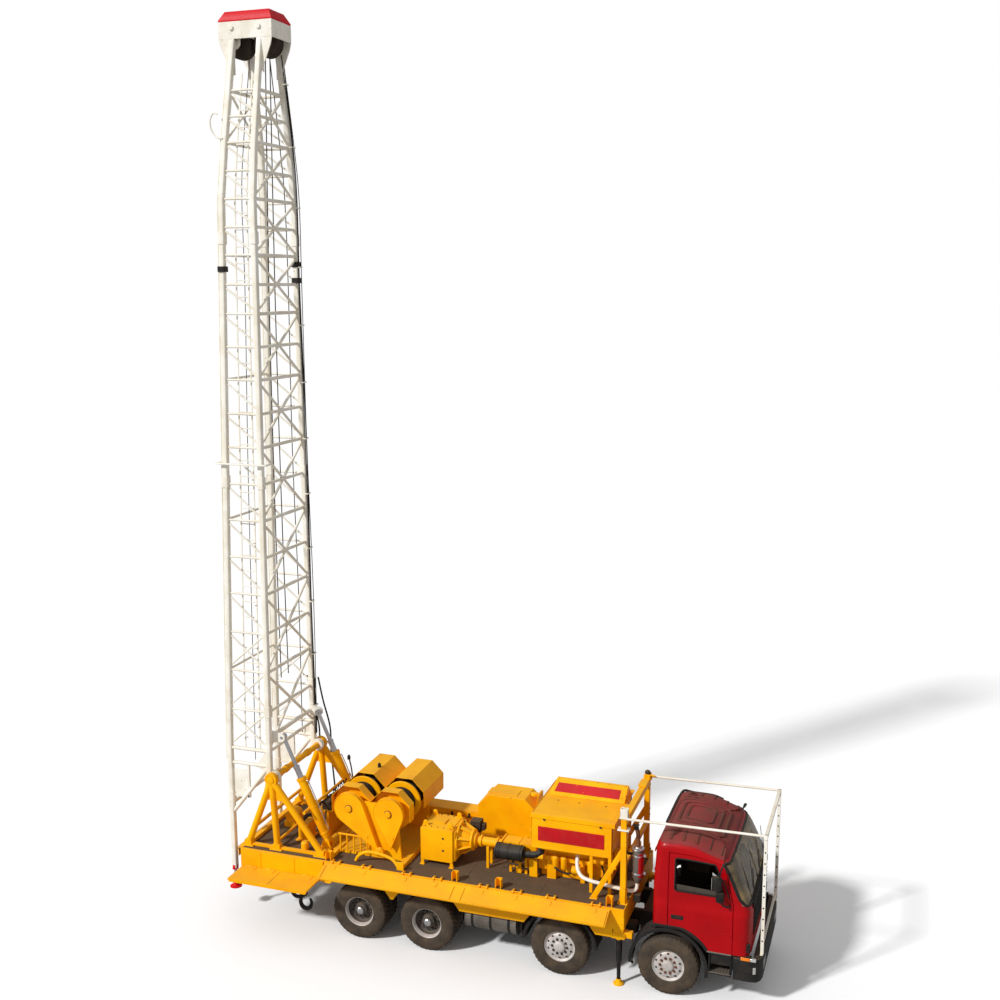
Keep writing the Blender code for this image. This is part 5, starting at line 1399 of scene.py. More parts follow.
    def build_hinges(self, shop: Workshop) -> None:
        """Hinge blocks with pins, leaves that ride on the flaps, and stakes.

        Args:
            shop: where pieces are made.
        """
        fixed, stakes = [], []
        t = self.top
        for x in self.hinges:
            for dx in (-0.085, 0.055):
                fixed.append(plate([(1.115, t + 0.004), (1.245, t + 0.004), (1.252, t + 0.022),
                                    (1.235, t + 0.046), (1.16, t + 0.046), (1.115, t + 0.02)],
                                   (x + dx, x + dx + 0.03), "yz"))
            fixed.append(rods([(x - 0.10, 1.222, t + 0.026)], [(x + 0.10, 1.222, t + 0.026)],
                              0.009, 10))
        for x in (-8.15, -7.75, -6.95):
            y, z = self.walk_hinge
            fixed.append(rods([(x - 0.07, y, z)], [(x + 0.07, y, z)], 0.0215, 14))
            fixed.append(blocks(((x - 0.06, x + 0.06), (self.fascia, y), (z - 0.012, z + 0.03))))
        for x in self.stakes:
            stakes.append(blocks(((x - 0.055, x - 0.043), (1.075, 1.185), (t + 0.004, t + 0.175)),
                                 ((x + 0.043, x + 0.055), (1.075, 1.185), (t + 0.004, t + 0.175)),
                                 ((x - 0.055, x + 0.055), (1.075, 1.087), (t + 0.004, t + 0.175))))
            stakes.append(bolts([(x, 1.075, t + 0.13)], (0, -1, 0), 0.011, 0.01))
        shop.piece("hinge_blocks", "truck", both(fixed), Finish.YELLOW, bevel=0.003)
        shop.piece("stake_pockets", "truck", both(stakes), Finish.YELLOW, bevel=0.002)
        for name, side in SIDES:
            leaves = []
            for x in self.hinges:
                a, b = self.on_panel(0.03, 0.018), self.on_panel(0.13, 0.018)
                leaves.append(struts([(x, side * a[0], a[1])], [(x, side * b[0], b[1])],
                                     rounded(0.075, 0.010, 0.004)))
            shop.piece(f"panel_leaves_{name}", f"side_panel_{name}", leaves, Finish.YELLOW,
                       bevel=0.002)
            y, z = self.walk_hinge
            leaves = [blocks(((x + 0.075, x + 0.17), (side * (y - 0.012), side * (y + 0.13)),
                              (z + 0.012, z + 0.022))) for x in (-8.15, -7.75, -6.95)]
            shop.piece(f"walkway_leaves_{name}", f"walkway_{name}", leaves, Finish.YELLOW,
                       bevel=0.002)

    def build_hangers(self, shop: Workshop) -> None:
        """Black tow hook and shackles that hang on a bracket under the right walkway.

        Args:
            shop: where pieces are made.
        """
        x, y = -7.18, -0.86
        bracket = [blocks(((x - 0.16, x + 0.16), (y - 0.05, y + 0.42), (0.92, 1.02)),
                          ((x - 0.03, x + 0.03), (y - 0.02, y + 0.02), (0.80, 0.93)))]
        shop.piece("hook_bracket", "truck", bracket, Finish.UNDER, bevel=0.004)
        links = []
        for k in range(4):
            z = 0.80 - 0.085 * k
            ring = circle(20) * (0.038, 0.062)
            zero = np.zeros(20)
            path = (np.stack((ring[:, 0], zero, ring[:, 1]), -1) if k % 2 else
                    np.stack((zero, ring[:, 0], ring[:, 1]), -1))
            links.append(tube(path + (x, y, z), 0.015, 8, closed=True))
        turn = np.radians(np.linspace(100, 400, 24))
        bow = np.stack((0.105 * np.cos(turn), 0 * turn, 0.12 * np.sin(turn)), -1)
        bow = bow * 1.12 + (x + 0.01, y, 0.345)
        thick = 0.7 + 0.6 * np.sin(np.linspace(0, np.pi, 24))
        hook = sweep(circle(12, 0.032), bow, ACROSS, size=thick)
        second = sweep(circle(12, 0.028), bow + (-0.20, 0.03, 0.20), ACROSS, size=thick)
        shop.piece("hook_and_chain", "truck", links + [hook, second], Finish.BLACK)


# ------------------------------------------------------------------------------ A-frames and rams
@dataclass
class AFrames:
    """Two A-frames of round tube on shoes, the pivot tube, ram bases, rams' glands and lines."""

    y: float = 1.02
    pivot: Tuple[float, float] = (-7.74, 2.85)
    feet: Tuple[float, ...] = (-8.28, -7.66, -6.72)
    floor: float = 1.4503
    tube_r: float = 0.064
    ram_y: float = 0.72
    ram_base: Tuple[float, float] = (-6.74, 1.63)
    ram_eye: Tuple[float, float] = (-7.62, 3.62)

    def build(self, shop: Workshop) -> None:
        """Makes the frames, the rams' details and the valve bank with its hoses.

        Args:
            shop: where pieces are made.
        """
        px, pz = self.pivot
        legs, plates_, pins, shoes = [], [], [], []
        for side in (-1, 1):
            y = side * self.y
            for foot in self.feet:
                legs.append(rods([(foot, y, self.floor + 0.05)], [(px, y, pz)], self.tube_r, 20))
                shoes.append(blocks(((foot - 0.13, foot + 0.13), (y - 0.10, y + 0.10),
                                     (self.floor, self.floor + 0.022))))
                shoes.append(blocks(((foot - 0.075, foot + 0.075), (y - 0.062, y + 0.062),
                                     (self.floor + 0.02, self.floor + 0.11))))
                shoes.append(bolts([(foot + a, y + b, self.floor + 0.022)
                                    for a in (-0.105, 0.105) for b in (-0.075, 0.075)], UP))
            plates_.append(lathe([(-0.052, 0.0), (-0.052, 0.125), (-0.044, 0.132), (0.044, 0.132),
                                  (0.052, 0.125), (0.052, 0.0)], (px, y, pz), ACROSS, 36))
            plates_.append(plate([(px - 0.22, pz - 0.42), (px + 0.30, pz - 0.42), (px + 0.10, pz),
                                  (px - 0.10, pz)], (y - 0.008, y + 0.008)))
            pins.append(disc_rims([(px, y + side * 0.052, pz)], (0, side, 0), 0.075, 0.02))
            pins.append(bolts([(px + a, y + side * 0.052, pz + b) for a, b in circle(6, 0.10)],
                              (0, side, 0), 0.009, 0.008))
            beam = [(-8.36, self.floor), (-6.62, self.floor), (-6.62, self.floor + 0.05),
                    (-8.36, self.floor + 0.05)]
            shoes.append(plate(beam, (y - 0.035, y + 0.035)))
            bx, bz = self.ram_base
            for inner in (self.ram_y - 0.085, self.ram_y + 0.055):
                low = sorted((side * inner, side * (inner + 0.03)))
                shoes.append(plate([(bx - 0.12, self.floor + 0.01), (bx + 0.12, self.floor + 0.01),
                                    (bx + 0.065, bz + 0.03), (bx + 0.03, bz + 0.06),
                                    (bx - 0.03, bz + 0.06), (bx - 0.065, bz + 0.03)], low))
            pins.append(rods([(bx, side * (self.ram_y - 0.10), bz)],
                             [(bx, side * (self.ram_y + 0.10), bz)], 0.030, 16))
        tube_ = [rods([(px, -0.97, pz)], [(px, 0.97, pz)], 0.060, 24)]
        for y in (-0.45, 0.45):
            tube_.append(lathe([(-0.05, 0.0), (-0.05, 0.072), (0.05, 0.072), (0.05, 0.0)],
                               (px, y, pz)))
        base = [blocks(((self.ram_base[0] - 0.11, self.ram_base[0] + 0.11), (-1.02, 1.02),
                        (self.floor + 0.003, self.floor + 0.07)),
                       ((-8.33, -8.23), (-1.02, 1.02), (self.floor + 0.003, self.floor + 0.07)))]
        brace = [rods([(-8.16, -1.0, 1.82)], [(-8.16, 1.0, 1.82)], 0.034, 14),
                 rods([(-7.08, -1.0, 2.25), (-7.70, -1.0, 1.56)], [(-7.08, 1.0, 2.25),
                                                                  (-7.70, 1.0, 1.56)], 0.030, 14)]
        shop.piece("a_frame_legs", "truck", legs + tube_ + brace, Finish.YELLOW,
                   replaces=["a_frames"])
        shop.piece("a_frame_shoes", "truck", shoes + base, Finish.YELLOW, bevel=0.003)
        shop.piece("a_frame_heads", "truck", plates_ + pins, Finish.YELLOW, bevel=0.003)
        self.build_rams(shop)
        self.build_valves(shop)
        self.build_hoses(shop)

    def build_rams(self, shop: Workshop) -> None:
        """Gland rings, ports and pipes on each ram's barrel and stage.

        Args:
            shop: where pieces are made.
        """
        base = np.array((self.ram_base[0], 0.0, self.ram_base[1]))
        way = np.array((self.ram_eye[0], 0.0, self.ram_eye[1])) - base
        way /= np.linalg.norm(way)
        normal = np.array((way[2], 0.0, -way[0]))
        for name, side in SIDES:
            shift = np.array((0.0, side * self.ram_y, 0.0))
            barrel = [lathe([(0.06, 0.0), (0.06, 0.07), (0.10, 0.084), (1.30, 0.084),
                             (1.305, 0.066), (1.305, 0.0)], base + shift, way, 32),
                      lathe([(-0.052, 0.0), (-0.052, 0.07), (0.052, 0.07), (0.052, 0.0)],
                            base + shift, ACROSS, 24)]
            shop.piece(f"ram_tube_{name}", f"ram_barrel_{name}", barrel, Finish.YELLOW)
            rings = []
            for s, r, w in ((1.26, 0.097, 0.055), (0.14, 0.092, 0.04), (0.70, 0.089, 0.012)):
                rings.append(lathe([(s, 0.07), (s, r - 0.004), (s + 0.004, r), (s + w - 0.004, r),
                                    (s + w, r - 0.004), (s + w, 0.07)], base + shift, way, 32,
                                   closed=True))
            pipe = [base + shift + way * s + normal * n for s, n in
                    ((0.18, 0.085), (0.20, 0.12), (0.30, 0.125), (1.10, 0.125), (1.20, 0.12),
                     (1.23, 0.085))]
            shop.piece(f"ram_rings_{name}", f"ram_barrel_{name}", rings, Finish.YELLOW)
            shop.piece(f"ram_pipe_{name}", f"ram_barrel_{name}",
                       [tube(curve(pipe, 30), 0.010, 10)], Finish.STEEL)
            ring = lathe([(1.525, 0.050), (1.525, 0.064), (1.559, 0.064), (1.559, 0.050)],
                         base + shift, way, 28, closed=True)
            shop.piece(f"ram_gland_{name}", f"ram_stage_{name}", [ring], Finish.STEEL)
            pin = rods([(self.ram_eye[0], side * 0.655, self.ram_eye[1])],
                       [(self.ram_eye[0], side * 0.81, self.ram_eye[1])], 0.0295, 16)
            shop.piece(f"ram_pin_{name}", "mast", [pin], Finish.STEEL)

    def build_valves(self, shop: Workshop) -> None:
        """Valve bank, levers, filter pot and winch motor between the A-frames and the drums.

        Args:
            shop: where pieces are made.
        """
        z = self.floor
        stand = [blocks(((-7.02, -6.92), (-0.30, 0.40), (z, z + 0.55)),
                        ((-7.06, -6.88), (-0.34, 0.44), (z, z + 0.03)),
                        ((-7.08, -6.84), (-0.32, 0.42), (z + 0.55, z + 0.58)),
                        ((-7.46, -7.26), (-0.55, -0.20), (z, z + 0.34)),
                        ((-7.50, -7.22), (-0.60, -0.15), (z, z + 0.025)))]
        stand.append(lathe([(0.0, 0.0), (0.0, 0.10), (0.26, 0.10), (0.30, 0.07), (0.30, 0.0)],
                           (-7.36, 0.30, z + 0.02), UP, 24))
        stand.append(lathe([(0.0, 0.0), (0.0, 0.075), (0.14, 0.075), (0.17, 0.05), (0.17, 0.0)],
                           (-7.12, -0.92, z + 0.02), UP, 24))
        stand.append(lathe([(-0.16, 0.0), (-0.16, 0.11), (0.16, 0.11), (0.16, 0.0)],
                           (-7.90, 0.10, z + 0.20), ACROSS, 28))
        stand.append(blocks(((-8.02, -7.78), (-0.10, 0.30), (z, z + 0.12))))
        shop.piece("valve_stand", "truck", stand, Finish.YELLOW, bevel=0.004)
        bank, levers, fittings = [], [], []
        for k in range(6):
            y = -0.24 + 0.11 * k
            bank.append(blocks(((-7.05, -6.87), (y - 0.045, y + 0.045), (z + 0.58, z + 0.74))))
            levers.append(rods([(-6.90, y, z + 0.72)], [(-6.83, y, z + 0.98)], 0.008, 8))
            levers.append(lathe([(-0.03, 0.0), (-0.022, 0.014), (0.0, 0.02), (0.022, 0.014),
                                 (0.03, 0.0)], (-6.825, y, z + 1.0), UP, 12))
            fittings.append(rods([(-7.05, y, z + 0.64)], [(-7.11, y, z + 0.64)], 0.016, 6))
        for x, y, top in ((-6.74, 0.44, 2.84), (-6.01, 0.30, 2.82)):
            levers.append(tube(curve([(x, y, z + 0.10), (x + 0.01, y, 2.2), (x - 0.02, y, 2.6),
                                      (x - 0.07, y, top)], 16), 0.014, 10))
            levers.append(lathe([(0.0, 0.0), (0.0, 0.03), (0.05, 0.035), (0.09, 0.02),
                                 (0.09, 0.0)], (x - 0.075, y, top - 0.02), UP, 14))
        shop.piece("valve_bank", "truck", bank, Finish.IRON, bevel=0.004)
        shop.piece("valve_levers", "truck", levers, Finish.BLACK)
        shop.piece("valve_fittings", "truck", fittings, Finish.STEEL)

    def build_hoses(self, shop: Workshop) -> None:
        """Short hydraulic hoses between ports of the valve bank, the rams' feet and the motor.

        Args:
            shop: where pieces are made.
        """
        z = self.floor
        runs = []
        for k in range(6):
            y = -0.24 + 0.11 * k
            end = (-7.36 - 0.03 * k, -0.50 + 0.06 * k, z + 0.34) if k < 3 else (
                -7.33, 0.24 + 0.05 * (k - 3), z + 0.31)
            runs.append([(-7.11, y, z + 0.64), (-7.19, y, z + 0.62), (-7.25, (y + end[1]) / 2, z + 0.50),
                         (end[0] + 0.02, end[1], z + 0.42), end])
        for side in (-1, 1):
            runs.append([(-6.95, side * 0.34, z + 0.60), (-6.90, side * 0.50, z + 0.42),
                         (-6.86, side * 0.64, z + 0.22), (-6.80, side * 0.70, z + 0.28),
                         (-6.80, side * 0.72, z + 0.36)])
        tubes = [tube(curve(r, 28), 0.015, 10) for r in runs]
        shop.piece("valve_hoses", "truck", tubes, Finish.HOSE)
        for k, (y, foot) in enumerate(((1.115, 0.98), (1.085, 0.86))):
            x = -7.82 + 0.27 * k
            path = curve([(x - 0.14, y - 0.19, 4.3), (x - 0.08, y - 0.12, 3.8), (x, y, 3.2),
                          (x + 0.01, y, 2.7), (x + 0.05, y, 2.2), (x + 0.22, foot, 1.75),
                          (x + 0.34, foot - 0.08, z + 0.01)], 60)
            hose = shop.loose(f"mast_hose_{k + 1}", [tube(path, 0.017, 10, ACROSS)], Finish.HOSE)
            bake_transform(hose)


# ------------------------------------------------------------------------------ drawworks
@dataclass
class Drawworks:
    """Chain cases' rims and bosses, drum guards, rope, brake covers and skid rails."""

    drums: Tuple[Tuple[float, float], ...] = ((-6.21, 2.40), (-5.40, 2.40))
    tips: Tuple[Tuple[float, float], ...] = ((-5.60, 1.62), (-5.36, 1.70))
    case_r: float = 0.30
    case_y: float = -0.85
    guard: float = 0.402
    floor: float = 1.4503

    def teardrop(self, k: int, grow: float) -> np.ndarray:
        """Outline of a chain case, grown: an arc about the drum with two tangents to the tip.

        Args:
            k: 0 for the rear drum, 1 for the front one.
            grow: how far it is grown outward.

        Returns:
            The outline, (x, z) points.
        """
        (cx, cz), (tx, tz) = self.drums[k], self.tips[k]
        r = self.case_r + grow
        away = np.array((tx - cx, tz - cz))
        dist = np.linalg.norm(away) + grow * 1.8
        heading = math.degrees(math.atan2(away[1], away[0]))
        spread = math.degrees(math.acos(r / dist))
        tip = np.array((cx, cz)) + away / np.linalg.norm(away) * dist
        return np.vstack((arc((cx, cz), r, heading + spread, heading + 360 - spread, 40), tip))

    def octagon(self, k: int, apothem: float) -> np.ndarray:
        """Upper part of an octagon about a drum, flats upright and level.

        Args:
            k: 0 for the rear drum, 1 for the front one.
            apothem: distance from the centre to a flat.

        Returns:
            The outline, (x, z) points.
        """
        cx, cz = self.drums[k]
        t = apothem * math.tan(math.pi / 8)
        pts = [(-apothem, -0.16), (-apothem, t), (-t, apothem), (t, apothem), (apothem, t),
               (apothem, -0.16)]
        return np.array(pts) + (cx, cz)

    def shell(self, k: int, y: Tuple[float, float], apothem: float) -> Skin:
        """A faceted guard sheet: the octagon's outline and its inner copy, between two Y values."""
        outer, inner = self.octagon(k, apothem), self.octagon(k, apothem - 0.008)
        return plate(np.vstack((outer, inner[::-1])), y)

    def build(self, shop: Workshop) -> None:
        """Makes every piece of the drawworks.

        Args:
            shop: where pieces are made.
        """
        rims, bosses, guards, grooves = [], [], [], []
        for k in range(2):
            line = self.teardrop(k, 0.0)
            for y in (self.case_y + 0.002, self.case_y + 0.086):
                path = np.column_stack((line[:, 0], np.full(len(line), y), line[:, 1]))
                rims.append(sweep(rounded(0.014, 0.018, 0.003, 1), path, ACROSS, closed=True))
            cx, cz = self.drums[k]
            bosses.append(lathe([(0.0, 0.0), (0.0, 0.066), (0.028, 0.062), (0.034, 0.05),
                                 (0.036, 0.0)], (cx, self.case_y, cz), (0, -1, 0), 32))
            # Thin rust-coloured disc a little wider than the boss: the ring it shows round the boss is a
            # painted shadow.
            grooves.append(lathe([(0.0, 0.0), (0.0, 0.078), (0.004, 0.078), (0.004, 0.0)],
                                 (cx, self.case_y, cz), (0, -1, 0), 32))
            bosses.append(bolts([(cx + a, self.case_y - 0.034, cz + b) for a, b in
                                 circle(4, 0.035)], (0, -1, 0), 0.007, 0.004))
            mid = (np.array(self.drums[k]) + self.tips[k]) / 2
            bosses.append(disc_rims([(mid[0] + 0.06, self.case_y, mid[1] - 0.12)], (0, -1, 0),
                                    0.03, 0.012))
            guards.append(self.shell(k, (-0.748, -0.545), self.guard))
            guards.append(self.shell(k, (-0.06, 0.97), self.guard))
            for y in (-0.548, 0.965):
                face = self.octagon(k, self.guard)
                hole = arc((cx, cz), 0.30, 0, 180, 16)
                ring = np.vstack((face[1:-1], [(cx + self.guard, cz)], hole,
                                  [(cx - self.guard, cz)]))
                guards.append(plate(ring, (y, y + 0.008)))
        tip = (-5.47, 1.64)
        bosses.append(lathe([(0.0, 0.0), (0.0, 0.085), (0.05, 0.085), (0.06, 0.07), (0.06, 0.04),
                             (0.11, 0.04), (0.11, 0.0)], (tip[0] - 0.10, self.case_y, tip[1]),
                            (0, -1, 0), 28))
        bosses.append(bolts([(tip[0] - 0.10 + a, self.case_y - 0.055, tip[1] + b)
                             for a, b in circle(6, 0.068)], (0, -1, 0), 0.010, 0.010))
        shop.piece("chain_case_rims", "truck", rims, Finish.YELLOW)
        shop.piece("chain_case_bosses", "truck", bosses, Finish.YELLOW, bevel=0.002)
        # Painted shadow rings round the chain-case bosses.
        shop.piece("case_boss_shadow_rings", "truck", grooves, Finish.RUST)
        shop.piece("drum_guards", "truck", guards, Finish.YELLOW, bevel=0.003)
        self.build_rope(shop)
        self.build_skid(shop)

    def build_rope(self, shop: Workshop) -> None:
        """Wraps of wire rope on each drum: r = core + layer, waved once a rope pitch; and flanges.

        Args:
            shop: where pieces are made.
        """
        for k, name in enumerate(("rear", "front")):
            cx, cz = self.drums[k]
            y = np.linspace(-0.56, 0.56, 225)
            wave = 0.262 + 0.011 * np.abs(np.sin(np.pi * (y + 0.56) / 0.0224))
            profile = [(-0.56, 0.19)] + np.stack((y, wave), -1).tolist() + [(0.56, 0.19)]
            shop.piece(f"rope_wraps_{name}", f"drum_{name}",
                       [lathe(profile, (cx, 0, cz), ACROSS, 48, closed=True)], Finish.ROPE, smooth=50)
            rings = []
            for side in (-1, 1):
                outer = side * 0.60
                rings.append(lathe([(outer - 0.022, 0.36), (outer - 0.022, 0.385), (outer + 0.022,
                                    0.385), (outer + 0.022, 0.36)], (cx, 0, cz), ACROSS, 64,
                                   closed=True))
            rings.append(lathe([(-0.17, 0.0), (-0.17, 0.365), (-0.16, 0.372), (-0.13, 0.372),
                                (-0.12, 0.365), (-0.12, 0.0)], (cx, 0, cz), ACROSS, 56))
            shop.piece(f"drum_rims_{name}", f"drum_{name}", rings, Finish.YELLOW)

    def build_skid(self, shop: Workshop) -> None:
        """Skid rails across the deck, bent tube feet, upright tube rack and brake linkages.

        Args:
            shop: where pieces are made.
        """
        f = self.floor
        rails = [blocks(*[((x - 0.045, x + 0.045), (-1.10, 1.10), (f, f + 0.075))
                          for x in (-6.50, -5.06)])]
        rails.append(blocks(*[((x - 0.07, x + 0.07), (y - 0.012, y + 0.012), (f, f + 0.16))
                              for x in (-6.50, -5.06) for y in (-1.09, 1.09)]))
        bends = []
        for y, (a, b) in ((-1.02, (-6.00, -5.10)), (1.10, (-6.30, -5.30))):
            path = [(a, y, f + 0.02), (a + 0.06, y, f + 0.12), (a + 0.20, y, f + 0.21),
                    (a + 0.42, y + 0.02, f + 0.22), (b - 0.16, y, f + 0.16), (b, y - 0.05, f + 0.04)]
            bends.append(tube(curve(path, 36), 0.030, 14, ACROSS))
        for x in np.linspace(-6.42, -5.86, 5):
            bends.append(rods([(x, -0.80, f + 0.04)], [(x, -0.80, f + 0.42)], 0.016, 10))
        bends.append(rods([(-6.46, -0.80, f + 0.40)], [(-5.82, -0.80, f + 0.40)], 0.018, 10))
        links = [rods([(-6.30, 0.83, 1.75), (-5.40, 0.83, 1.75)], [(-6.21, 0.83, 2.1),
                                                                  (-5.32, 0.83, 2.1)], 0.016, 10)]
        links.append(rods([(-6.45, 0.86, 1.72)], [(-5.10, 0.86, 1.72)], 0.022, 12))
        shop.piece("drawworks_skid", "truck", rails, Finish.YELLOW, bevel=0.004)
        shop.piece("drawworks_tubes", "truck", bends, Finish.YELLOW)
        shop.piece("brake_links", "truck", links, Finish.IRON)
        covers = []
        for cx, cz in self.drums:
            covers.append(disc_rims([(cx, 0.99, cz)], ACROSS, 0.15, 0.03, 32))
            covers.append(bolts([(cx + a, 0.99, cz + b) for a, b in circle(8, 0.27)], ACROSS))
        shop.piece("brake_covers", "truck", covers, Finish.YELLOW, bevel=0.003)


# ------------------------------------------------------------------------------ power line
@dataclass
class PowerLine:
    """Gearbox fittings, shaft guard, air cleaner, engine parts, hood, exhaust and tank fittings."""

    floor: float = 1.4503
    gear_x: Tuple[float, float] = (-4.80, -4.16)
    gear_y: Tuple[float, float] = (-0.72, -0.04)
    gear_z: Tuple[float, float] = (1.55, 2.18)
    shaft: Tuple[float, float] = (-0.37, 1.92)
    hood_x: Tuple[float, float] = (-2.60, -1.12)
    hood_half: float = 0.80
    hood_z: Tuple[float, float] = (2.165, 2.81)

    def build(self, shop: Workshop) -> None:
        """Makes every piece of the power line.

        Args:
            shop: where pieces are made.
        """
        self.build_gearbox(shop)
        self.build_engine(shop)
        self.build_hood(shop)
        self.build_exhaust(shop)
        self.build_stores(shop)

    def build_gearbox(self, shop: Workshop) -> None:
        """Lifting eyes, lid, bell flange with ribs, feet, and the shaft guard.

        Args:
            shop: where pieces are made.
        """
        (x0, x1), (y0, y1), (z0, z1) = self.gear_x, self.gear_y, self.gear_z
        parts = [blocks(((x0 + 0.04, x1 - 0.04), (y0 + 0.05, y1 - 0.05), (z1, z1 + 0.014)),
                        ((x0 + 0.22, x1 - 0.24), (-0.50, -0.28), (z1 + 0.014, z1 + 0.04)))]
        for x in (x0 + 0.07, x1 - 0.08):
            for y in (y0 + 0.09, y1 - 0.10):
                ring = arc((x, z1 + 0.075), 0.045, -20, 200, 10)
                parts.append(plate(np.vstack((ring, [(x - 0.07, z1 + 0.012),
                                                    (x + 0.07, z1 + 0.012)])), (y, y + 0.02)))
                parts.append(disc_rims([(x, y, z1 + 0.075)], (0, -1, 0), 0.026, 0.006))
        for x in (x0 + 0.03, x1 - 0.03):
            for y in (y0 + 0.02, y1 - 0.02):
                parts.append(blocks(((x - 0.045, x + 0.045), (y - 0.04, y + 0.04),
                                     (self.floor, self.floor + 0.016))))
                parts.append(blocks(((x - 0.03, x + 0.03), (y - 0.012, y + 0.012),
                                     (self.floor, z0 + 0.02))))
        sy, sz = self.shaft
        parts.append(lathe([(0.0, 0.0), (0.0, 0.315), (0.03, 0.315), (0.03, 0.0)],
                           (x1 + 0.035, sy, sz), ALONG, 40))
        parts.append(lathe([(0.0, 0.0), (0.0, 0.20), (0.035, 0.20), (0.045, 0.15), (0.09, 0.14),
                            (0.09, 0.0)], (-3.88, sy, sz), ALONG, 36))
        turn = np.radians(np.arange(8) * 45 + 22.5)
        ring = np.stack((0 * turn, np.cos(turn), np.sin(turn)), -1)
        parts.append(struts(ring * 0.285 + (x1 + 0.06, sy, sz), ring * 0.17 + (-3.86, sy, sz),
                            rounded(0.018, 0.07, 0.004, 1), (0.3, 0.7, 0.2)))
        shop.piece("gearbox_fittings", "truck", parts, Finish.YELLOW, bevel=0.003)
        case = [blocks(((x0, x1), (y0, y1), (z0, z1)), ((x1 - 0.01, x1 + 0.04), (y0 + 0.04, y1),
                                                       (z0 + 0.03, z1 - 0.03)))]
        case.append(lathe([(0.0, 0.0), (0.0, 0.24), (0.20, 0.19), (0.27, 0.12), (0.27, 0.0)],
                          (x1 + 0.03, sy, sz), ALONG, 40))
        case.append(rods([(x1 + 0.2, sy, sz)], [(-2.56, sy, sz)], 0.085, 28))
        shop.piece("gearbox_case", "truck", case, Finish.YELLOW, bevel=0.006,
                   replaces=["gearbox"])
        nuts = [bolts(ring * 0.292 + (x1 + 0.065, sy, sz), ALONG, 0.014, 0.014),
                bolts([(x0 + 0.45, y0 - 0.006, z) for z in (1.78, 2.02)], (0, -1, 0), 0.013),
                bolts([(x, y, z1 + 0.012) for x in np.linspace(x0 + 0.07, x1 - 0.07, 5)
                       for y in (y0 + 0.07, y1 - 0.07)], UP, 0.010, 0.010)]
        shop.piece("gearbox_nuts", "truck", nuts, Finish.IRON)
        guard = [lathe([(s, 0.08), (s, 0.112), (s + 0.035, 0.112), (s + 0.035, 0.08)],
                       (0, sy, sz), ALONG, 30, closed=True) for s in (-3.72, -3.40)]
        guard.append(blocks(((-3.26, -2.60), (sy - 0.13, sy + 0.13), (sz - 0.06, sz + 0.125))))
        guard.append(blocks(((-3.28, -3.25), (sy - 0.15, sy + 0.15), (sz - 0.08, sz + 0.145)),
                            ((-2.95, -2.93), (sy - 0.14, sy + 0.14), (sz - 0.06, sz + 0.135))))
        for x in (-3.55, -3.10, -2.80):
            guard.append(blocks(((x - 0.025, x + 0.025), (sy - 0.12, sy - 0.08),
                                 (self.floor, sz - 0.05)),
                                ((x - 0.025, x + 0.025), (sy + 0.08, sy + 0.12),
                                 (self.floor, sz - 0.05))))
        shop.piece("shaft_guards", "truck", guard, Finish.YELLOW, bevel=0.003)

    def build_engine(self, shop: Workshop) -> None:
        """Engine feet, pulleys, alternator, filters, pipes, air cleaner rings and drain valve.

        Args:
            shop: where pieces are made.
        """
        f, feet = self.floor, []
        for x, w, y in ((-2.94, 0.05, -0.50), (-2.64, 0.075, -0.56), (-2.31, 0.085, -0.50)):
            feet.append(blocks(((x - w, x + w), (y, y + 0.03), (f, f + 0.36)),
                               ((x - w, x + w), (y, y + 0.14), (f, f + 0.015)),
                               ((x - w, x + w), (y, y + 0.14), (f + 0.345, f + 0.36))))
        feet.append(blocks(((-3.02, -1.10), (-0.50, -0.36), (f + 0.36, f + 0.44)),
                           ((-3.02, -1.10), (0.42, 0.56), (f + 0.36, f + 0.44))))
        for x in (-1.72, -1.30):
            feet.append(blocks(((x - 0.04, x + 0.04), (-0.50, -0.44), (f, f + 0.36)),
                               ((x - 0.04, x + 0.04), (0.46, 0.52), (f, f + 0.36))))
        shop.piece("engine_bed", "truck", feet, Finish.YELLOW, bevel=0.004)
        parts = []
        for x, y, z, r, w in ((-1.16, 0.02, 1.82, 0.17, 0.07), (-1.15, -0.34, 2.06, 0.10, 0.06),
                              (-1.15, 0.36, 2.10, 0.11, 0.06), (-1.14, 0.02, 2.26, 0.13, 0.06)):
            parts.append(lathe([(0, 0.0), (0, r), (0.012, r), (w / 2, r - 0.03), (w - 0.012, r),
                                (w, r), (w, 0.0)], (x, y, z), ALONG, 32))
        parts.append(lathe([(-0.12, 0.0), (-0.12, 0.08), (0.12, 0.085), (0.14, 0.05), (0.14, 0.0)],
                           (-1.42, -0.56, 1.98), ALONG, 24))
        parts.append(lathe([(-0.10, 0.0), (-0.10, 0.075), (0.10, 0.075), (0.10, 0.0)],
                           (-1.80, -0.56, 1.72), ALONG, 24))
        for x in (-1.56, -2.06, -2.22):
            parts.append(lathe([(0.0, 0.0), (0.0, 0.05), (0.02, 0.058), (0.20, 0.058),
                                (0.23, 0.035), (0.23, 0.0)], (x, -0.54, 1.70), UP, 20))
        for k in range(6):
            x = -2.42 + 0.20 * k
            parts.append(blocks(((x - 0.075, x + 0.075), (-0.50, -0.42), (2.10, 2.30))))
            parts.append(tube(curve([(x, -0.43, 2.24), (x, -0.54, 2.26), (x + 0.04, -0.60, 2.18),
                                     (x + 0.10, -0.60, 2.12)], 12), 0.028, 10))
        parts.append(rods([(-2.46, -0.60, 2.10)], [(-1.30, -0.60, 2.10)], 0.05, 18))
        shop.piece("engine_parts", "truck", parts, Finish.YELLOW, bevel=0.003)
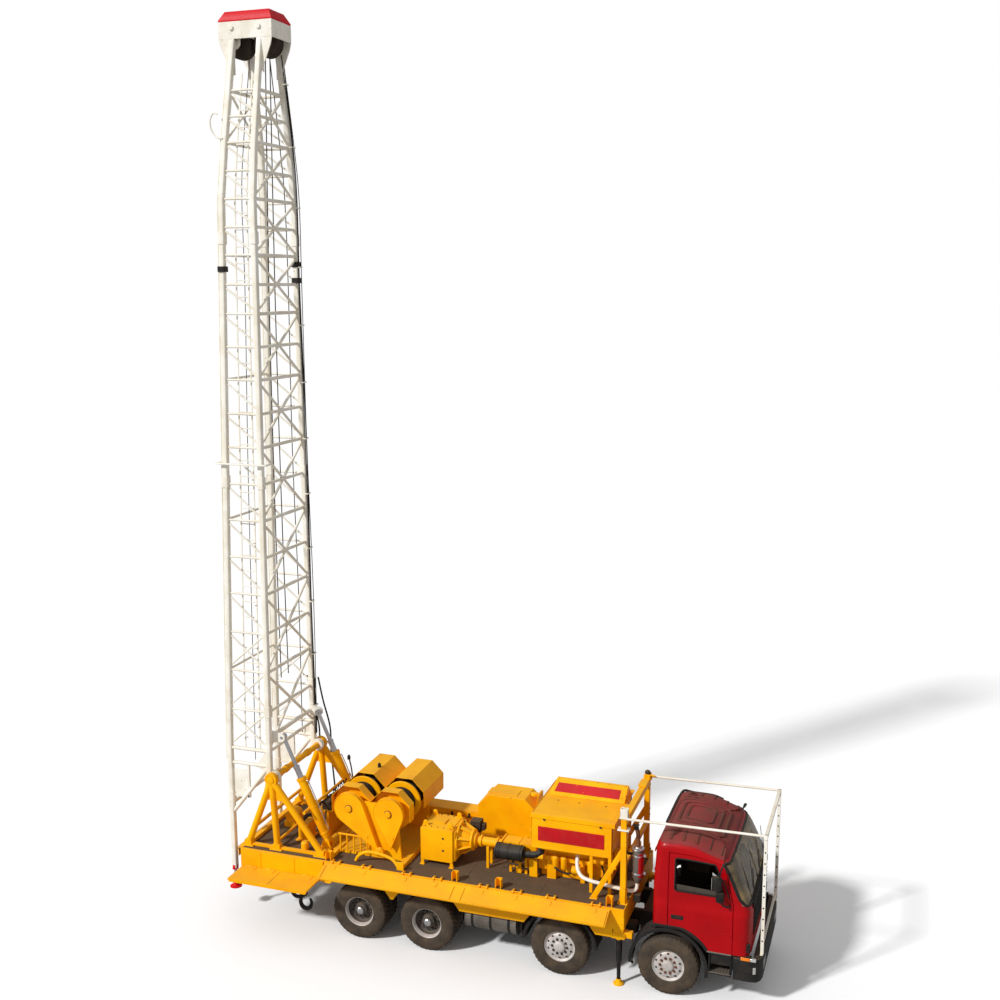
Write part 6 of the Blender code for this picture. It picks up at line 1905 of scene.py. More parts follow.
        runs = [[(-2.30, -0.46, 1.80), (-2.20, -0.60, 1.72), (-1.95, -0.62, 1.66),
                 (-1.80, -0.58, 1.78)],
                [(-1.55, -0.46, 1.60), (-1.45, -0.62, 1.58), (-1.30, -0.60, 1.72),
                 (-1.36, -0.56, 1.92)],
                [(-2.52, -0.30, 1.62), (-2.70, -0.50, 1.56), (-2.92, -0.42, 1.60),
                 (-3.0, -0.30, 1.72)]]
        shop.piece("engine_hoses", "truck", [tube(curve(r, 24), 0.016, 10) for r in runs],
                   Finish.HOSE)
        y, z = -0.64, 1.92
        rings = [lathe([(s, 0.13), (s, 0.152), (s + w, 0.152), (s + w, 0.13)], (0, y, z), ALONG,
                       36, closed=True)
                 for s, w in ((-3.318, 0.022), (-3.275, 0.010), (-3.24, 0.010), (-2.86, 0.022),
                              (-3.08, 0.014))]
        rings.append(lathe([(-3.332, 0.0), (-3.332, 0.10), (-3.318, 0.12), (-3.30, 0.12),
                            (-3.30, 0.0)], (0, y, z), ALONG, 32))
        rings.append(lathe([(-3.305, 0.0), (-3.305, 0.143), (-2.795, 0.143), (-2.78, 0.12),
                            (-2.765, 0.07), (-2.765, 0.0)], (0, y, z), ALONG, 40))
        bend = curve([(-2.80, y, z), (-2.66, y, z + 0.01), (-2.54, y, z + 0.03),
                      (-2.48, y + 0.03, z + 0.08), (-2.475, y + 0.09, z + 0.15)], 24)
        rings.append(tube(bend, 0.062, 20))
        for k in (5, 11, 17):
            rings.append(tube(np.array([bend[k] - (bend[k + 1] - bend[k]) * 0.5,
                                        bend[k] + (bend[k + 1] - bend[k]) * 0.5]), 0.068, 20))
        shop.piece("air_cleaner_rings", "truck", rings, Finish.BLACK, replaces=[])
        valve = [rods([(-3.0, y, 1.79)], [(-3.0, y, 1.70)], 0.022, 12),
                 rods([(-3.06, y - 0.01, 1.71)], [(-2.90, y - 0.01, 1.69)], 0.020, 12),
                 tube(np.array([(-3.13 + 0.045 * a, y - 0.02, 1.66 + 0.045 * b)
                                for a, b in circle(18)]), 0.008, 8, closed=True),
                 rods([(-3.085, y - 0.015, 1.69)], [(-3.04, y - 0.01, 1.71)], 0.010, 8)]
        shop.piece("drain_valve", "truck", valve, Finish.IRON)

    def build_hood(self, shop: Workshop) -> None:
        """The hood: a box open below on four posts, a folded lip, the tall wedge and red panels.

        Args:
            shop: where pieces are made.
        """
        (x0, x1), h, (z0, z1) = self.hood_x, self.hood_half, self.hood_z
        t = 0.012
        walls = [blocks(((x0, x1), (-h, -h + t), (z0, z1)), ((x0, x1), (h - t, h), (z0, z1)),
                        ((x0, x0 + t), (-h + t, h - t), (z0 + 0.05, z1)),
                        ((x1 - t, x1), (-h + t, h - t), (z0 + 0.05, z1)),
                        ((x0, x1), (-h, h), (z1 - t, z1)))]
        for x, y in ((x1 - 0.03, -h + 0.035), (x1 - 0.03, h - 0.035), (x0 + 0.03, h - 0.035)):
            walls.append(blocks(((x - 0.03, x + 0.03), (y - 0.03, y + 0.03),
                                 (self.floor, z1 - t))))
        walls.append(blocks(((x1 - 0.40, x1 - 0.34), (-h + 0.012, -h + 0.05), (self.floor, z0))))
        shop.piece("hood_box", "truck", walls, Finish.YELLOW, bevel=0.005,
                   replaces=["engine_hood"])
        lip = plate([(-h - 0.012, z1 - 0.075), (-h - 0.004, z1 - 0.075), (-h - 0.004, z1 - 0.004),
                     (-h + 0.05, z1 + 0.003), (-h + 0.05, z1 + 0.010), (-h - 0.012, z1 + 0.002)],
                    (x0 - 0.012, x1 + 0.06), "yz")
        rear = blocks(((x0 - 0.012, x0 - 0.002), (-h, h), (z1 - 0.05, z1 + 0.004)),
                      ((x1, x1 + 0.06), (-h, h), (z1 - 0.006, z1 + 0.004)))
        lower = blocks(((x0, x1), (-h - 0.006, -h), (z0, z0 + 0.035)))
        shop.piece("hood_lip", "truck", [lip, rear, lower], Finish.YELLOW, bevel=0.003)
        foot, top, back = 0.09, 0.21, 0.66
        rise = z1 + 0.30
        low = [(x0 + 0.06, foot, z1 - 0.004), (x1 + 0.02, foot, z1 - 0.004),
               (x1 + 0.02, back, z1 - 0.004), (x0 + 0.06, back, z1 - 0.004)]
        high = [(x0 + 0.19, top, rise), (x1 + 0.06, top, rise), (x1 + 0.06, top + 0.06, rise),
                (x0 + 0.19, top + 0.06, rise)]
        wedge = Skin(np.array(low + high), [np.array([[3, 2, 1, 0], [4, 5, 6, 7], [0, 1, 5, 4],
                                                      [1, 2, 6, 5], [2, 3, 7, 6], [3, 0, 4, 7]])])
        shop.piece("hood_wedge", "truck", [wedge], Finish.YELLOW, bevel=0.008)
        panel = [blocks(((-2.475, -1.254), (-h - 0.010, -h - 0.002), (2.315, 2.585)))]
        a, b = np.array(low), np.array(high)

        def face(u: float, v: float, out: float) -> np.ndarray:
            """A point of the wedge's near face, off it by out."""
            left, right = a[0] + (b[0] - a[0]) * v, a[1] + (b[1] - a[1]) * v
            return left + (right - left) * u + np.array((0.0, -0.93, 0.37)) * out

        corners = [(0.05, 0.24), (0.915, 0.24), (0.915, 0.76), (0.05, 0.76)]
        pts = np.array([face(u, v, out) for out in (0.001, 0.008) for u, v in corners])
        panel.append(Skin(pts, [np.array([[3, 2, 1, 0], [4, 5, 6, 7], [0, 1, 5, 4],
                                          [1, 2, 6, 5], [2, 3, 7, 6], [3, 0, 4, 7]])]))
        shop.piece("hood_panels", "truck", panel, Finish.BADGE, bevel=0.002)
        latch = [bolts([(x, -h - 0.012, z1 - 0.085) for x in (-2.36, -1.32)], (0, -1, 0), 0.014),
                 bolts([(x, -0.1, z1) for x in (-2.3, -1.9, -1.4)], UP, 0.010, 0.006),
                 blocks(((-2.625, -2.60), (-0.72, -0.69), (2.22, 2.44)))]
        shop.piece("hood_latches", "truck", latch, Finish.IRON)

    def build_exhaust(self, shop: Workshop) -> None:
        """White exhaust pipe from the engine to the muffler, clamps, stack and its flap.

        Args:
            shop: where pieces are made.
        """
        pipe = curve([(-1.80, -0.46, 2.04), (-1.79, -0.60, 1.99), (-1.76, -0.70, 1.84),
                      (-1.66, -0.78, 1.735), (-1.50, -0.80, 1.69), (-1.306, -0.80, 1.664),
                      (-0.94, -0.80, 1.625), (-0.74, -0.80, 1.62), (-0.66, -0.80, 1.68),
                      (-0.645, -0.80, 1.78)], 70)
        shop.piece("exhaust_pipe", "truck", [tube(pipe, 0.034, 18)], Finish.WHITE)
        x, y = -0.64, -0.80
        body = lathe([(1.80, 0.0), (1.80, 0.045), (1.83, 0.055), (1.90, 0.098), (2.40, 0.098),
                      (2.43, 0.06), (2.43, 0.0)], (x, y, 0), UP, 36)
        shop.piece("muffler_body", "truck", [body], Finish.ALLOY, replaces=["exhaust"])
        half = arc((0, 0), 0.101, -75, 60, 14)
        sheet = np.vstack((half, half[::-1] * (0.098 / 0.101)))
        shop.piece("muffler_shield", "truck",
                   [plate(sheet + (x, y), (1.93, 2.36), "xy")], Finish.BADGE)
        bands = [lathe([(s, 0.097), (s, 0.108), (s + 0.03, 0.108), (s + 0.03, 0.097)], (x, y, 0),
                       UP, 36, closed=True) for s in (1.97, 2.30)]
        bands.append(lathe([(2.425, 0.0), (2.425, 0.112), (2.435, 0.118), (2.447, 0.112),
                            (2.452, 0.07), (2.475, 0.058), (2.475, 0.0)], (x, y, 0), UP, 36))
        for s in (1.985, 2.315):
            bands.append(blocks(((x + 0.09, x + 0.145), (y - 0.02, y + 0.02), (s - 0.02, s + 0.02))))
        shop.piece("muffler_bands", "truck", bands, Finish.STEEL, bevel=0.002)
        bracket = [blocks(((-0.86, x - 0.08), (y - 0.02, y + 0.02), (1.97, 2.01)),
                          ((-0.86, x - 0.08), (y - 0.02, y + 0.02), (2.30, 2.34)),
                          ((-0.70, -0.58), (y - 0.06, y + 0.06), (1.44, 1.58)))]
        shop.piece("muffler_bracket", "truck", bracket, Finish.UNDER, bevel=0.003)
        stack = curve([(x, y, 2.44), (x, y, 2.58), (x - 0.005, y, 2.70), (x - 0.03, y, 2.80)], 16)
        shop.piece("exhaust_stack", "truck", [tube(stack, 0.037, 18)], Finish.RUST)
        tip = [rods([(x - 0.03, y, 2.79)], [(x - 0.045, y, 2.855)], 0.042, 18),
               blocks(((x - 0.10, x + 0.01), (y - 0.05, y + 0.05), (2.855, 2.862)))]
        shop.piece("exhaust_flap", "truck", tip, Finish.BLACK)

    def build_stores(self, shop: Workshop) -> None:
        """Oil tank cap, straps and pipes; toolbox ribs, lid and latches; deck clutter; a dark block
        behind the gearbox bell that is painted shade.

        Args:
            shop: where pieces are made.
        """
        parts = [lathe([(2.41, 0.0), (2.41, 0.075), (2.45, 0.075), (2.46, 0.05), (2.46, 0.0)],
                       (-3.05, 0.85, 0), UP, 24),
                 blocks(((-3.95, -3.35), (0.66, 0.92), (2.418, 2.432)))]
        for x in (-2.955, -2.93):
            parts.append(blocks(((x - 0.006, x + 0.006), (0.70, 1.0), (2.20, 2.47))))
        parts.append(rods([(-2.95, 0.72, 2.46)], [(-2.95, 0.98, 2.46)], 0.018, 12))
        for x in np.linspace(-5.28, -4.20, 7):
            parts.append(blocks(((x - 0.02, x + 0.02), (0.785, 0.80), (1.48, 1.87))))
        parts.append(blocks(((-5.40, -4.08), (0.775, 1.15), (1.885, 1.915))))
        parts.append(blocks(((-5.40, -4.08), (0.77, 0.785), (1.82, 1.915))))
        shop.piece("tank_fittings", "truck", parts, Finish.YELLOW, bevel=0.003)
        locks = [blocks(*[((x - 0.02, x + 0.02), (0.755, 0.775), (1.78, 1.88))
                          for x in (-5.1, -4.74, -4.38)])]
        locks.append(blocks(((-2.96, -2.90), (0.60, 0.63), (1.95, 2.15))))
        shop.piece("toolbox_locks", "truck", locks, Finish.IRON, bevel=0.003)
        pipes = [curve([(-4.16, 0.2, 1.75), (-3.8, 0.30, 1.70), (-3.4, 0.42, 1.66),
                        (-3.1, 0.55, 1.64)], 20),
                 curve([(-5.0, 0.2, 1.60), (-4.7, 0.4, 1.56), (-4.4, 0.5, 1.56),
                        (-4.1, 0.6, 1.62)], 20)]
        shop.piece("deck_pipes", "truck", [tube(p, 0.035, 14) for p in pipes], Finish.YELLOW)
        # Dark iron-coloured block behind the gearbox bell: painted shade, not a working part.
        shop.piece("bell_shade_block", "truck",
                   [blocks(((-4.06, -3.86), (-0.04, 0.16), (1.88, 2.12)),
                           ((-3.86, -3.78), (0.0, 0.12), (1.94, 2.06)))], Finish.IRON, bevel=0.006)


# ------------------------------------------------------------------------------ mast rest
@dataclass
class Rest:
    """Yellow posts and beam that the lowered mast lies on, with the white guard about the cab."""

    x: float = -0.86
    y: float = 0.95
    top: float = 3.05
    floor: float = 1.4503
    guard_y: float = 1.00
    guard_z: float = 3.10
    front: float = 1.57

    def build(self, shop: Workshop) -> None:
        """Makes the rest's and the guard's pieces.

        Args:
            shop: where pieces are made.
        """
        x, y, f = self.x, self.y, self.floor
        posts = [blocks(((x - 0.05, x + 0.05), (y - 0.05, y + 0.05), (f, self.top)),
                        ((x - 0.09, x + 0.09), (y - 0.09, y + 0.09), (f, f + 0.02)),
                        ((x - 0.055, x + 0.055), (y - 0.055, y + 0.055), (1.08, f))),
                 struts([(x - 0.535, y, f + 0.02)], [(x - 0.02, y, 2.42)],
                        rounded(0.095, 0.03, 0.006), ACROSS),
                 blocks(((x - 0.60, x - 0.46), (y - 0.06, y + 0.06), (f, f + 0.016)),
                        ((x - 0.05, x + 0.05), (y + 0.05, y + 0.075), (f, f + 0.30)),
                        ((x + 0.04, x + 0.07), (y - 0.04, y + 0.04), (f + 0.02, f + 0.26)))]
        beam = [blocks(((x - 0.055, x + 0.055), (-y, y), (self.top - 0.14, self.top - 0.02)),
                       ((x - 0.075, x + 0.075), (-0.75, -0.45), (self.top - 0.02, self.top + 0.02)),
                       ((x - 0.075, x + 0.075), (0.45, 0.75), (self.top - 0.02, self.top + 0.02)),
                       ((x - 0.035, x + 0.035), (-y, y), (2.10, 2.18)))]
        shop.piece("rest_posts", "truck", both(posts) + beam, Finish.YELLOW, bevel=0.005,
                   replaces=["mast_rest"])
        pins = [rods([(x - 0.08, -y, f + 0.16)], [(x + 0.09, -y, f + 0.16)], 0.022, 14),
                bolts([(x + 0.05, -y, z) for z in (2.30, 2.42, 2.9)], ALONG, 0.012)]
        head = [blocks(((x - 0.06, x + 0.06), (y - 0.075, y - 0.055), (self.top - 0.05,
                                                                       self.top + 0.06)),
                        ((x - 0.06, x + 0.06), (y + 0.055, y + 0.075), (self.top - 0.05,
                                                                       self.top + 0.06)),
                        ((x - 0.075, x + 0.075), (y - 0.08, y + 0.08), (self.top - 0.07,
                                                                       self.top - 0.03)))]
        head.append(lathe([(0, 0), (0, 0.03), (0.10, 0.012), (0.10, 0)],
                          (x + 0.05, y, self.top + 0.02), ALONG, 16))
        shop.piece("rest_clevis", "truck", head, Finish.YELLOW, bevel=0.005)
        tip = [lathe([(0, 0.0), (0, 0.05), (0.04, 0.055), (0.065, 0.035), (0.065, 0.0)],
                     (x, y, self.top + 0.05), UP, 20)]
        shop.piece("rest_tip", "truck", tip + both(pins), Finish.IRON)
        cap = [blocks(((x - 0.065, x + 0.065), (-y - 0.05, -y - 0.035), (self.top, self.top + 0.16)),
                      ((x - 0.065, x + 0.065), (-y + 0.035, -y + 0.05), (self.top, self.top + 0.16)),
                      ((x - 0.065, x - 0.05), (-y - 0.05, -y + 0.05), (self.top, self.top + 0.15)),
                      ((x + 0.05, x + 0.065), (-y - 0.05, -y + 0.05), (self.top, self.top + 0.13)),
                      ((x - 0.075, x + 0.075), (-y - 0.065, -y + 0.065), (self.top - 0.02,
                                                                        self.top + 0.012)),
                      ((x - 0.11, x + 0.10), (-y - 0.07, -y + 0.07), (self.top - 0.24,
                                                                    self.top - 0.21)))]
        shop.piece("rest_cap", "truck", cap, Finish.WHITE, bevel=0.004)
        gy, gz, fx = self.guard_y, self.guard_z, self.front
        slope = 0.06
        bars = [rods([(x + 0.05, gy, gz - slope)], [(fx, gy, gz - 0.02)], 0.022, 16),
                blocks(((fx - 0.028, fx + 0.028), (gy - 0.028, gy + 0.028), (0.96, gz)),
                       ((fx - 0.028, fx + 0.028), (gy - 0.05, gy + 0.05), (gz - 0.06, gz - 0.054)),
                       ((fx - 0.03, fx + 0.02), (gy - 0.06, gy + 0.06), (0.95, 0.962)))]
        cross = [blocks(((fx - 0.028, fx + 0.028), (-gy, gy), (gz - 0.056, gz)),
                        ((fx - 0.02, fx + 0.02), (-gy, gy), (1.10, 1.14)))]
        shop.piece("cab_guard", "truck", both(bars) + cross, Finish.WHITE, bevel=0.004)
        holes = [bolts([(fx, side * gy - 0.0285, z) for z in np.arange(1.2, 3.0, 0.2)],
                       (0, -1, 0), 0.010, 0.002) for side in (-1, 1)]
        shop.piece("guard_bolts", "truck", holes, Finish.IRON)


# ------------------------------------------------------------------------------ chassis
@dataclass
class Chassis:
    """Springs, shafts, tanks and straps, boxes, lamps, front jacks, bumper lamps and steps."""

    axles: Tuple[float, ...] = (0.0, -1.95, -4.50, -5.87)
    wheel_r: float = 0.54
    rail: float = 0.39
    jack: Tuple[float, float] = (-0.88, 1.13)

    def build(self, shop: Workshop) -> None:
        """Makes the pieces below the deck.

        Args:
            shop: where pieces are made.
        """
        self.build_axles(shop)
        self.build_boxes(shop)
        self.build_jacks(shop)
        self.build_front(shop)

    def build_axles(self, shop: Workshop) -> None:
        """Leaf springs, shackles, brake chambers and propeller shafts.

        Args:
            shop: where pieces are made.
        """
        leaves, shafts, pots = [], [], []
        for x in self.axles:
            for k in range(5):
                run = 0.62 - 0.10 * k
                s = np.linspace(-run, run, 15)
                path = np.stack((x + s, 0 * s + self.rail, 0.70 - 0.018 * k + 0.10 * s ** 2), -1)
                leaves.append(sweep(rounded(0.08, 0.015, 0.004, 1), path, UP))
            leaves.append(blocks(((x - 0.08, x + 0.08), (self.rail - 0.06, self.rail + 0.06),
                                  (0.58, 0.62)),
                                 ((x - 0.66, x - 0.60), (self.rail - 0.03, self.rail + 0.03),
                                  (0.70, 0.86)),
                                 ((x + 0.60, x + 0.66), (self.rail - 0.03, self.rail + 0.03),
                                  (0.70, 0.86))))
            pots.append(lathe([(0, 0), (0, 0.075), (0.10, 0.08), (0.14, 0.06), (0.14, 0.0)],
                              (x + 0.16, self.rail + 0.20, 0.66), ALONG, 20))
        runs = [(-4.25, -0.35, 0.60), (-5.60, -4.75, 0.60)]
        for a, b, z in runs:
            shafts.append(rods([(a, 0, z)], [(b, 0, z + 0.12)], 0.055, 18))
            for x, zz in ((a, z), (b, z + 0.12)):
                shafts.append(lathe([(-0.05, 0.0), (-0.05, 0.085), (0.05, 0.085), (0.05, 0.0)],
                                    (x, 0, zz), ALONG, 18))
        for x in self.axles[2:]:
            shafts.append(lathe([(-0.20, 0.0), (-0.20, 0.09), (-0.10, 0.19), (0.10, 0.19),
                                 (0.18, 0.09), (0.18, 0.0)], (x, 0.0, self.wheel_r), ACROSS, 28))
        shop.piece("leaf_springs", "truck", both(leaves), Finish.IRON)
        shop.piece("brake_chambers", "truck", both(pots), Finish.BLACK)
        shop.piece("propeller_shafts", "truck", shafts, Finish.IRON)

    def build_boxes(self, shop: Workshop) -> None:
        """Straps on the side tank, battery box, air tanks, tool box and tail lamps.

        Args:
            shop: where pieces are made.
        """
        straps = []
        for x in (-3.62, -3.27, -2.92):
            straps.append(lathe([(-0.022, 0.255), (-0.022, 0.268), (0.022, 0.268),
                                 (0.022, 0.255)], (x, -0.90, 0.76), ALONG, 36, closed=True))
            straps.append(blocks(((x - 0.03, x + 0.03), (-0.72, -0.43), (0.90, 0.96)),
                                 ((x - 0.03, x + 0.03), (-0.70, -0.43), (0.58, 0.63))))
        straps.append(lathe([(0.0, 0.0), (0.0, 0.06), (0.035, 0.06), (0.045, 0.03), (0.045, 0.0)],
                            (-3.45, -0.90, 1.015), UP, 24))
        shop.piece("tank_straps", "truck", straps, Finish.BLACK, bevel=0.002)
        caps = [lathe([(s, 0.20), (s, 0.2655), (s + 0.02, 0.2655), (s + 0.02, 0.20)],
                      (0, -0.90, 0.76), ALONG, 40, closed=True) for s in (-3.765, -2.80)]
        shop.piece("tank_rims", "truck", caps, Finish.ALLOY)
        boxes = [blocks(((-2.70, -2.58), (-1.12, -0.44), (0.60, 1.02)),
                        ((-3.74, -2.80), (0.50, 1.10), (0.52, 1.02)),
                        ((-3.76, -2.78), (0.49, 1.115), (1.00, 1.04)))]
        boxes += [lathe([(-0.36, 0.0), (-0.36, 0.08), (-0.32, 0.12), (0.32, 0.12), (0.36, 0.08),
                         (0.36, 0.0)], (-1.0, side * 0.62, 0.86), ALONG, 24) for side in (-1, 1)]
        boxes.append(blocks(((-1.22, -1.06), (-0.30, 0.30), (0.86, 1.14)),
                            ((-7.60, -6.90), (-0.30, 0.30), (0.84, 1.04)),
                            ((-8.38, -8.30), (-1.16, 1.16), (0.84, 1.06))))
        shop.piece("side_boxes", "truck", boxes, Finish.UNDER, bevel=0.008)
        lamps = [blocks(*[((-8.395, -8.375), (side * 1.02 - 0.09, side * 1.02 + 0.09),
                           (0.90, 1.0)) for side in (-1, 1)])]
        shop.piece("tail_lamps", "truck", lamps, Finish.BADGE, bevel=0.006)
        bars = [rods([(-8.1, -1.0, 0.98)], [(-6.55, -1.0, 0.98)], 0.022, 12)]
        shop.piece("under_bars", "truck", both(bars), Finish.BLACK)

    def build_jacks(self, shop: Workshop) -> None:
        """Front jacks: yellow bracket and pad, black stem, collar and hanging chain.

        Args:
            shop: where pieces are made.
        """
        x, y = self.jack
        yellow = [blocks(((x - 0.09, x + 0.09), (y - 0.09, y + 0.08), (0.98, 1.40)),
                         ((x - 0.12, x + 0.12), (y - 0.12, y + 0.09), (0.90, 1.0)),
                         ((x - 0.07, x + 0.07), (0.43, y), (1.02, 1.12)),
                         ((x + 0.02, x + 0.24), (y - 0.06, y + 0.06), (0.92, 1.02)))]
        yellow.append(lathe([(0.0, 0.0), (0.0, 0.095), (0.02, 0.095), (0.05, 0.055),
                             (0.10, 0.045), (0.10, 0.0)], (x, y, 0.0), UP, 32))
        yellow.append(lathe([(0.86, 0.0), (0.86, 0.062), (0.92, 0.085), (0.95, 0.085),
                             (0.95, 0.0)], (x, y, 0.0), UP, 28))
        black = [lathe([(0.10, 0.0), (0.10, 0.033), (0.42, 0.036), (0.44, 0.052), (0.86, 0.052),
                        (0.86, 0.0)], (x, y, 0.0), UP, 24)]
        shop.piece("jack_blocks", "truck", both(yellow), Finish.YELLOW, bevel=0.004,
                   replaces=["front_jacks"])
        shop.piece("jack_stems", "truck", both(black), Finish.BLACK)
        links = []
        for k in range(9):
            z = 0.88 - 0.045 * k
            ring = circle(14) * (0.014, 0.028)
            zero = np.zeros(14)
            path = (np.stack((ring[:, 0], zero, ring[:, 1]), -1) if k % 2 else
                    np.stack((zero, ring[:, 0], ring[:, 1]), -1))
            links.append(tube(path + (x + 0.24, y, z), 0.006, 6, closed=True))
        links.append(lathe([(-0.02, 0.0), (-0.02, 0.02), (0.02, 0.02), (0.02, 0.0)],
                           (x + 0.24, y, 0.46), UP, 12))
        shop.piece("jack_chains", "truck", both(links), Finish.IRON)

    def build_front(self, shop: Workshop) -> None:
        """Bumper lamps, grille, fenders about the first wheels, and steps with tread plates.

        Args:
            shop: where pieces are made.
        """
        arches, treads, steps = [], [], []
        for x, a, b in ((0.0, -8, 184), (-1.95, 6, 174)):
            outer, inner = arc((x, self.wheel_r), 0.69, a, b, 30), arc((x, self.wheel_r), 0.665,
                                                                     b, a, 30)
            arches.append(plate(np.vstack((outer, inner)), (-1.19, -0.78)))
            lip, low = arc((x, self.wheel_r), 0.70, a, b, 30), arc((x, self.wheel_r), 0.64,
                                                                  b, a, 30)
            arches.append(plate(np.vstack((lip, low)), (-1.205, -1.185)))
        shop.piece("wheel_fenders", "truck", both(arches), Finish.TRIM, bevel=0.003)
        steps.append(blocks(((0.70, 1.08), (-1.205, -0.80), (0.54, 0.57)),
                            ((0.70, 0.72), (-1.205, -0.80), (0.54, 0.93)),
                            ((1.06, 1.08), (-1.205, -0.80), (0.54, 0.93)),
                            ((0.72, 1.06), (-1.18, -1.16), (0.72, 0.90)),
                            ((0.70, 1.08), (-1.19, -0.80), (0.90, 0.93))))
        shop.piece("step_boxes", "truck", both(steps), Finish.BLACK, bevel=0.005)
        treads.append(blocks(((0.705, 1.075), (-1.212, -0.90), (0.569, 0.577)),
                             ((0.66, 1.08), (-1.212, -1.19), (0.932, 0.957))))
        for x in np.linspace(0.74, 1.04, 7):
            treads.append(blocks(((x - 0.008, x + 0.008), (-1.20, -0.92), (0.577, 0.584))))
        shop.piece("step_treads", "truck", both(treads), Finish.ALLOY, bevel=0.002)
        bow = [(1.12, -1.175), (1.30, -1.175), (1.42, -1.172), (1.50, -1.145), (1.545, -1.08),
               (1.562, -0.98), (1.565, -0.5), (1.565, 0.5), (1.562, 0.98), (1.545, 1.08),
               (1.50, 1.145), (1.42, 1.172), (1.30, 1.175), (1.12, 1.175)]
        path = np.array([(x, y, 0.71) for x, y in bow])
        bar = sweep(rounded(0.07, 0.42, 0.03, 3), path, UP)
        lower = sweep(rounded(0.05, 0.10, 0.02, 2), path[4:-4] - (0.01, 0, 0.16), UP)
        shop.piece("front_bumper", "truck", [bar, lower], Finish.BLACK, replaces=["bumper"])
        lamps = [blocks(((1.588, 1.599), (-0.95, -0.66), (0.64, 0.80)),
                        ((1.588, 1.598), (-0.60, -0.44), (0.64, 0.80)))]
        corner = arc((1.40, -1.05), 0.163, -72, -14, 10)
        sheet = np.vstack((corner, (corner - (1.40, -1.05))[::-1] * 0.95 + (1.40, -1.05)))
        lamps.append(plate(sheet, (0.66, 0.78), "xy"))
        shop.piece("bumper_lamps", "truck", both(lamps), Finish.LENS, bevel=0.003)
        guard = [blocks(((1.44, 1.53), (-1.10, 1.10), (0.905, 0.93)),
                        ((1.44, 1.50), (-0.46, -0.34), (0.62, 0.86)),
                        ((1.44, 1.50), (0.34, 0.46), (0.62, 0.86)))]
        guard += [rods([(1.47, side * 0.42, 0.56)], [(1.592, side * 0.42, 0.56)], 0.03, 16)
                  for side in (-1, 1)]
        shop.piece("bumper_trim", "truck", guard, Finish.BLACK, bevel=0.004)


# ------------------------------------------------------------------------------ cab
def thick(points: np.ndarray, faces: np.ndarray, inner: np.ndarray) -> Skin:
    """A closed sheet between an open patch and its inner copy.

    Args:
        points: the patch's points (N, 3).
        faces: its quads (F, 4), turned outward.
        inner: where each point lies on the inner side (N, 3).

    Returns:
        The skin, with a rim along every open edge.
    """
    used = np.unique(faces)
    index = np.zeros(len(points), int)
    index[used] = np.arange(len(used))
    quads, n = index[faces], len(used)
    a, b = quads.ravel(), np.roll(quads, -1, axis=1).ravel()
    lone = ~np.isin(a * n + b, b * n + a)
    rim = np.stack((b[lone], a[lone], a[lone] + n, b[lone] + n), -1)
    return Skin(np.vstack((points[used], inner[used])), [quads, quads[:, ::-1] + n, rim])


def ease(value: np.ndarray) -> np.ndarray:
    """Smooth step from 0 to 1."""
    t = np.clip(value, 0.0, 1.0)
    return t * t * (3 - 2 * t)


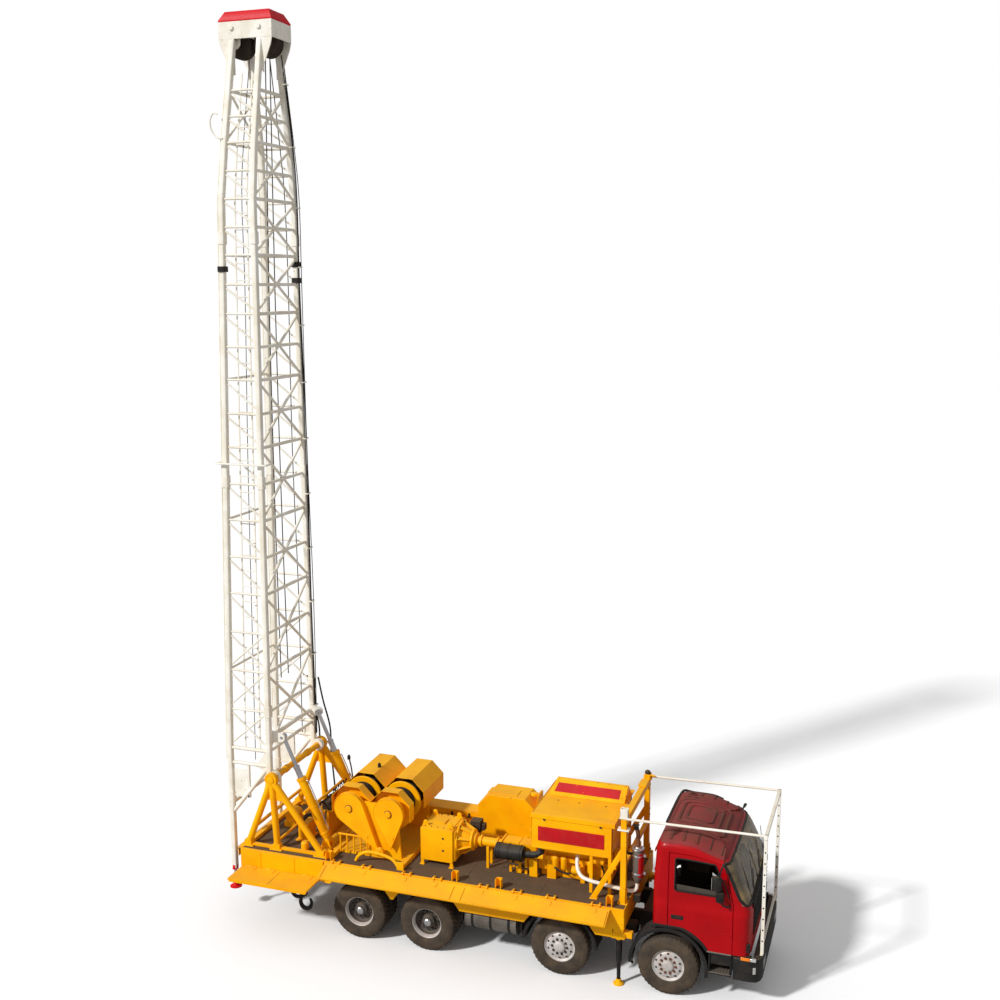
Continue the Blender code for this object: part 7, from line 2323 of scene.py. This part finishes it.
@dataclass
class Cab:
    """Truck cab: a lofted shell with its doors, windscreen, frames, ribs, mirrors and grille."""

    rear: float = -0.30
    front: float = 1.40
    half: float = 1.20
    low: float = 0.955
    arch: float = 0.80
    sill: float = 1.31
    crown: float = 2.865
    roof: Tuple[Tuple[float, float], ...] = ((2.625, 0.045), (2.65, 0.048), (2.71, 0.058),
                                             (2.76, 0.09), (2.81, 0.145), (2.845, 0.225),
                                             (2.865, 0.33))
    levels: Tuple[float, ...] = (1.60, 1.70, 1.712, 1.86, 1.97, 2.12, 2.26, 2.40, 2.54, 2.612)
    door_rear: Tuple[float, float] = (-0.028, -0.014)
    arch_x: Tuple[float, ...] = (0.29, 0.36, 0.43, 0.50, 0.57, 0.63, 0.68)

    def drop(self, x: np.ndarray, z: np.ndarray) -> np.ndarray:
        """How far the roof comes down towards the windscreen."""
        return 0.19 * ease((x - 0.25) / 0.75) * ease((z - 2.45) / 0.35)

    def side_columns(self, z: float, inset: float) -> np.ndarray:
        """(x, y) of one row's points, rear centre round the right side to the front centre.

        Args:
            z: height of the row.
            inset: how far the row lies inside the outer skin.

        Returns:
            The row's points.
        """
        h = self.half + (0.007 if z < 1.705 else 0.0) - inset
        up = max(0.0, min(z, 2.66) - 1.97)
        window = 0.93 - 0.2544 * up
        pillar = 1.085 - 0.25 * max(0.0, min(z, 2.66) - 1.86)
        edge = 1.275 - 0.4286 * max(0.0, min(z, 2.66) - 1.79) - inset * 0.6
        face = self.front - 0.42 * max(0.0, min(z, 2.66) - 1.80) - inset * 0.8
        rear = self.rear + inset * 0.8
        pts = [(rear, 0.0), (rear, -0.55), (rear, -(h - 0.14)), (rear + 0.018, -(h - 0.07)),
               (rear + 0.06, -(h - 0.018)), (rear + 0.14, -h),
               (self.door_rear[0], -h), (self.door_rear[1], -h), (0.09, -h)]
        pts += [(x, -h) for x in self.arch_x]
        pts += [(window, -h), (pillar, -h), (pillar + 0.014, -h), (edge, -h)]
        pts += [(edge + (face - edge) * a, -(h - d))
                for a, d in ((0.45, 0.03), (0.78, 0.09), (0.93, 0.22), (0.985, 0.48),
                             (1.0, 0.80))]
        return np.array(pts + [(face + 0.004, 0.0)])

    def surface(self) -> np.ndarray:
        """(rows, columns, 3) points of the cab's outside, a closed loop a row.

        Returns:
            The points, row by row from the sill to the roof.
        """
        rows: List[np.ndarray] = []
        base = self.side_columns(1.0, 0.0)
        x = base[:, 0]
        bottom = np.where(x < 0.665, np.minimum(self.sill, 0.54 + np.sqrt(np.maximum(
            0.0, self.arch ** 2 - x ** 2))), self.low)
        bottom = np.where(x < -0.28, self.sill - 0.05, bottom)
        for k in (0.0, 0.35, 0.7):
            rows.append(np.column_stack((base, bottom + (1.60 - bottom) * k)))
        for z in self.levels:
            inset = 0.04 * max(0.0, z - 1.97) / 0.6
            pts = self.side_columns(z, inset)
            rows.append(np.column_stack((pts, np.full(len(pts), z))))
        for z, inset in self.roof:
            pts = self.side_columns(z, inset)
            rows.append(np.column_stack((pts, np.full(len(pts), z))))
        centre = np.array((0.42, 0.0))
        last = rows[-1]
        for k in (0.85, 0.68, 0.5, 0.33, 0.16, 0.0):
            flat = centre + (last[:, :2] - centre) * k
            rows.append(np.column_stack((flat, np.full(len(flat),
                                                       self.crown + 0.03 * (1 - k * k)))))
        right = np.array(rows)
        right[..., 2] -= self.drop(right[..., 0], right[..., 2])
        left = right[:, 1:-1][:, ::-1] * (1, -1, 1)
        return np.concatenate((right, left), axis=1)

    def roof_at(self, x: np.ndarray, y: np.ndarray) -> np.ndarray:
        """Height of the roof over (x, y).

        Args:
            x: places along the truck.
            y: places across it.

        Returns:
            The heights.
        """
        span = np.maximum(np.abs(y) / 0.83, np.abs(x - 0.42) / 0.52)
        flat = self.crown + 0.03 * (1 - np.minimum(span, 1.0) ** 2)
        edge = np.interp(np.abs(y), (0.83, 0.975, 1.055, 1.11), (0.0, 0.02, 0.055, 0.105))
        rear = np.interp(-x, (0.04, 0.12, 0.184, 0.228), (0.0, 0.02, 0.055, 0.105))
        z = flat - np.maximum(edge, rear)
        return z - self.drop(x, z)

    def build(self, shop: Workshop) -> None:
        """Makes the shell, doors, screen and all fittings.

        Args:
            shop: where pieces are made.
        """
        grid_ = self.surface()
        rows, cols = grid_.shape[:2]
        points = grid_.reshape(-1, 3)
        r, c = np.meshgrid(np.arange(rows - 1), np.arange(cols), indexing="ij")
        nxt = (c + 1) % cols
        quads = np.stack((r * cols + c, r * cols + nxt, (r + 1) * cols + nxt,
                          (r + 1) * cols + c), -1)
        n = 3 + len(self.levels)
        right = np.minimum(c, cols - 1 - c)
        door_top, lo, hi = n - 1, 7, 17
        in_door = (r < door_top) & (right >= lo) & (right < hi)
        window = (r >= 7) & (r < 11) & (right >= 8) & (right < 16)
        gap = ((r <= door_top) & (right >= lo - 1) & (right < hi + 1)) & ~in_door
        screen = (r >= 6) & (r < n + 1) & (c >= 19) & (c < cols - 19)
        shell = ~(in_door | gap | screen)
        core = np.array((0.5, 0.0, 1.9))
        inner = core + (points - core) * 0.978
        shop.piece("cab_body", "truck", [thick(points, quads[shell], inner)], Finish.RED,
                   smooth=40, replaces=["cab_shell"])
        roof = quads[(r >= n + 3) & shell]
        shop.piece("roof_skin", "truck",
                   [thick(points + (0, 0, 0.004), roof, points - (0, 0, 0.004))], Finish.ROOF,
                   smooth=50)
        for name, side in SIDES:
            mine = in_door & ~window & ((c < cols // 2) if side < 0 else (c >= cols // 2))
            shop.piece(f"door_skin_{name}", f"door_{name}",
                       [thick(points, quads[mine], points - (0, side * 0.035, 0))], Finish.RED,
                       smooth=40, replaces=[f"door_{name}"])
        glass = quads[screen]
        shop.piece("screen_glass", "truck",
                   [thick(points * (1, 0.999, 1) - (0.008, 0, 0), glass,
                          points * (1, 0.997, 1) - (0.014, 0, 0))], Finish.GLASS, smooth=50,
                   replaces=["windscreen"])
        self.build_frames(shop, grid_, n)
        self.build_details(shop)
        self.build_front(shop)

    def build_frames(self, shop: Workshop, grid_: np.ndarray, n: int) -> None:
        """Rubber about the windscreen and the door windows, the lowered panes and inner trims.

        Args:
            shop: where pieces are made.
            grid_: the shell's points.
            n: number of points a row.
        """
        cols = grid_.shape[1]
        low, high = grid_[6, 19:cols - 18], grid_[n + 1, 19:cols - 18]
        left, right = grid_[7:n + 1, cols - 19], grid_[7:n + 1, 19]
        path = np.vstack((low[1:-1], left[:], high[1:-1][::-1], right[::-1]))
        shop.piece("screen_frame", "truck",
                   [sweep(rounded(0.030, 0.050, 0.010), path, ALONG, closed=True)], Finish.TRIM)
        for name, side in SIDES:
            flip = np.array((1, 1 if side < 0 else -1, 1))
            low, high = grid_[7, 8:17] * flip, grid_[11, 8:17] * flip
            front, rear = grid_[8:11, 16] * flip, grid_[8:11, 8] * flip
            corner = [low[0] + (0.0, 0, 0.03), low[0] + (0.03, 0, 0)]
            path = np.vstack((corner, low[1:-1], low[-1] - (0.03, 0, 0), low[-1] + (0, 0, 0.03),
                              front, high[-1] - (0, 0, 0.03), high[-1] - (0.03, 0, 0),
                              high[1:-1][::-1], high[0] + (0.03, 0, 0), high[0] - (0, 0, 0.03),
                              rear[::-1]))
            shop.piece(f"window_rubber_{name}", f"door_{name}",
                       [sweep(rounded(0.024, 0.034, 0.008), path, ACROSS, closed=True)],
                       Finish.TRIM)
            y = side * 1.176
            pane = [(0.085, 1.94), (0.93, 1.94), (0.915, 2.045), (0.085, 2.075)]
            shop.piece(f"window_pane_{name}", f"door_{name}",
                       [plate(pane, sorted((y, y - side * 0.005)))], Finish.CLOTH)
            inside = [blocks(((0.0, 1.06), tuple(sorted((side * 1.10, side * 1.165))),
                              (1.36, 1.955)))]
            shop.piece(f"door_trim_{name}", f"door_{name}", inside, Finish.TRIM, bevel=0.006)

    def build_details(self, shop: Workshop) -> None:
        """Handles, creases, roof ribs, a dark band along the roof's rear and left edges, mirrors and the
        wheel-arch strips.

        Args:
            shop: where pieces are made.
        """
        for name, side in SIDES:
            body, y = f"door_{name}", side * (self.half + 0.007)
            span = tuple(sorted((y - side * 0.002, y + side * 0.006)))
            shop.piece(f"door_handle_{name}", body,
                       [blocks(((0.04, 0.25), span, (1.445, 1.52)))], Finish.TRIM, bevel=0.006)
            grip = tuple(sorted((y + side * 0.004, y + side * 0.012)))
            shop.piece(f"door_grip_{name}", body,
                       [blocks(((0.10, 0.235), grip, (1.475, 1.498)))], Finish.BLACK,
                       bevel=0.003)
            crease = np.array([(x, y, 1.30) for x in np.linspace(0.40, 1.07, 12)])
            shop.piece(f"door_crease_{name}", body, [tube(crease, 0.007, 8)], Finish.RED)
            head = [lathe([(-0.125, 0.0), (-0.125, 0.065), (-0.10, 0.08), (0.10, 0.08),
                           (0.125, 0.065), (0.125, 0.0)], (0.83, side * 1.335, 2.27), UP, 20),
                    lathe([(-0.085, 0.0), (-0.085, 0.06), (-0.065, 0.07), (0.065, 0.07),
                           (0.085, 0.06), (0.085, 0.0)], (0.88, side * 1.335, 2.03), UP, 20)]
            head = [Skin((s.points - (0.83, side * 1.335, 0)) * (1.0, 0.62, 1.0)
                         + (0.83, side * 1.335, 0), s.faces) for s in head]
            arm = curve([(0.93, side * 1.15, 2.60), (0.95, side * 1.25, 2.62),
                         (0.90, side * 1.335, 2.56), (0.86, side * 1.335, 2.3),
                         (0.90, side * 1.335, 1.95), (0.98, side * 1.30, 1.86),
                         (1.05, side * 1.19, 1.84)], 60)
            head.append(tube(arm, 0.014, 12))
            head.append(tube(curve([(0.86, side * 1.335, 2.40), (0.93, side * 1.30, 2.3),
                                    (1.03, side * 1.19, 1.95)], 20), 0.010, 10))
            shop.piece(f"mirror_{name}", body, head, Finish.BLACK)
            face = [blocks(((0.738, 0.746), tuple(sorted((side * 1.30, side * 1.37))),
                            (2.165, 2.375)))]
            shop.piece(f"mirror_face_{name}", body, face, Finish.LENS, bevel=0.004)
        creases = [np.array([(x, -self.half - 0.007, 1.30) for x in np.linspace(1.105, 1.27, 5)])]
        shop.piece("corner_creases", "truck", both([tube(p, 0.007, 8) for p in creases]),
                   Finish.RED)
        ribs: List[Skin] = []
        lines: List[Skin] = []

        def over(path: List[Tuple[float, float]], count: int, closed: bool = False) -> Skin:
            """A pressed rib that follows the roof over a plan path; a wider, thin dark strip under it,
            painted shade along the rib, goes into lines.
            """
            pts = np.array(path)
            if closed:
                pts = np.vstack((pts, pts[:1]))
            cut = np.concatenate([np.linspace(a, b, count, endpoint=False)
                                  for a, b in zip(pts[:-1], pts[1:])])
            if not closed:
                cut = np.vstack((cut, pts[-1:]))
            z = self.roof_at(cut[:, 0], cut[:, 1]) + 0.006
            spine = np.column_stack((cut, z))
            # Dark strip wider than the rib: painted shade along both sides of the rib.
            lines.append(sweep(rounded(0.052, 0.008, 0.003, 1), spine, UP, closed=closed))
            return sweep(rounded(0.028, 0.024, 0.009, 1), spine, UP, closed=closed)

        for side in (-1, 1):
            ribs.append(over([(-0.14, side * 0.70), (0.82, side * 0.70)], 16))
            for x in (-0.02, 0.20, 0.42, 0.64, 0.84):
                ribs.append(over([(x, side * 0.76), (x, side * 1.05)], 8))
        for a, b, d in ((0.34, 0.44, 0.08), (0.22, 0.29, 0.06), (0.46, 0.58, 0.09)):
            x = 0.32
            ring = [(x - a + d, -b), (x + a - d, -b), (x + a, -b + d), (x + a, b - d),
                    (x + a - d, b), (x - a + d, b), (x - a, b - d), (x - a, -b + d)]
            ribs.append(over(ring, 6, True))
        shop.piece("roof_ribs", "truck", ribs, Finish.ROOF)
        # Dark strips along the roof ribs: painted shade.
        shop.piece("roof_rib_shade", "truck", lines, Finish.UNDER)
        # Dark band along the roof's rear and left edges.
        edge = [(-0.235, -0.3), (-0.238, 0.6), (-0.225, 0.95), (-0.17, 1.06), (0.0, 1.09),
                (0.35, 1.085), (0.55, 1.075)]
        pts = np.array(edge)
        z = self.roof_at(pts[:, 0], pts[:, 1]) + 0.012
        shop.piece("roof_band", "truck",
                   [sweep(rounded(0.05, 0.035, 0.012), curve(np.column_stack((pts, z)), 50),
                          UP)], Finish.TRIM)
        strips = []
        for side in (-1, 1):
            s = side * (self.half + 0.002)
            path = [(x, s, min(self.sill, 0.54 + math.sqrt(self.arch ** 2 - x * x)) - 0.028)
                    for x in np.linspace(-0.30, 0.66, 40)]
            strips.append(sweep(rounded(0.055, 0.03, 0.01), np.array(path), ACROSS))
            strips.append(blocks(((1.10, 1.42), tuple(sorted((side * 1.12, side * 1.205))),
                                  (0.945, 0.962))))
        shop.piece("arch_strips", "truck", strips, Finish.TRIM)
        back = [blocks(*[((-0.314, -0.298), (-0.95, 0.95), (z, z + 0.05))
                         for z in (1.45, 1.80, 2.15, 2.50)])]
        shop.piece("cab_back_ribs", "truck", back, Finish.RED, bevel=0.005)

    def build_front(self, shop: Workshop) -> None:
        """Grille, corner vents and lamps, wipers, dashboard and steering wheel.

        Args:
            shop: where pieces are made.
        """
        x = self.front
        bars = [blocks(((x - 0.02, x + 0.012), (-0.86, 0.86), (1.20, 1.235)),
                       ((x - 0.02, x + 0.012), (-0.86, 0.86), (1.685, 1.72)))]
        bars.append(blocks(*[((x - 0.02, x + 0.018), (-0.84, 0.84), (z, z + 0.030))
                             for z in np.linspace(1.26, 1.63, 6)]))
        bars.append(blocks(((x - 0.03, x + 0.006), (-0.86, 0.86), (1.20, 1.70)),
                           ((x - 0.03, x + 0.007), (-0.95, 0.95), (1.73, 1.84))))
        shop.piece("grille", "truck", bars, Finish.TRIM, bevel=0.004)
        vents = [blocks(*[((x - 0.075, x - 0.012), (-1.19, -1.13), (z, z + 0.035))
                          for z in (1.03, 1.085, 1.14)])]
        shop.piece("corner_vents", "truck", both(vents), Finish.TRIM, bevel=0.004)
        amber = [blocks(((1.24, 1.40), (-1.212, -1.17), (0.885, 0.945)))]
        shop.piece("indicators", "truck", both(amber), Finish.AMBER, bevel=0.008)
        lens = [blocks(((1.40, 1.50), (-1.216, -1.17), (0.888, 0.945)))]
        shop.piece("corner_lenses", "truck", both(lens), Finish.LENS, bevel=0.008)
        wipers = []
        for y in (-0.78, 0.0, 0.62):
            a = (1.385, y, 1.90)
            b = (1.30, y + 0.34, 2.20)
            wipers.append(struts([a], [b], rounded(0.016, 0.012, 0.004)))
            wipers.append(struts([(1.352, y + 0.06, 1.99)], [(1.245, y + 0.40, 2.34)],
                                 rounded(0.010, 0.018, 0.003)))
            wipers.append(lathe([(0, 0), (0, 0.025), (0.03, 0.02), (0.03, 0)], (1.375, y, 1.88),
                                ALONG, 14))
        shop.piece("wipers", "truck", wipers, Finish.BLACK)
        dash = [blocks(((1.00, 1.24), (-1.08, 1.08), (1.50, 1.80)),
                       ((0.94, 1.05), (0.30, 0.86), (1.70, 1.90)))]
        shop.piece("dashboard", "truck", dash, Finish.TRIM, bevel=0.03)
        turn = circle(32, 0.22)
        ring = np.stack((0.80 + 0.10 * turn[:, 0] / 0.22, 0.56 + turn[:, 1],
                         1.92 + 0.19 * turn[:, 0] / 0.22), -1)
        wheel = [tube(ring, 0.014, 10, closed=True),
                 rods([(0.80, 0.56, 1.92)], [(0.98, 0.56, 1.80)], 0.035, 14),
                 rods([(0.80, 0.36, 1.92)], [(0.80, 0.76, 1.92)], 0.012, 10)]
        shop.piece("steering_wheel", "truck", wheel, Finish.TRIM)


# ------------------------------------------------------------------------------ studio
@dataclass
class Studio:
    """Pale floor, soft lights and the camera."""

    position: Point = (3.61479702, -20.58978085, 12.14751299)
    heading: float = 18.953136
    pitch: float = 9.921428
    roll: float = 0.147196
    lens: float = 44.16
    sensor: float = 36.0
    floor_half: float = 900.0
    floor_tone: float = 0.42
    floor_seen: float = 1.0
    sky: float = 0.46
    sun_power: float = 3.05
    sun_way: Point = (0.50, 0.66, -0.62)
    sun_spread: float = 5.0

    def build(self, origin: float) -> None:
        """Makes everything that isn't the rig.

        Args:
            origin: where axle 1 stands along the frame's X.
        """
        self.build_floor()
        self.build_lights()
        self.build_camera(origin)
        bpy.context.scene.view_settings.view_transform = "Standard"

    def build_floor(self) -> None:
        """A flat square on the ground."""
        h = self.floor_half
        mesh = bpy.data.meshes.new("floor")
        mesh.from_pydata([(-h, -h, 0), (h, -h, 0), (h, h, 0), (-h, h, 0)], [], [(0, 1, 2, 3)])
        floor = bpy.data.objects.new("floor", mesh)
        bpy.context.scene.collection.objects.link(floor)
        g = Graph("floor_white")
        seen = g.tree.nodes.new("ShaderNodeLightPath").outputs["Is Camera Ray"]
        tones = [(t, t, t) for t in (self.floor_tone, self.floor_seen)]
        g.put(g.shader.inputs["Base Color"], g.mix(seen, *tones))
        g.shader.inputs["Roughness"].default_value = 0.95
        mesh.materials.append(g.material)

    def build_lights(self) -> None:
        """One broad sun from the left behind the camera, and a world that looks white."""
        world = bpy.data.worlds.new("studio")
        bpy.context.scene.world = world
        world.use_nodes = True
        tree = world.node_tree
        path = tree.nodes.new("ShaderNodeLightPath")
        node = tree.nodes.new("ShaderNodeMath")
        node.operation = "MAXIMUM"
        tree.links.new(path.outputs["Is Camera Ray"], node.inputs[0])
        tree.links.new(path.outputs["Is Transmission Ray"], node.inputs[1])
        seen = node.outputs[0]
        power = tree.nodes.new("ShaderNodeMapRange")
        power.inputs["To Min"].default_value = self.sky
        power.inputs["To Max"].default_value = 1.0
        tree.links.new(seen, power.inputs["Value"])
        tree.links.new(power.outputs[0], tree.nodes["Background"].inputs["Strength"])
        tree.nodes["Background"].inputs["Color"].default_value = (1, 1, 1, 1)
        lamp = bpy.data.lights.new("sun", "SUN")
        lamp.energy, lamp.angle = self.sun_power, math.radians(self.sun_spread)
        sun = bpy.data.objects.new("sun", lamp)
        sun.rotation_euler = Vector(self.sun_way).to_track_quat("-Z", "Y").to_euler()
        bpy.context.scene.collection.objects.link(sun)

    def build_camera(self, origin: float) -> None:
        """The camera at its place, turned by heading and pitch, with a small roll.

        Args:
            origin: the truck's place in the frame.
        """
        h, p, r = (math.radians(a) for a in (self.heading, self.pitch, self.roll))
        forward = Vector((-math.sin(h) * math.cos(p), math.cos(h) * math.cos(p), -math.sin(p)))
        right = Vector((math.cos(h), math.sin(h), 0.0))
        down = forward.cross(right)
        across = right * math.cos(r) + down * math.sin(r)
        below = down * math.cos(r) - right * math.sin(r)
        data = bpy.data.cameras.new("camera")
        data.lens, data.sensor_width, data.clip_end = self.lens, self.sensor, 3000.0
        cam = bpy.data.objects.new("camera", data)
        turn = Matrix((across, -below, -forward)).transposed().to_4x4()
        cam.matrix_world = Matrix.Translation(Vector(self.position) + Vector((origin, 0, 0))) @ turn
        bpy.context.scene.collection.objects.link(cam)
        bpy.context.scene.camera = cam


ASSEMBLIES = (Mast, Crown, Deck, AFrames, Drawworks, PowerLine, Rest, Chassis, Cab,)

NODE_FINISH: Tuple[Tuple[str, Finish, float], ...] = (
    ("mast_rest", Finish.YELLOW, 0.006), ("a_frames", Finish.YELLOW, 0.006),
    ("bumper", Finish.BLACK, 0.012), ("cab_interior", Finish.CLOTH, 0.02),
    ("cab_shell", Finish.RED, 0.03), ("chassis_frame", Finish.UNDER, 0.004),
    ("deck", Finish.DECK, 0.003), ("door", Finish.RED, 0.006), ("drum_", Finish.YELLOW, 0.006),
    ("drawworks_frame", Finish.YELLOW, 0.006), ("engine_block", Finish.YELLOW, 0.01),
    ("engine_hood", Finish.YELLOW, 0.008), ("exhaust", Finish.ALLOY, 0.006),
    ("front_axle", Finish.IRON, 0.008), ("front_jacks", Finish.YELLOW, 0.006),
    ("fuel_tank", Finish.ALLOY, 0.008), ("gearbox", Finish.YELLOW, 0.008),
    ("knuckle", Finish.IRON, 0.004), ("oil_tank", Finish.YELLOW, 0.01),
    ("ram_barrel", Finish.YELLOW, 0.004), ("ram_", Finish.STEEL, 0.003),
    ("rear_bogie", Finish.UNDER, 0.006), ("side_panel", Finish.YELLOW, 0.003),
    ("truck_engine", Finish.IRON, 0.02), ("walkway", Finish.YELLOW, 0.003),
    ("windscreen", Finish.GLASS, 0.0),
)


def dress_nodes(shop: Workshop, nodes: Dict[str, bpy.types.Object]) -> None:
    """Gives every frame node that still shows its finish.

    Args:
        shop: the workshop.
        nodes: the frame's objects by node name.
    """
    for name, obj in sorted(nodes.items()):
        found = [(f, b) for prefix, f, b in NODE_FINISH if name.startswith(prefix)]
        finish, bevel = found[0] if found else (Finish.YELLOW, 0.004)
        shop.dress(obj, finish, 0.0 if obj.hide_render else bevel)


def main() -> None:
    """Builds the rig in order."""
    logging.basicConfig(level=logging.INFO, format="%(message)s")
    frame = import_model()
    low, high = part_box("tyre_axle_1_right")
    origin = (low.x + high.x) / 2
    Studio().build(origin)
    shop = Workshop(origin)
    axles = [(n, sum(p.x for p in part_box(f"tyre_axle_{n}_right")) / 2 - origin) for n in range(1, 5)]
    for number, x in axles:
        for name, side in SIDES:
            Wheel(number, name, side, x, number > 2).build(shop)
    for assembly in ASSEMBLIES:
        assembly().build(shop)
    dress_nodes(shop, frame["nodes"])
    LOG.info("%d pieces, %d triangles", shop.count, shop.triangles)


if __name__ == "__main__":
    main()
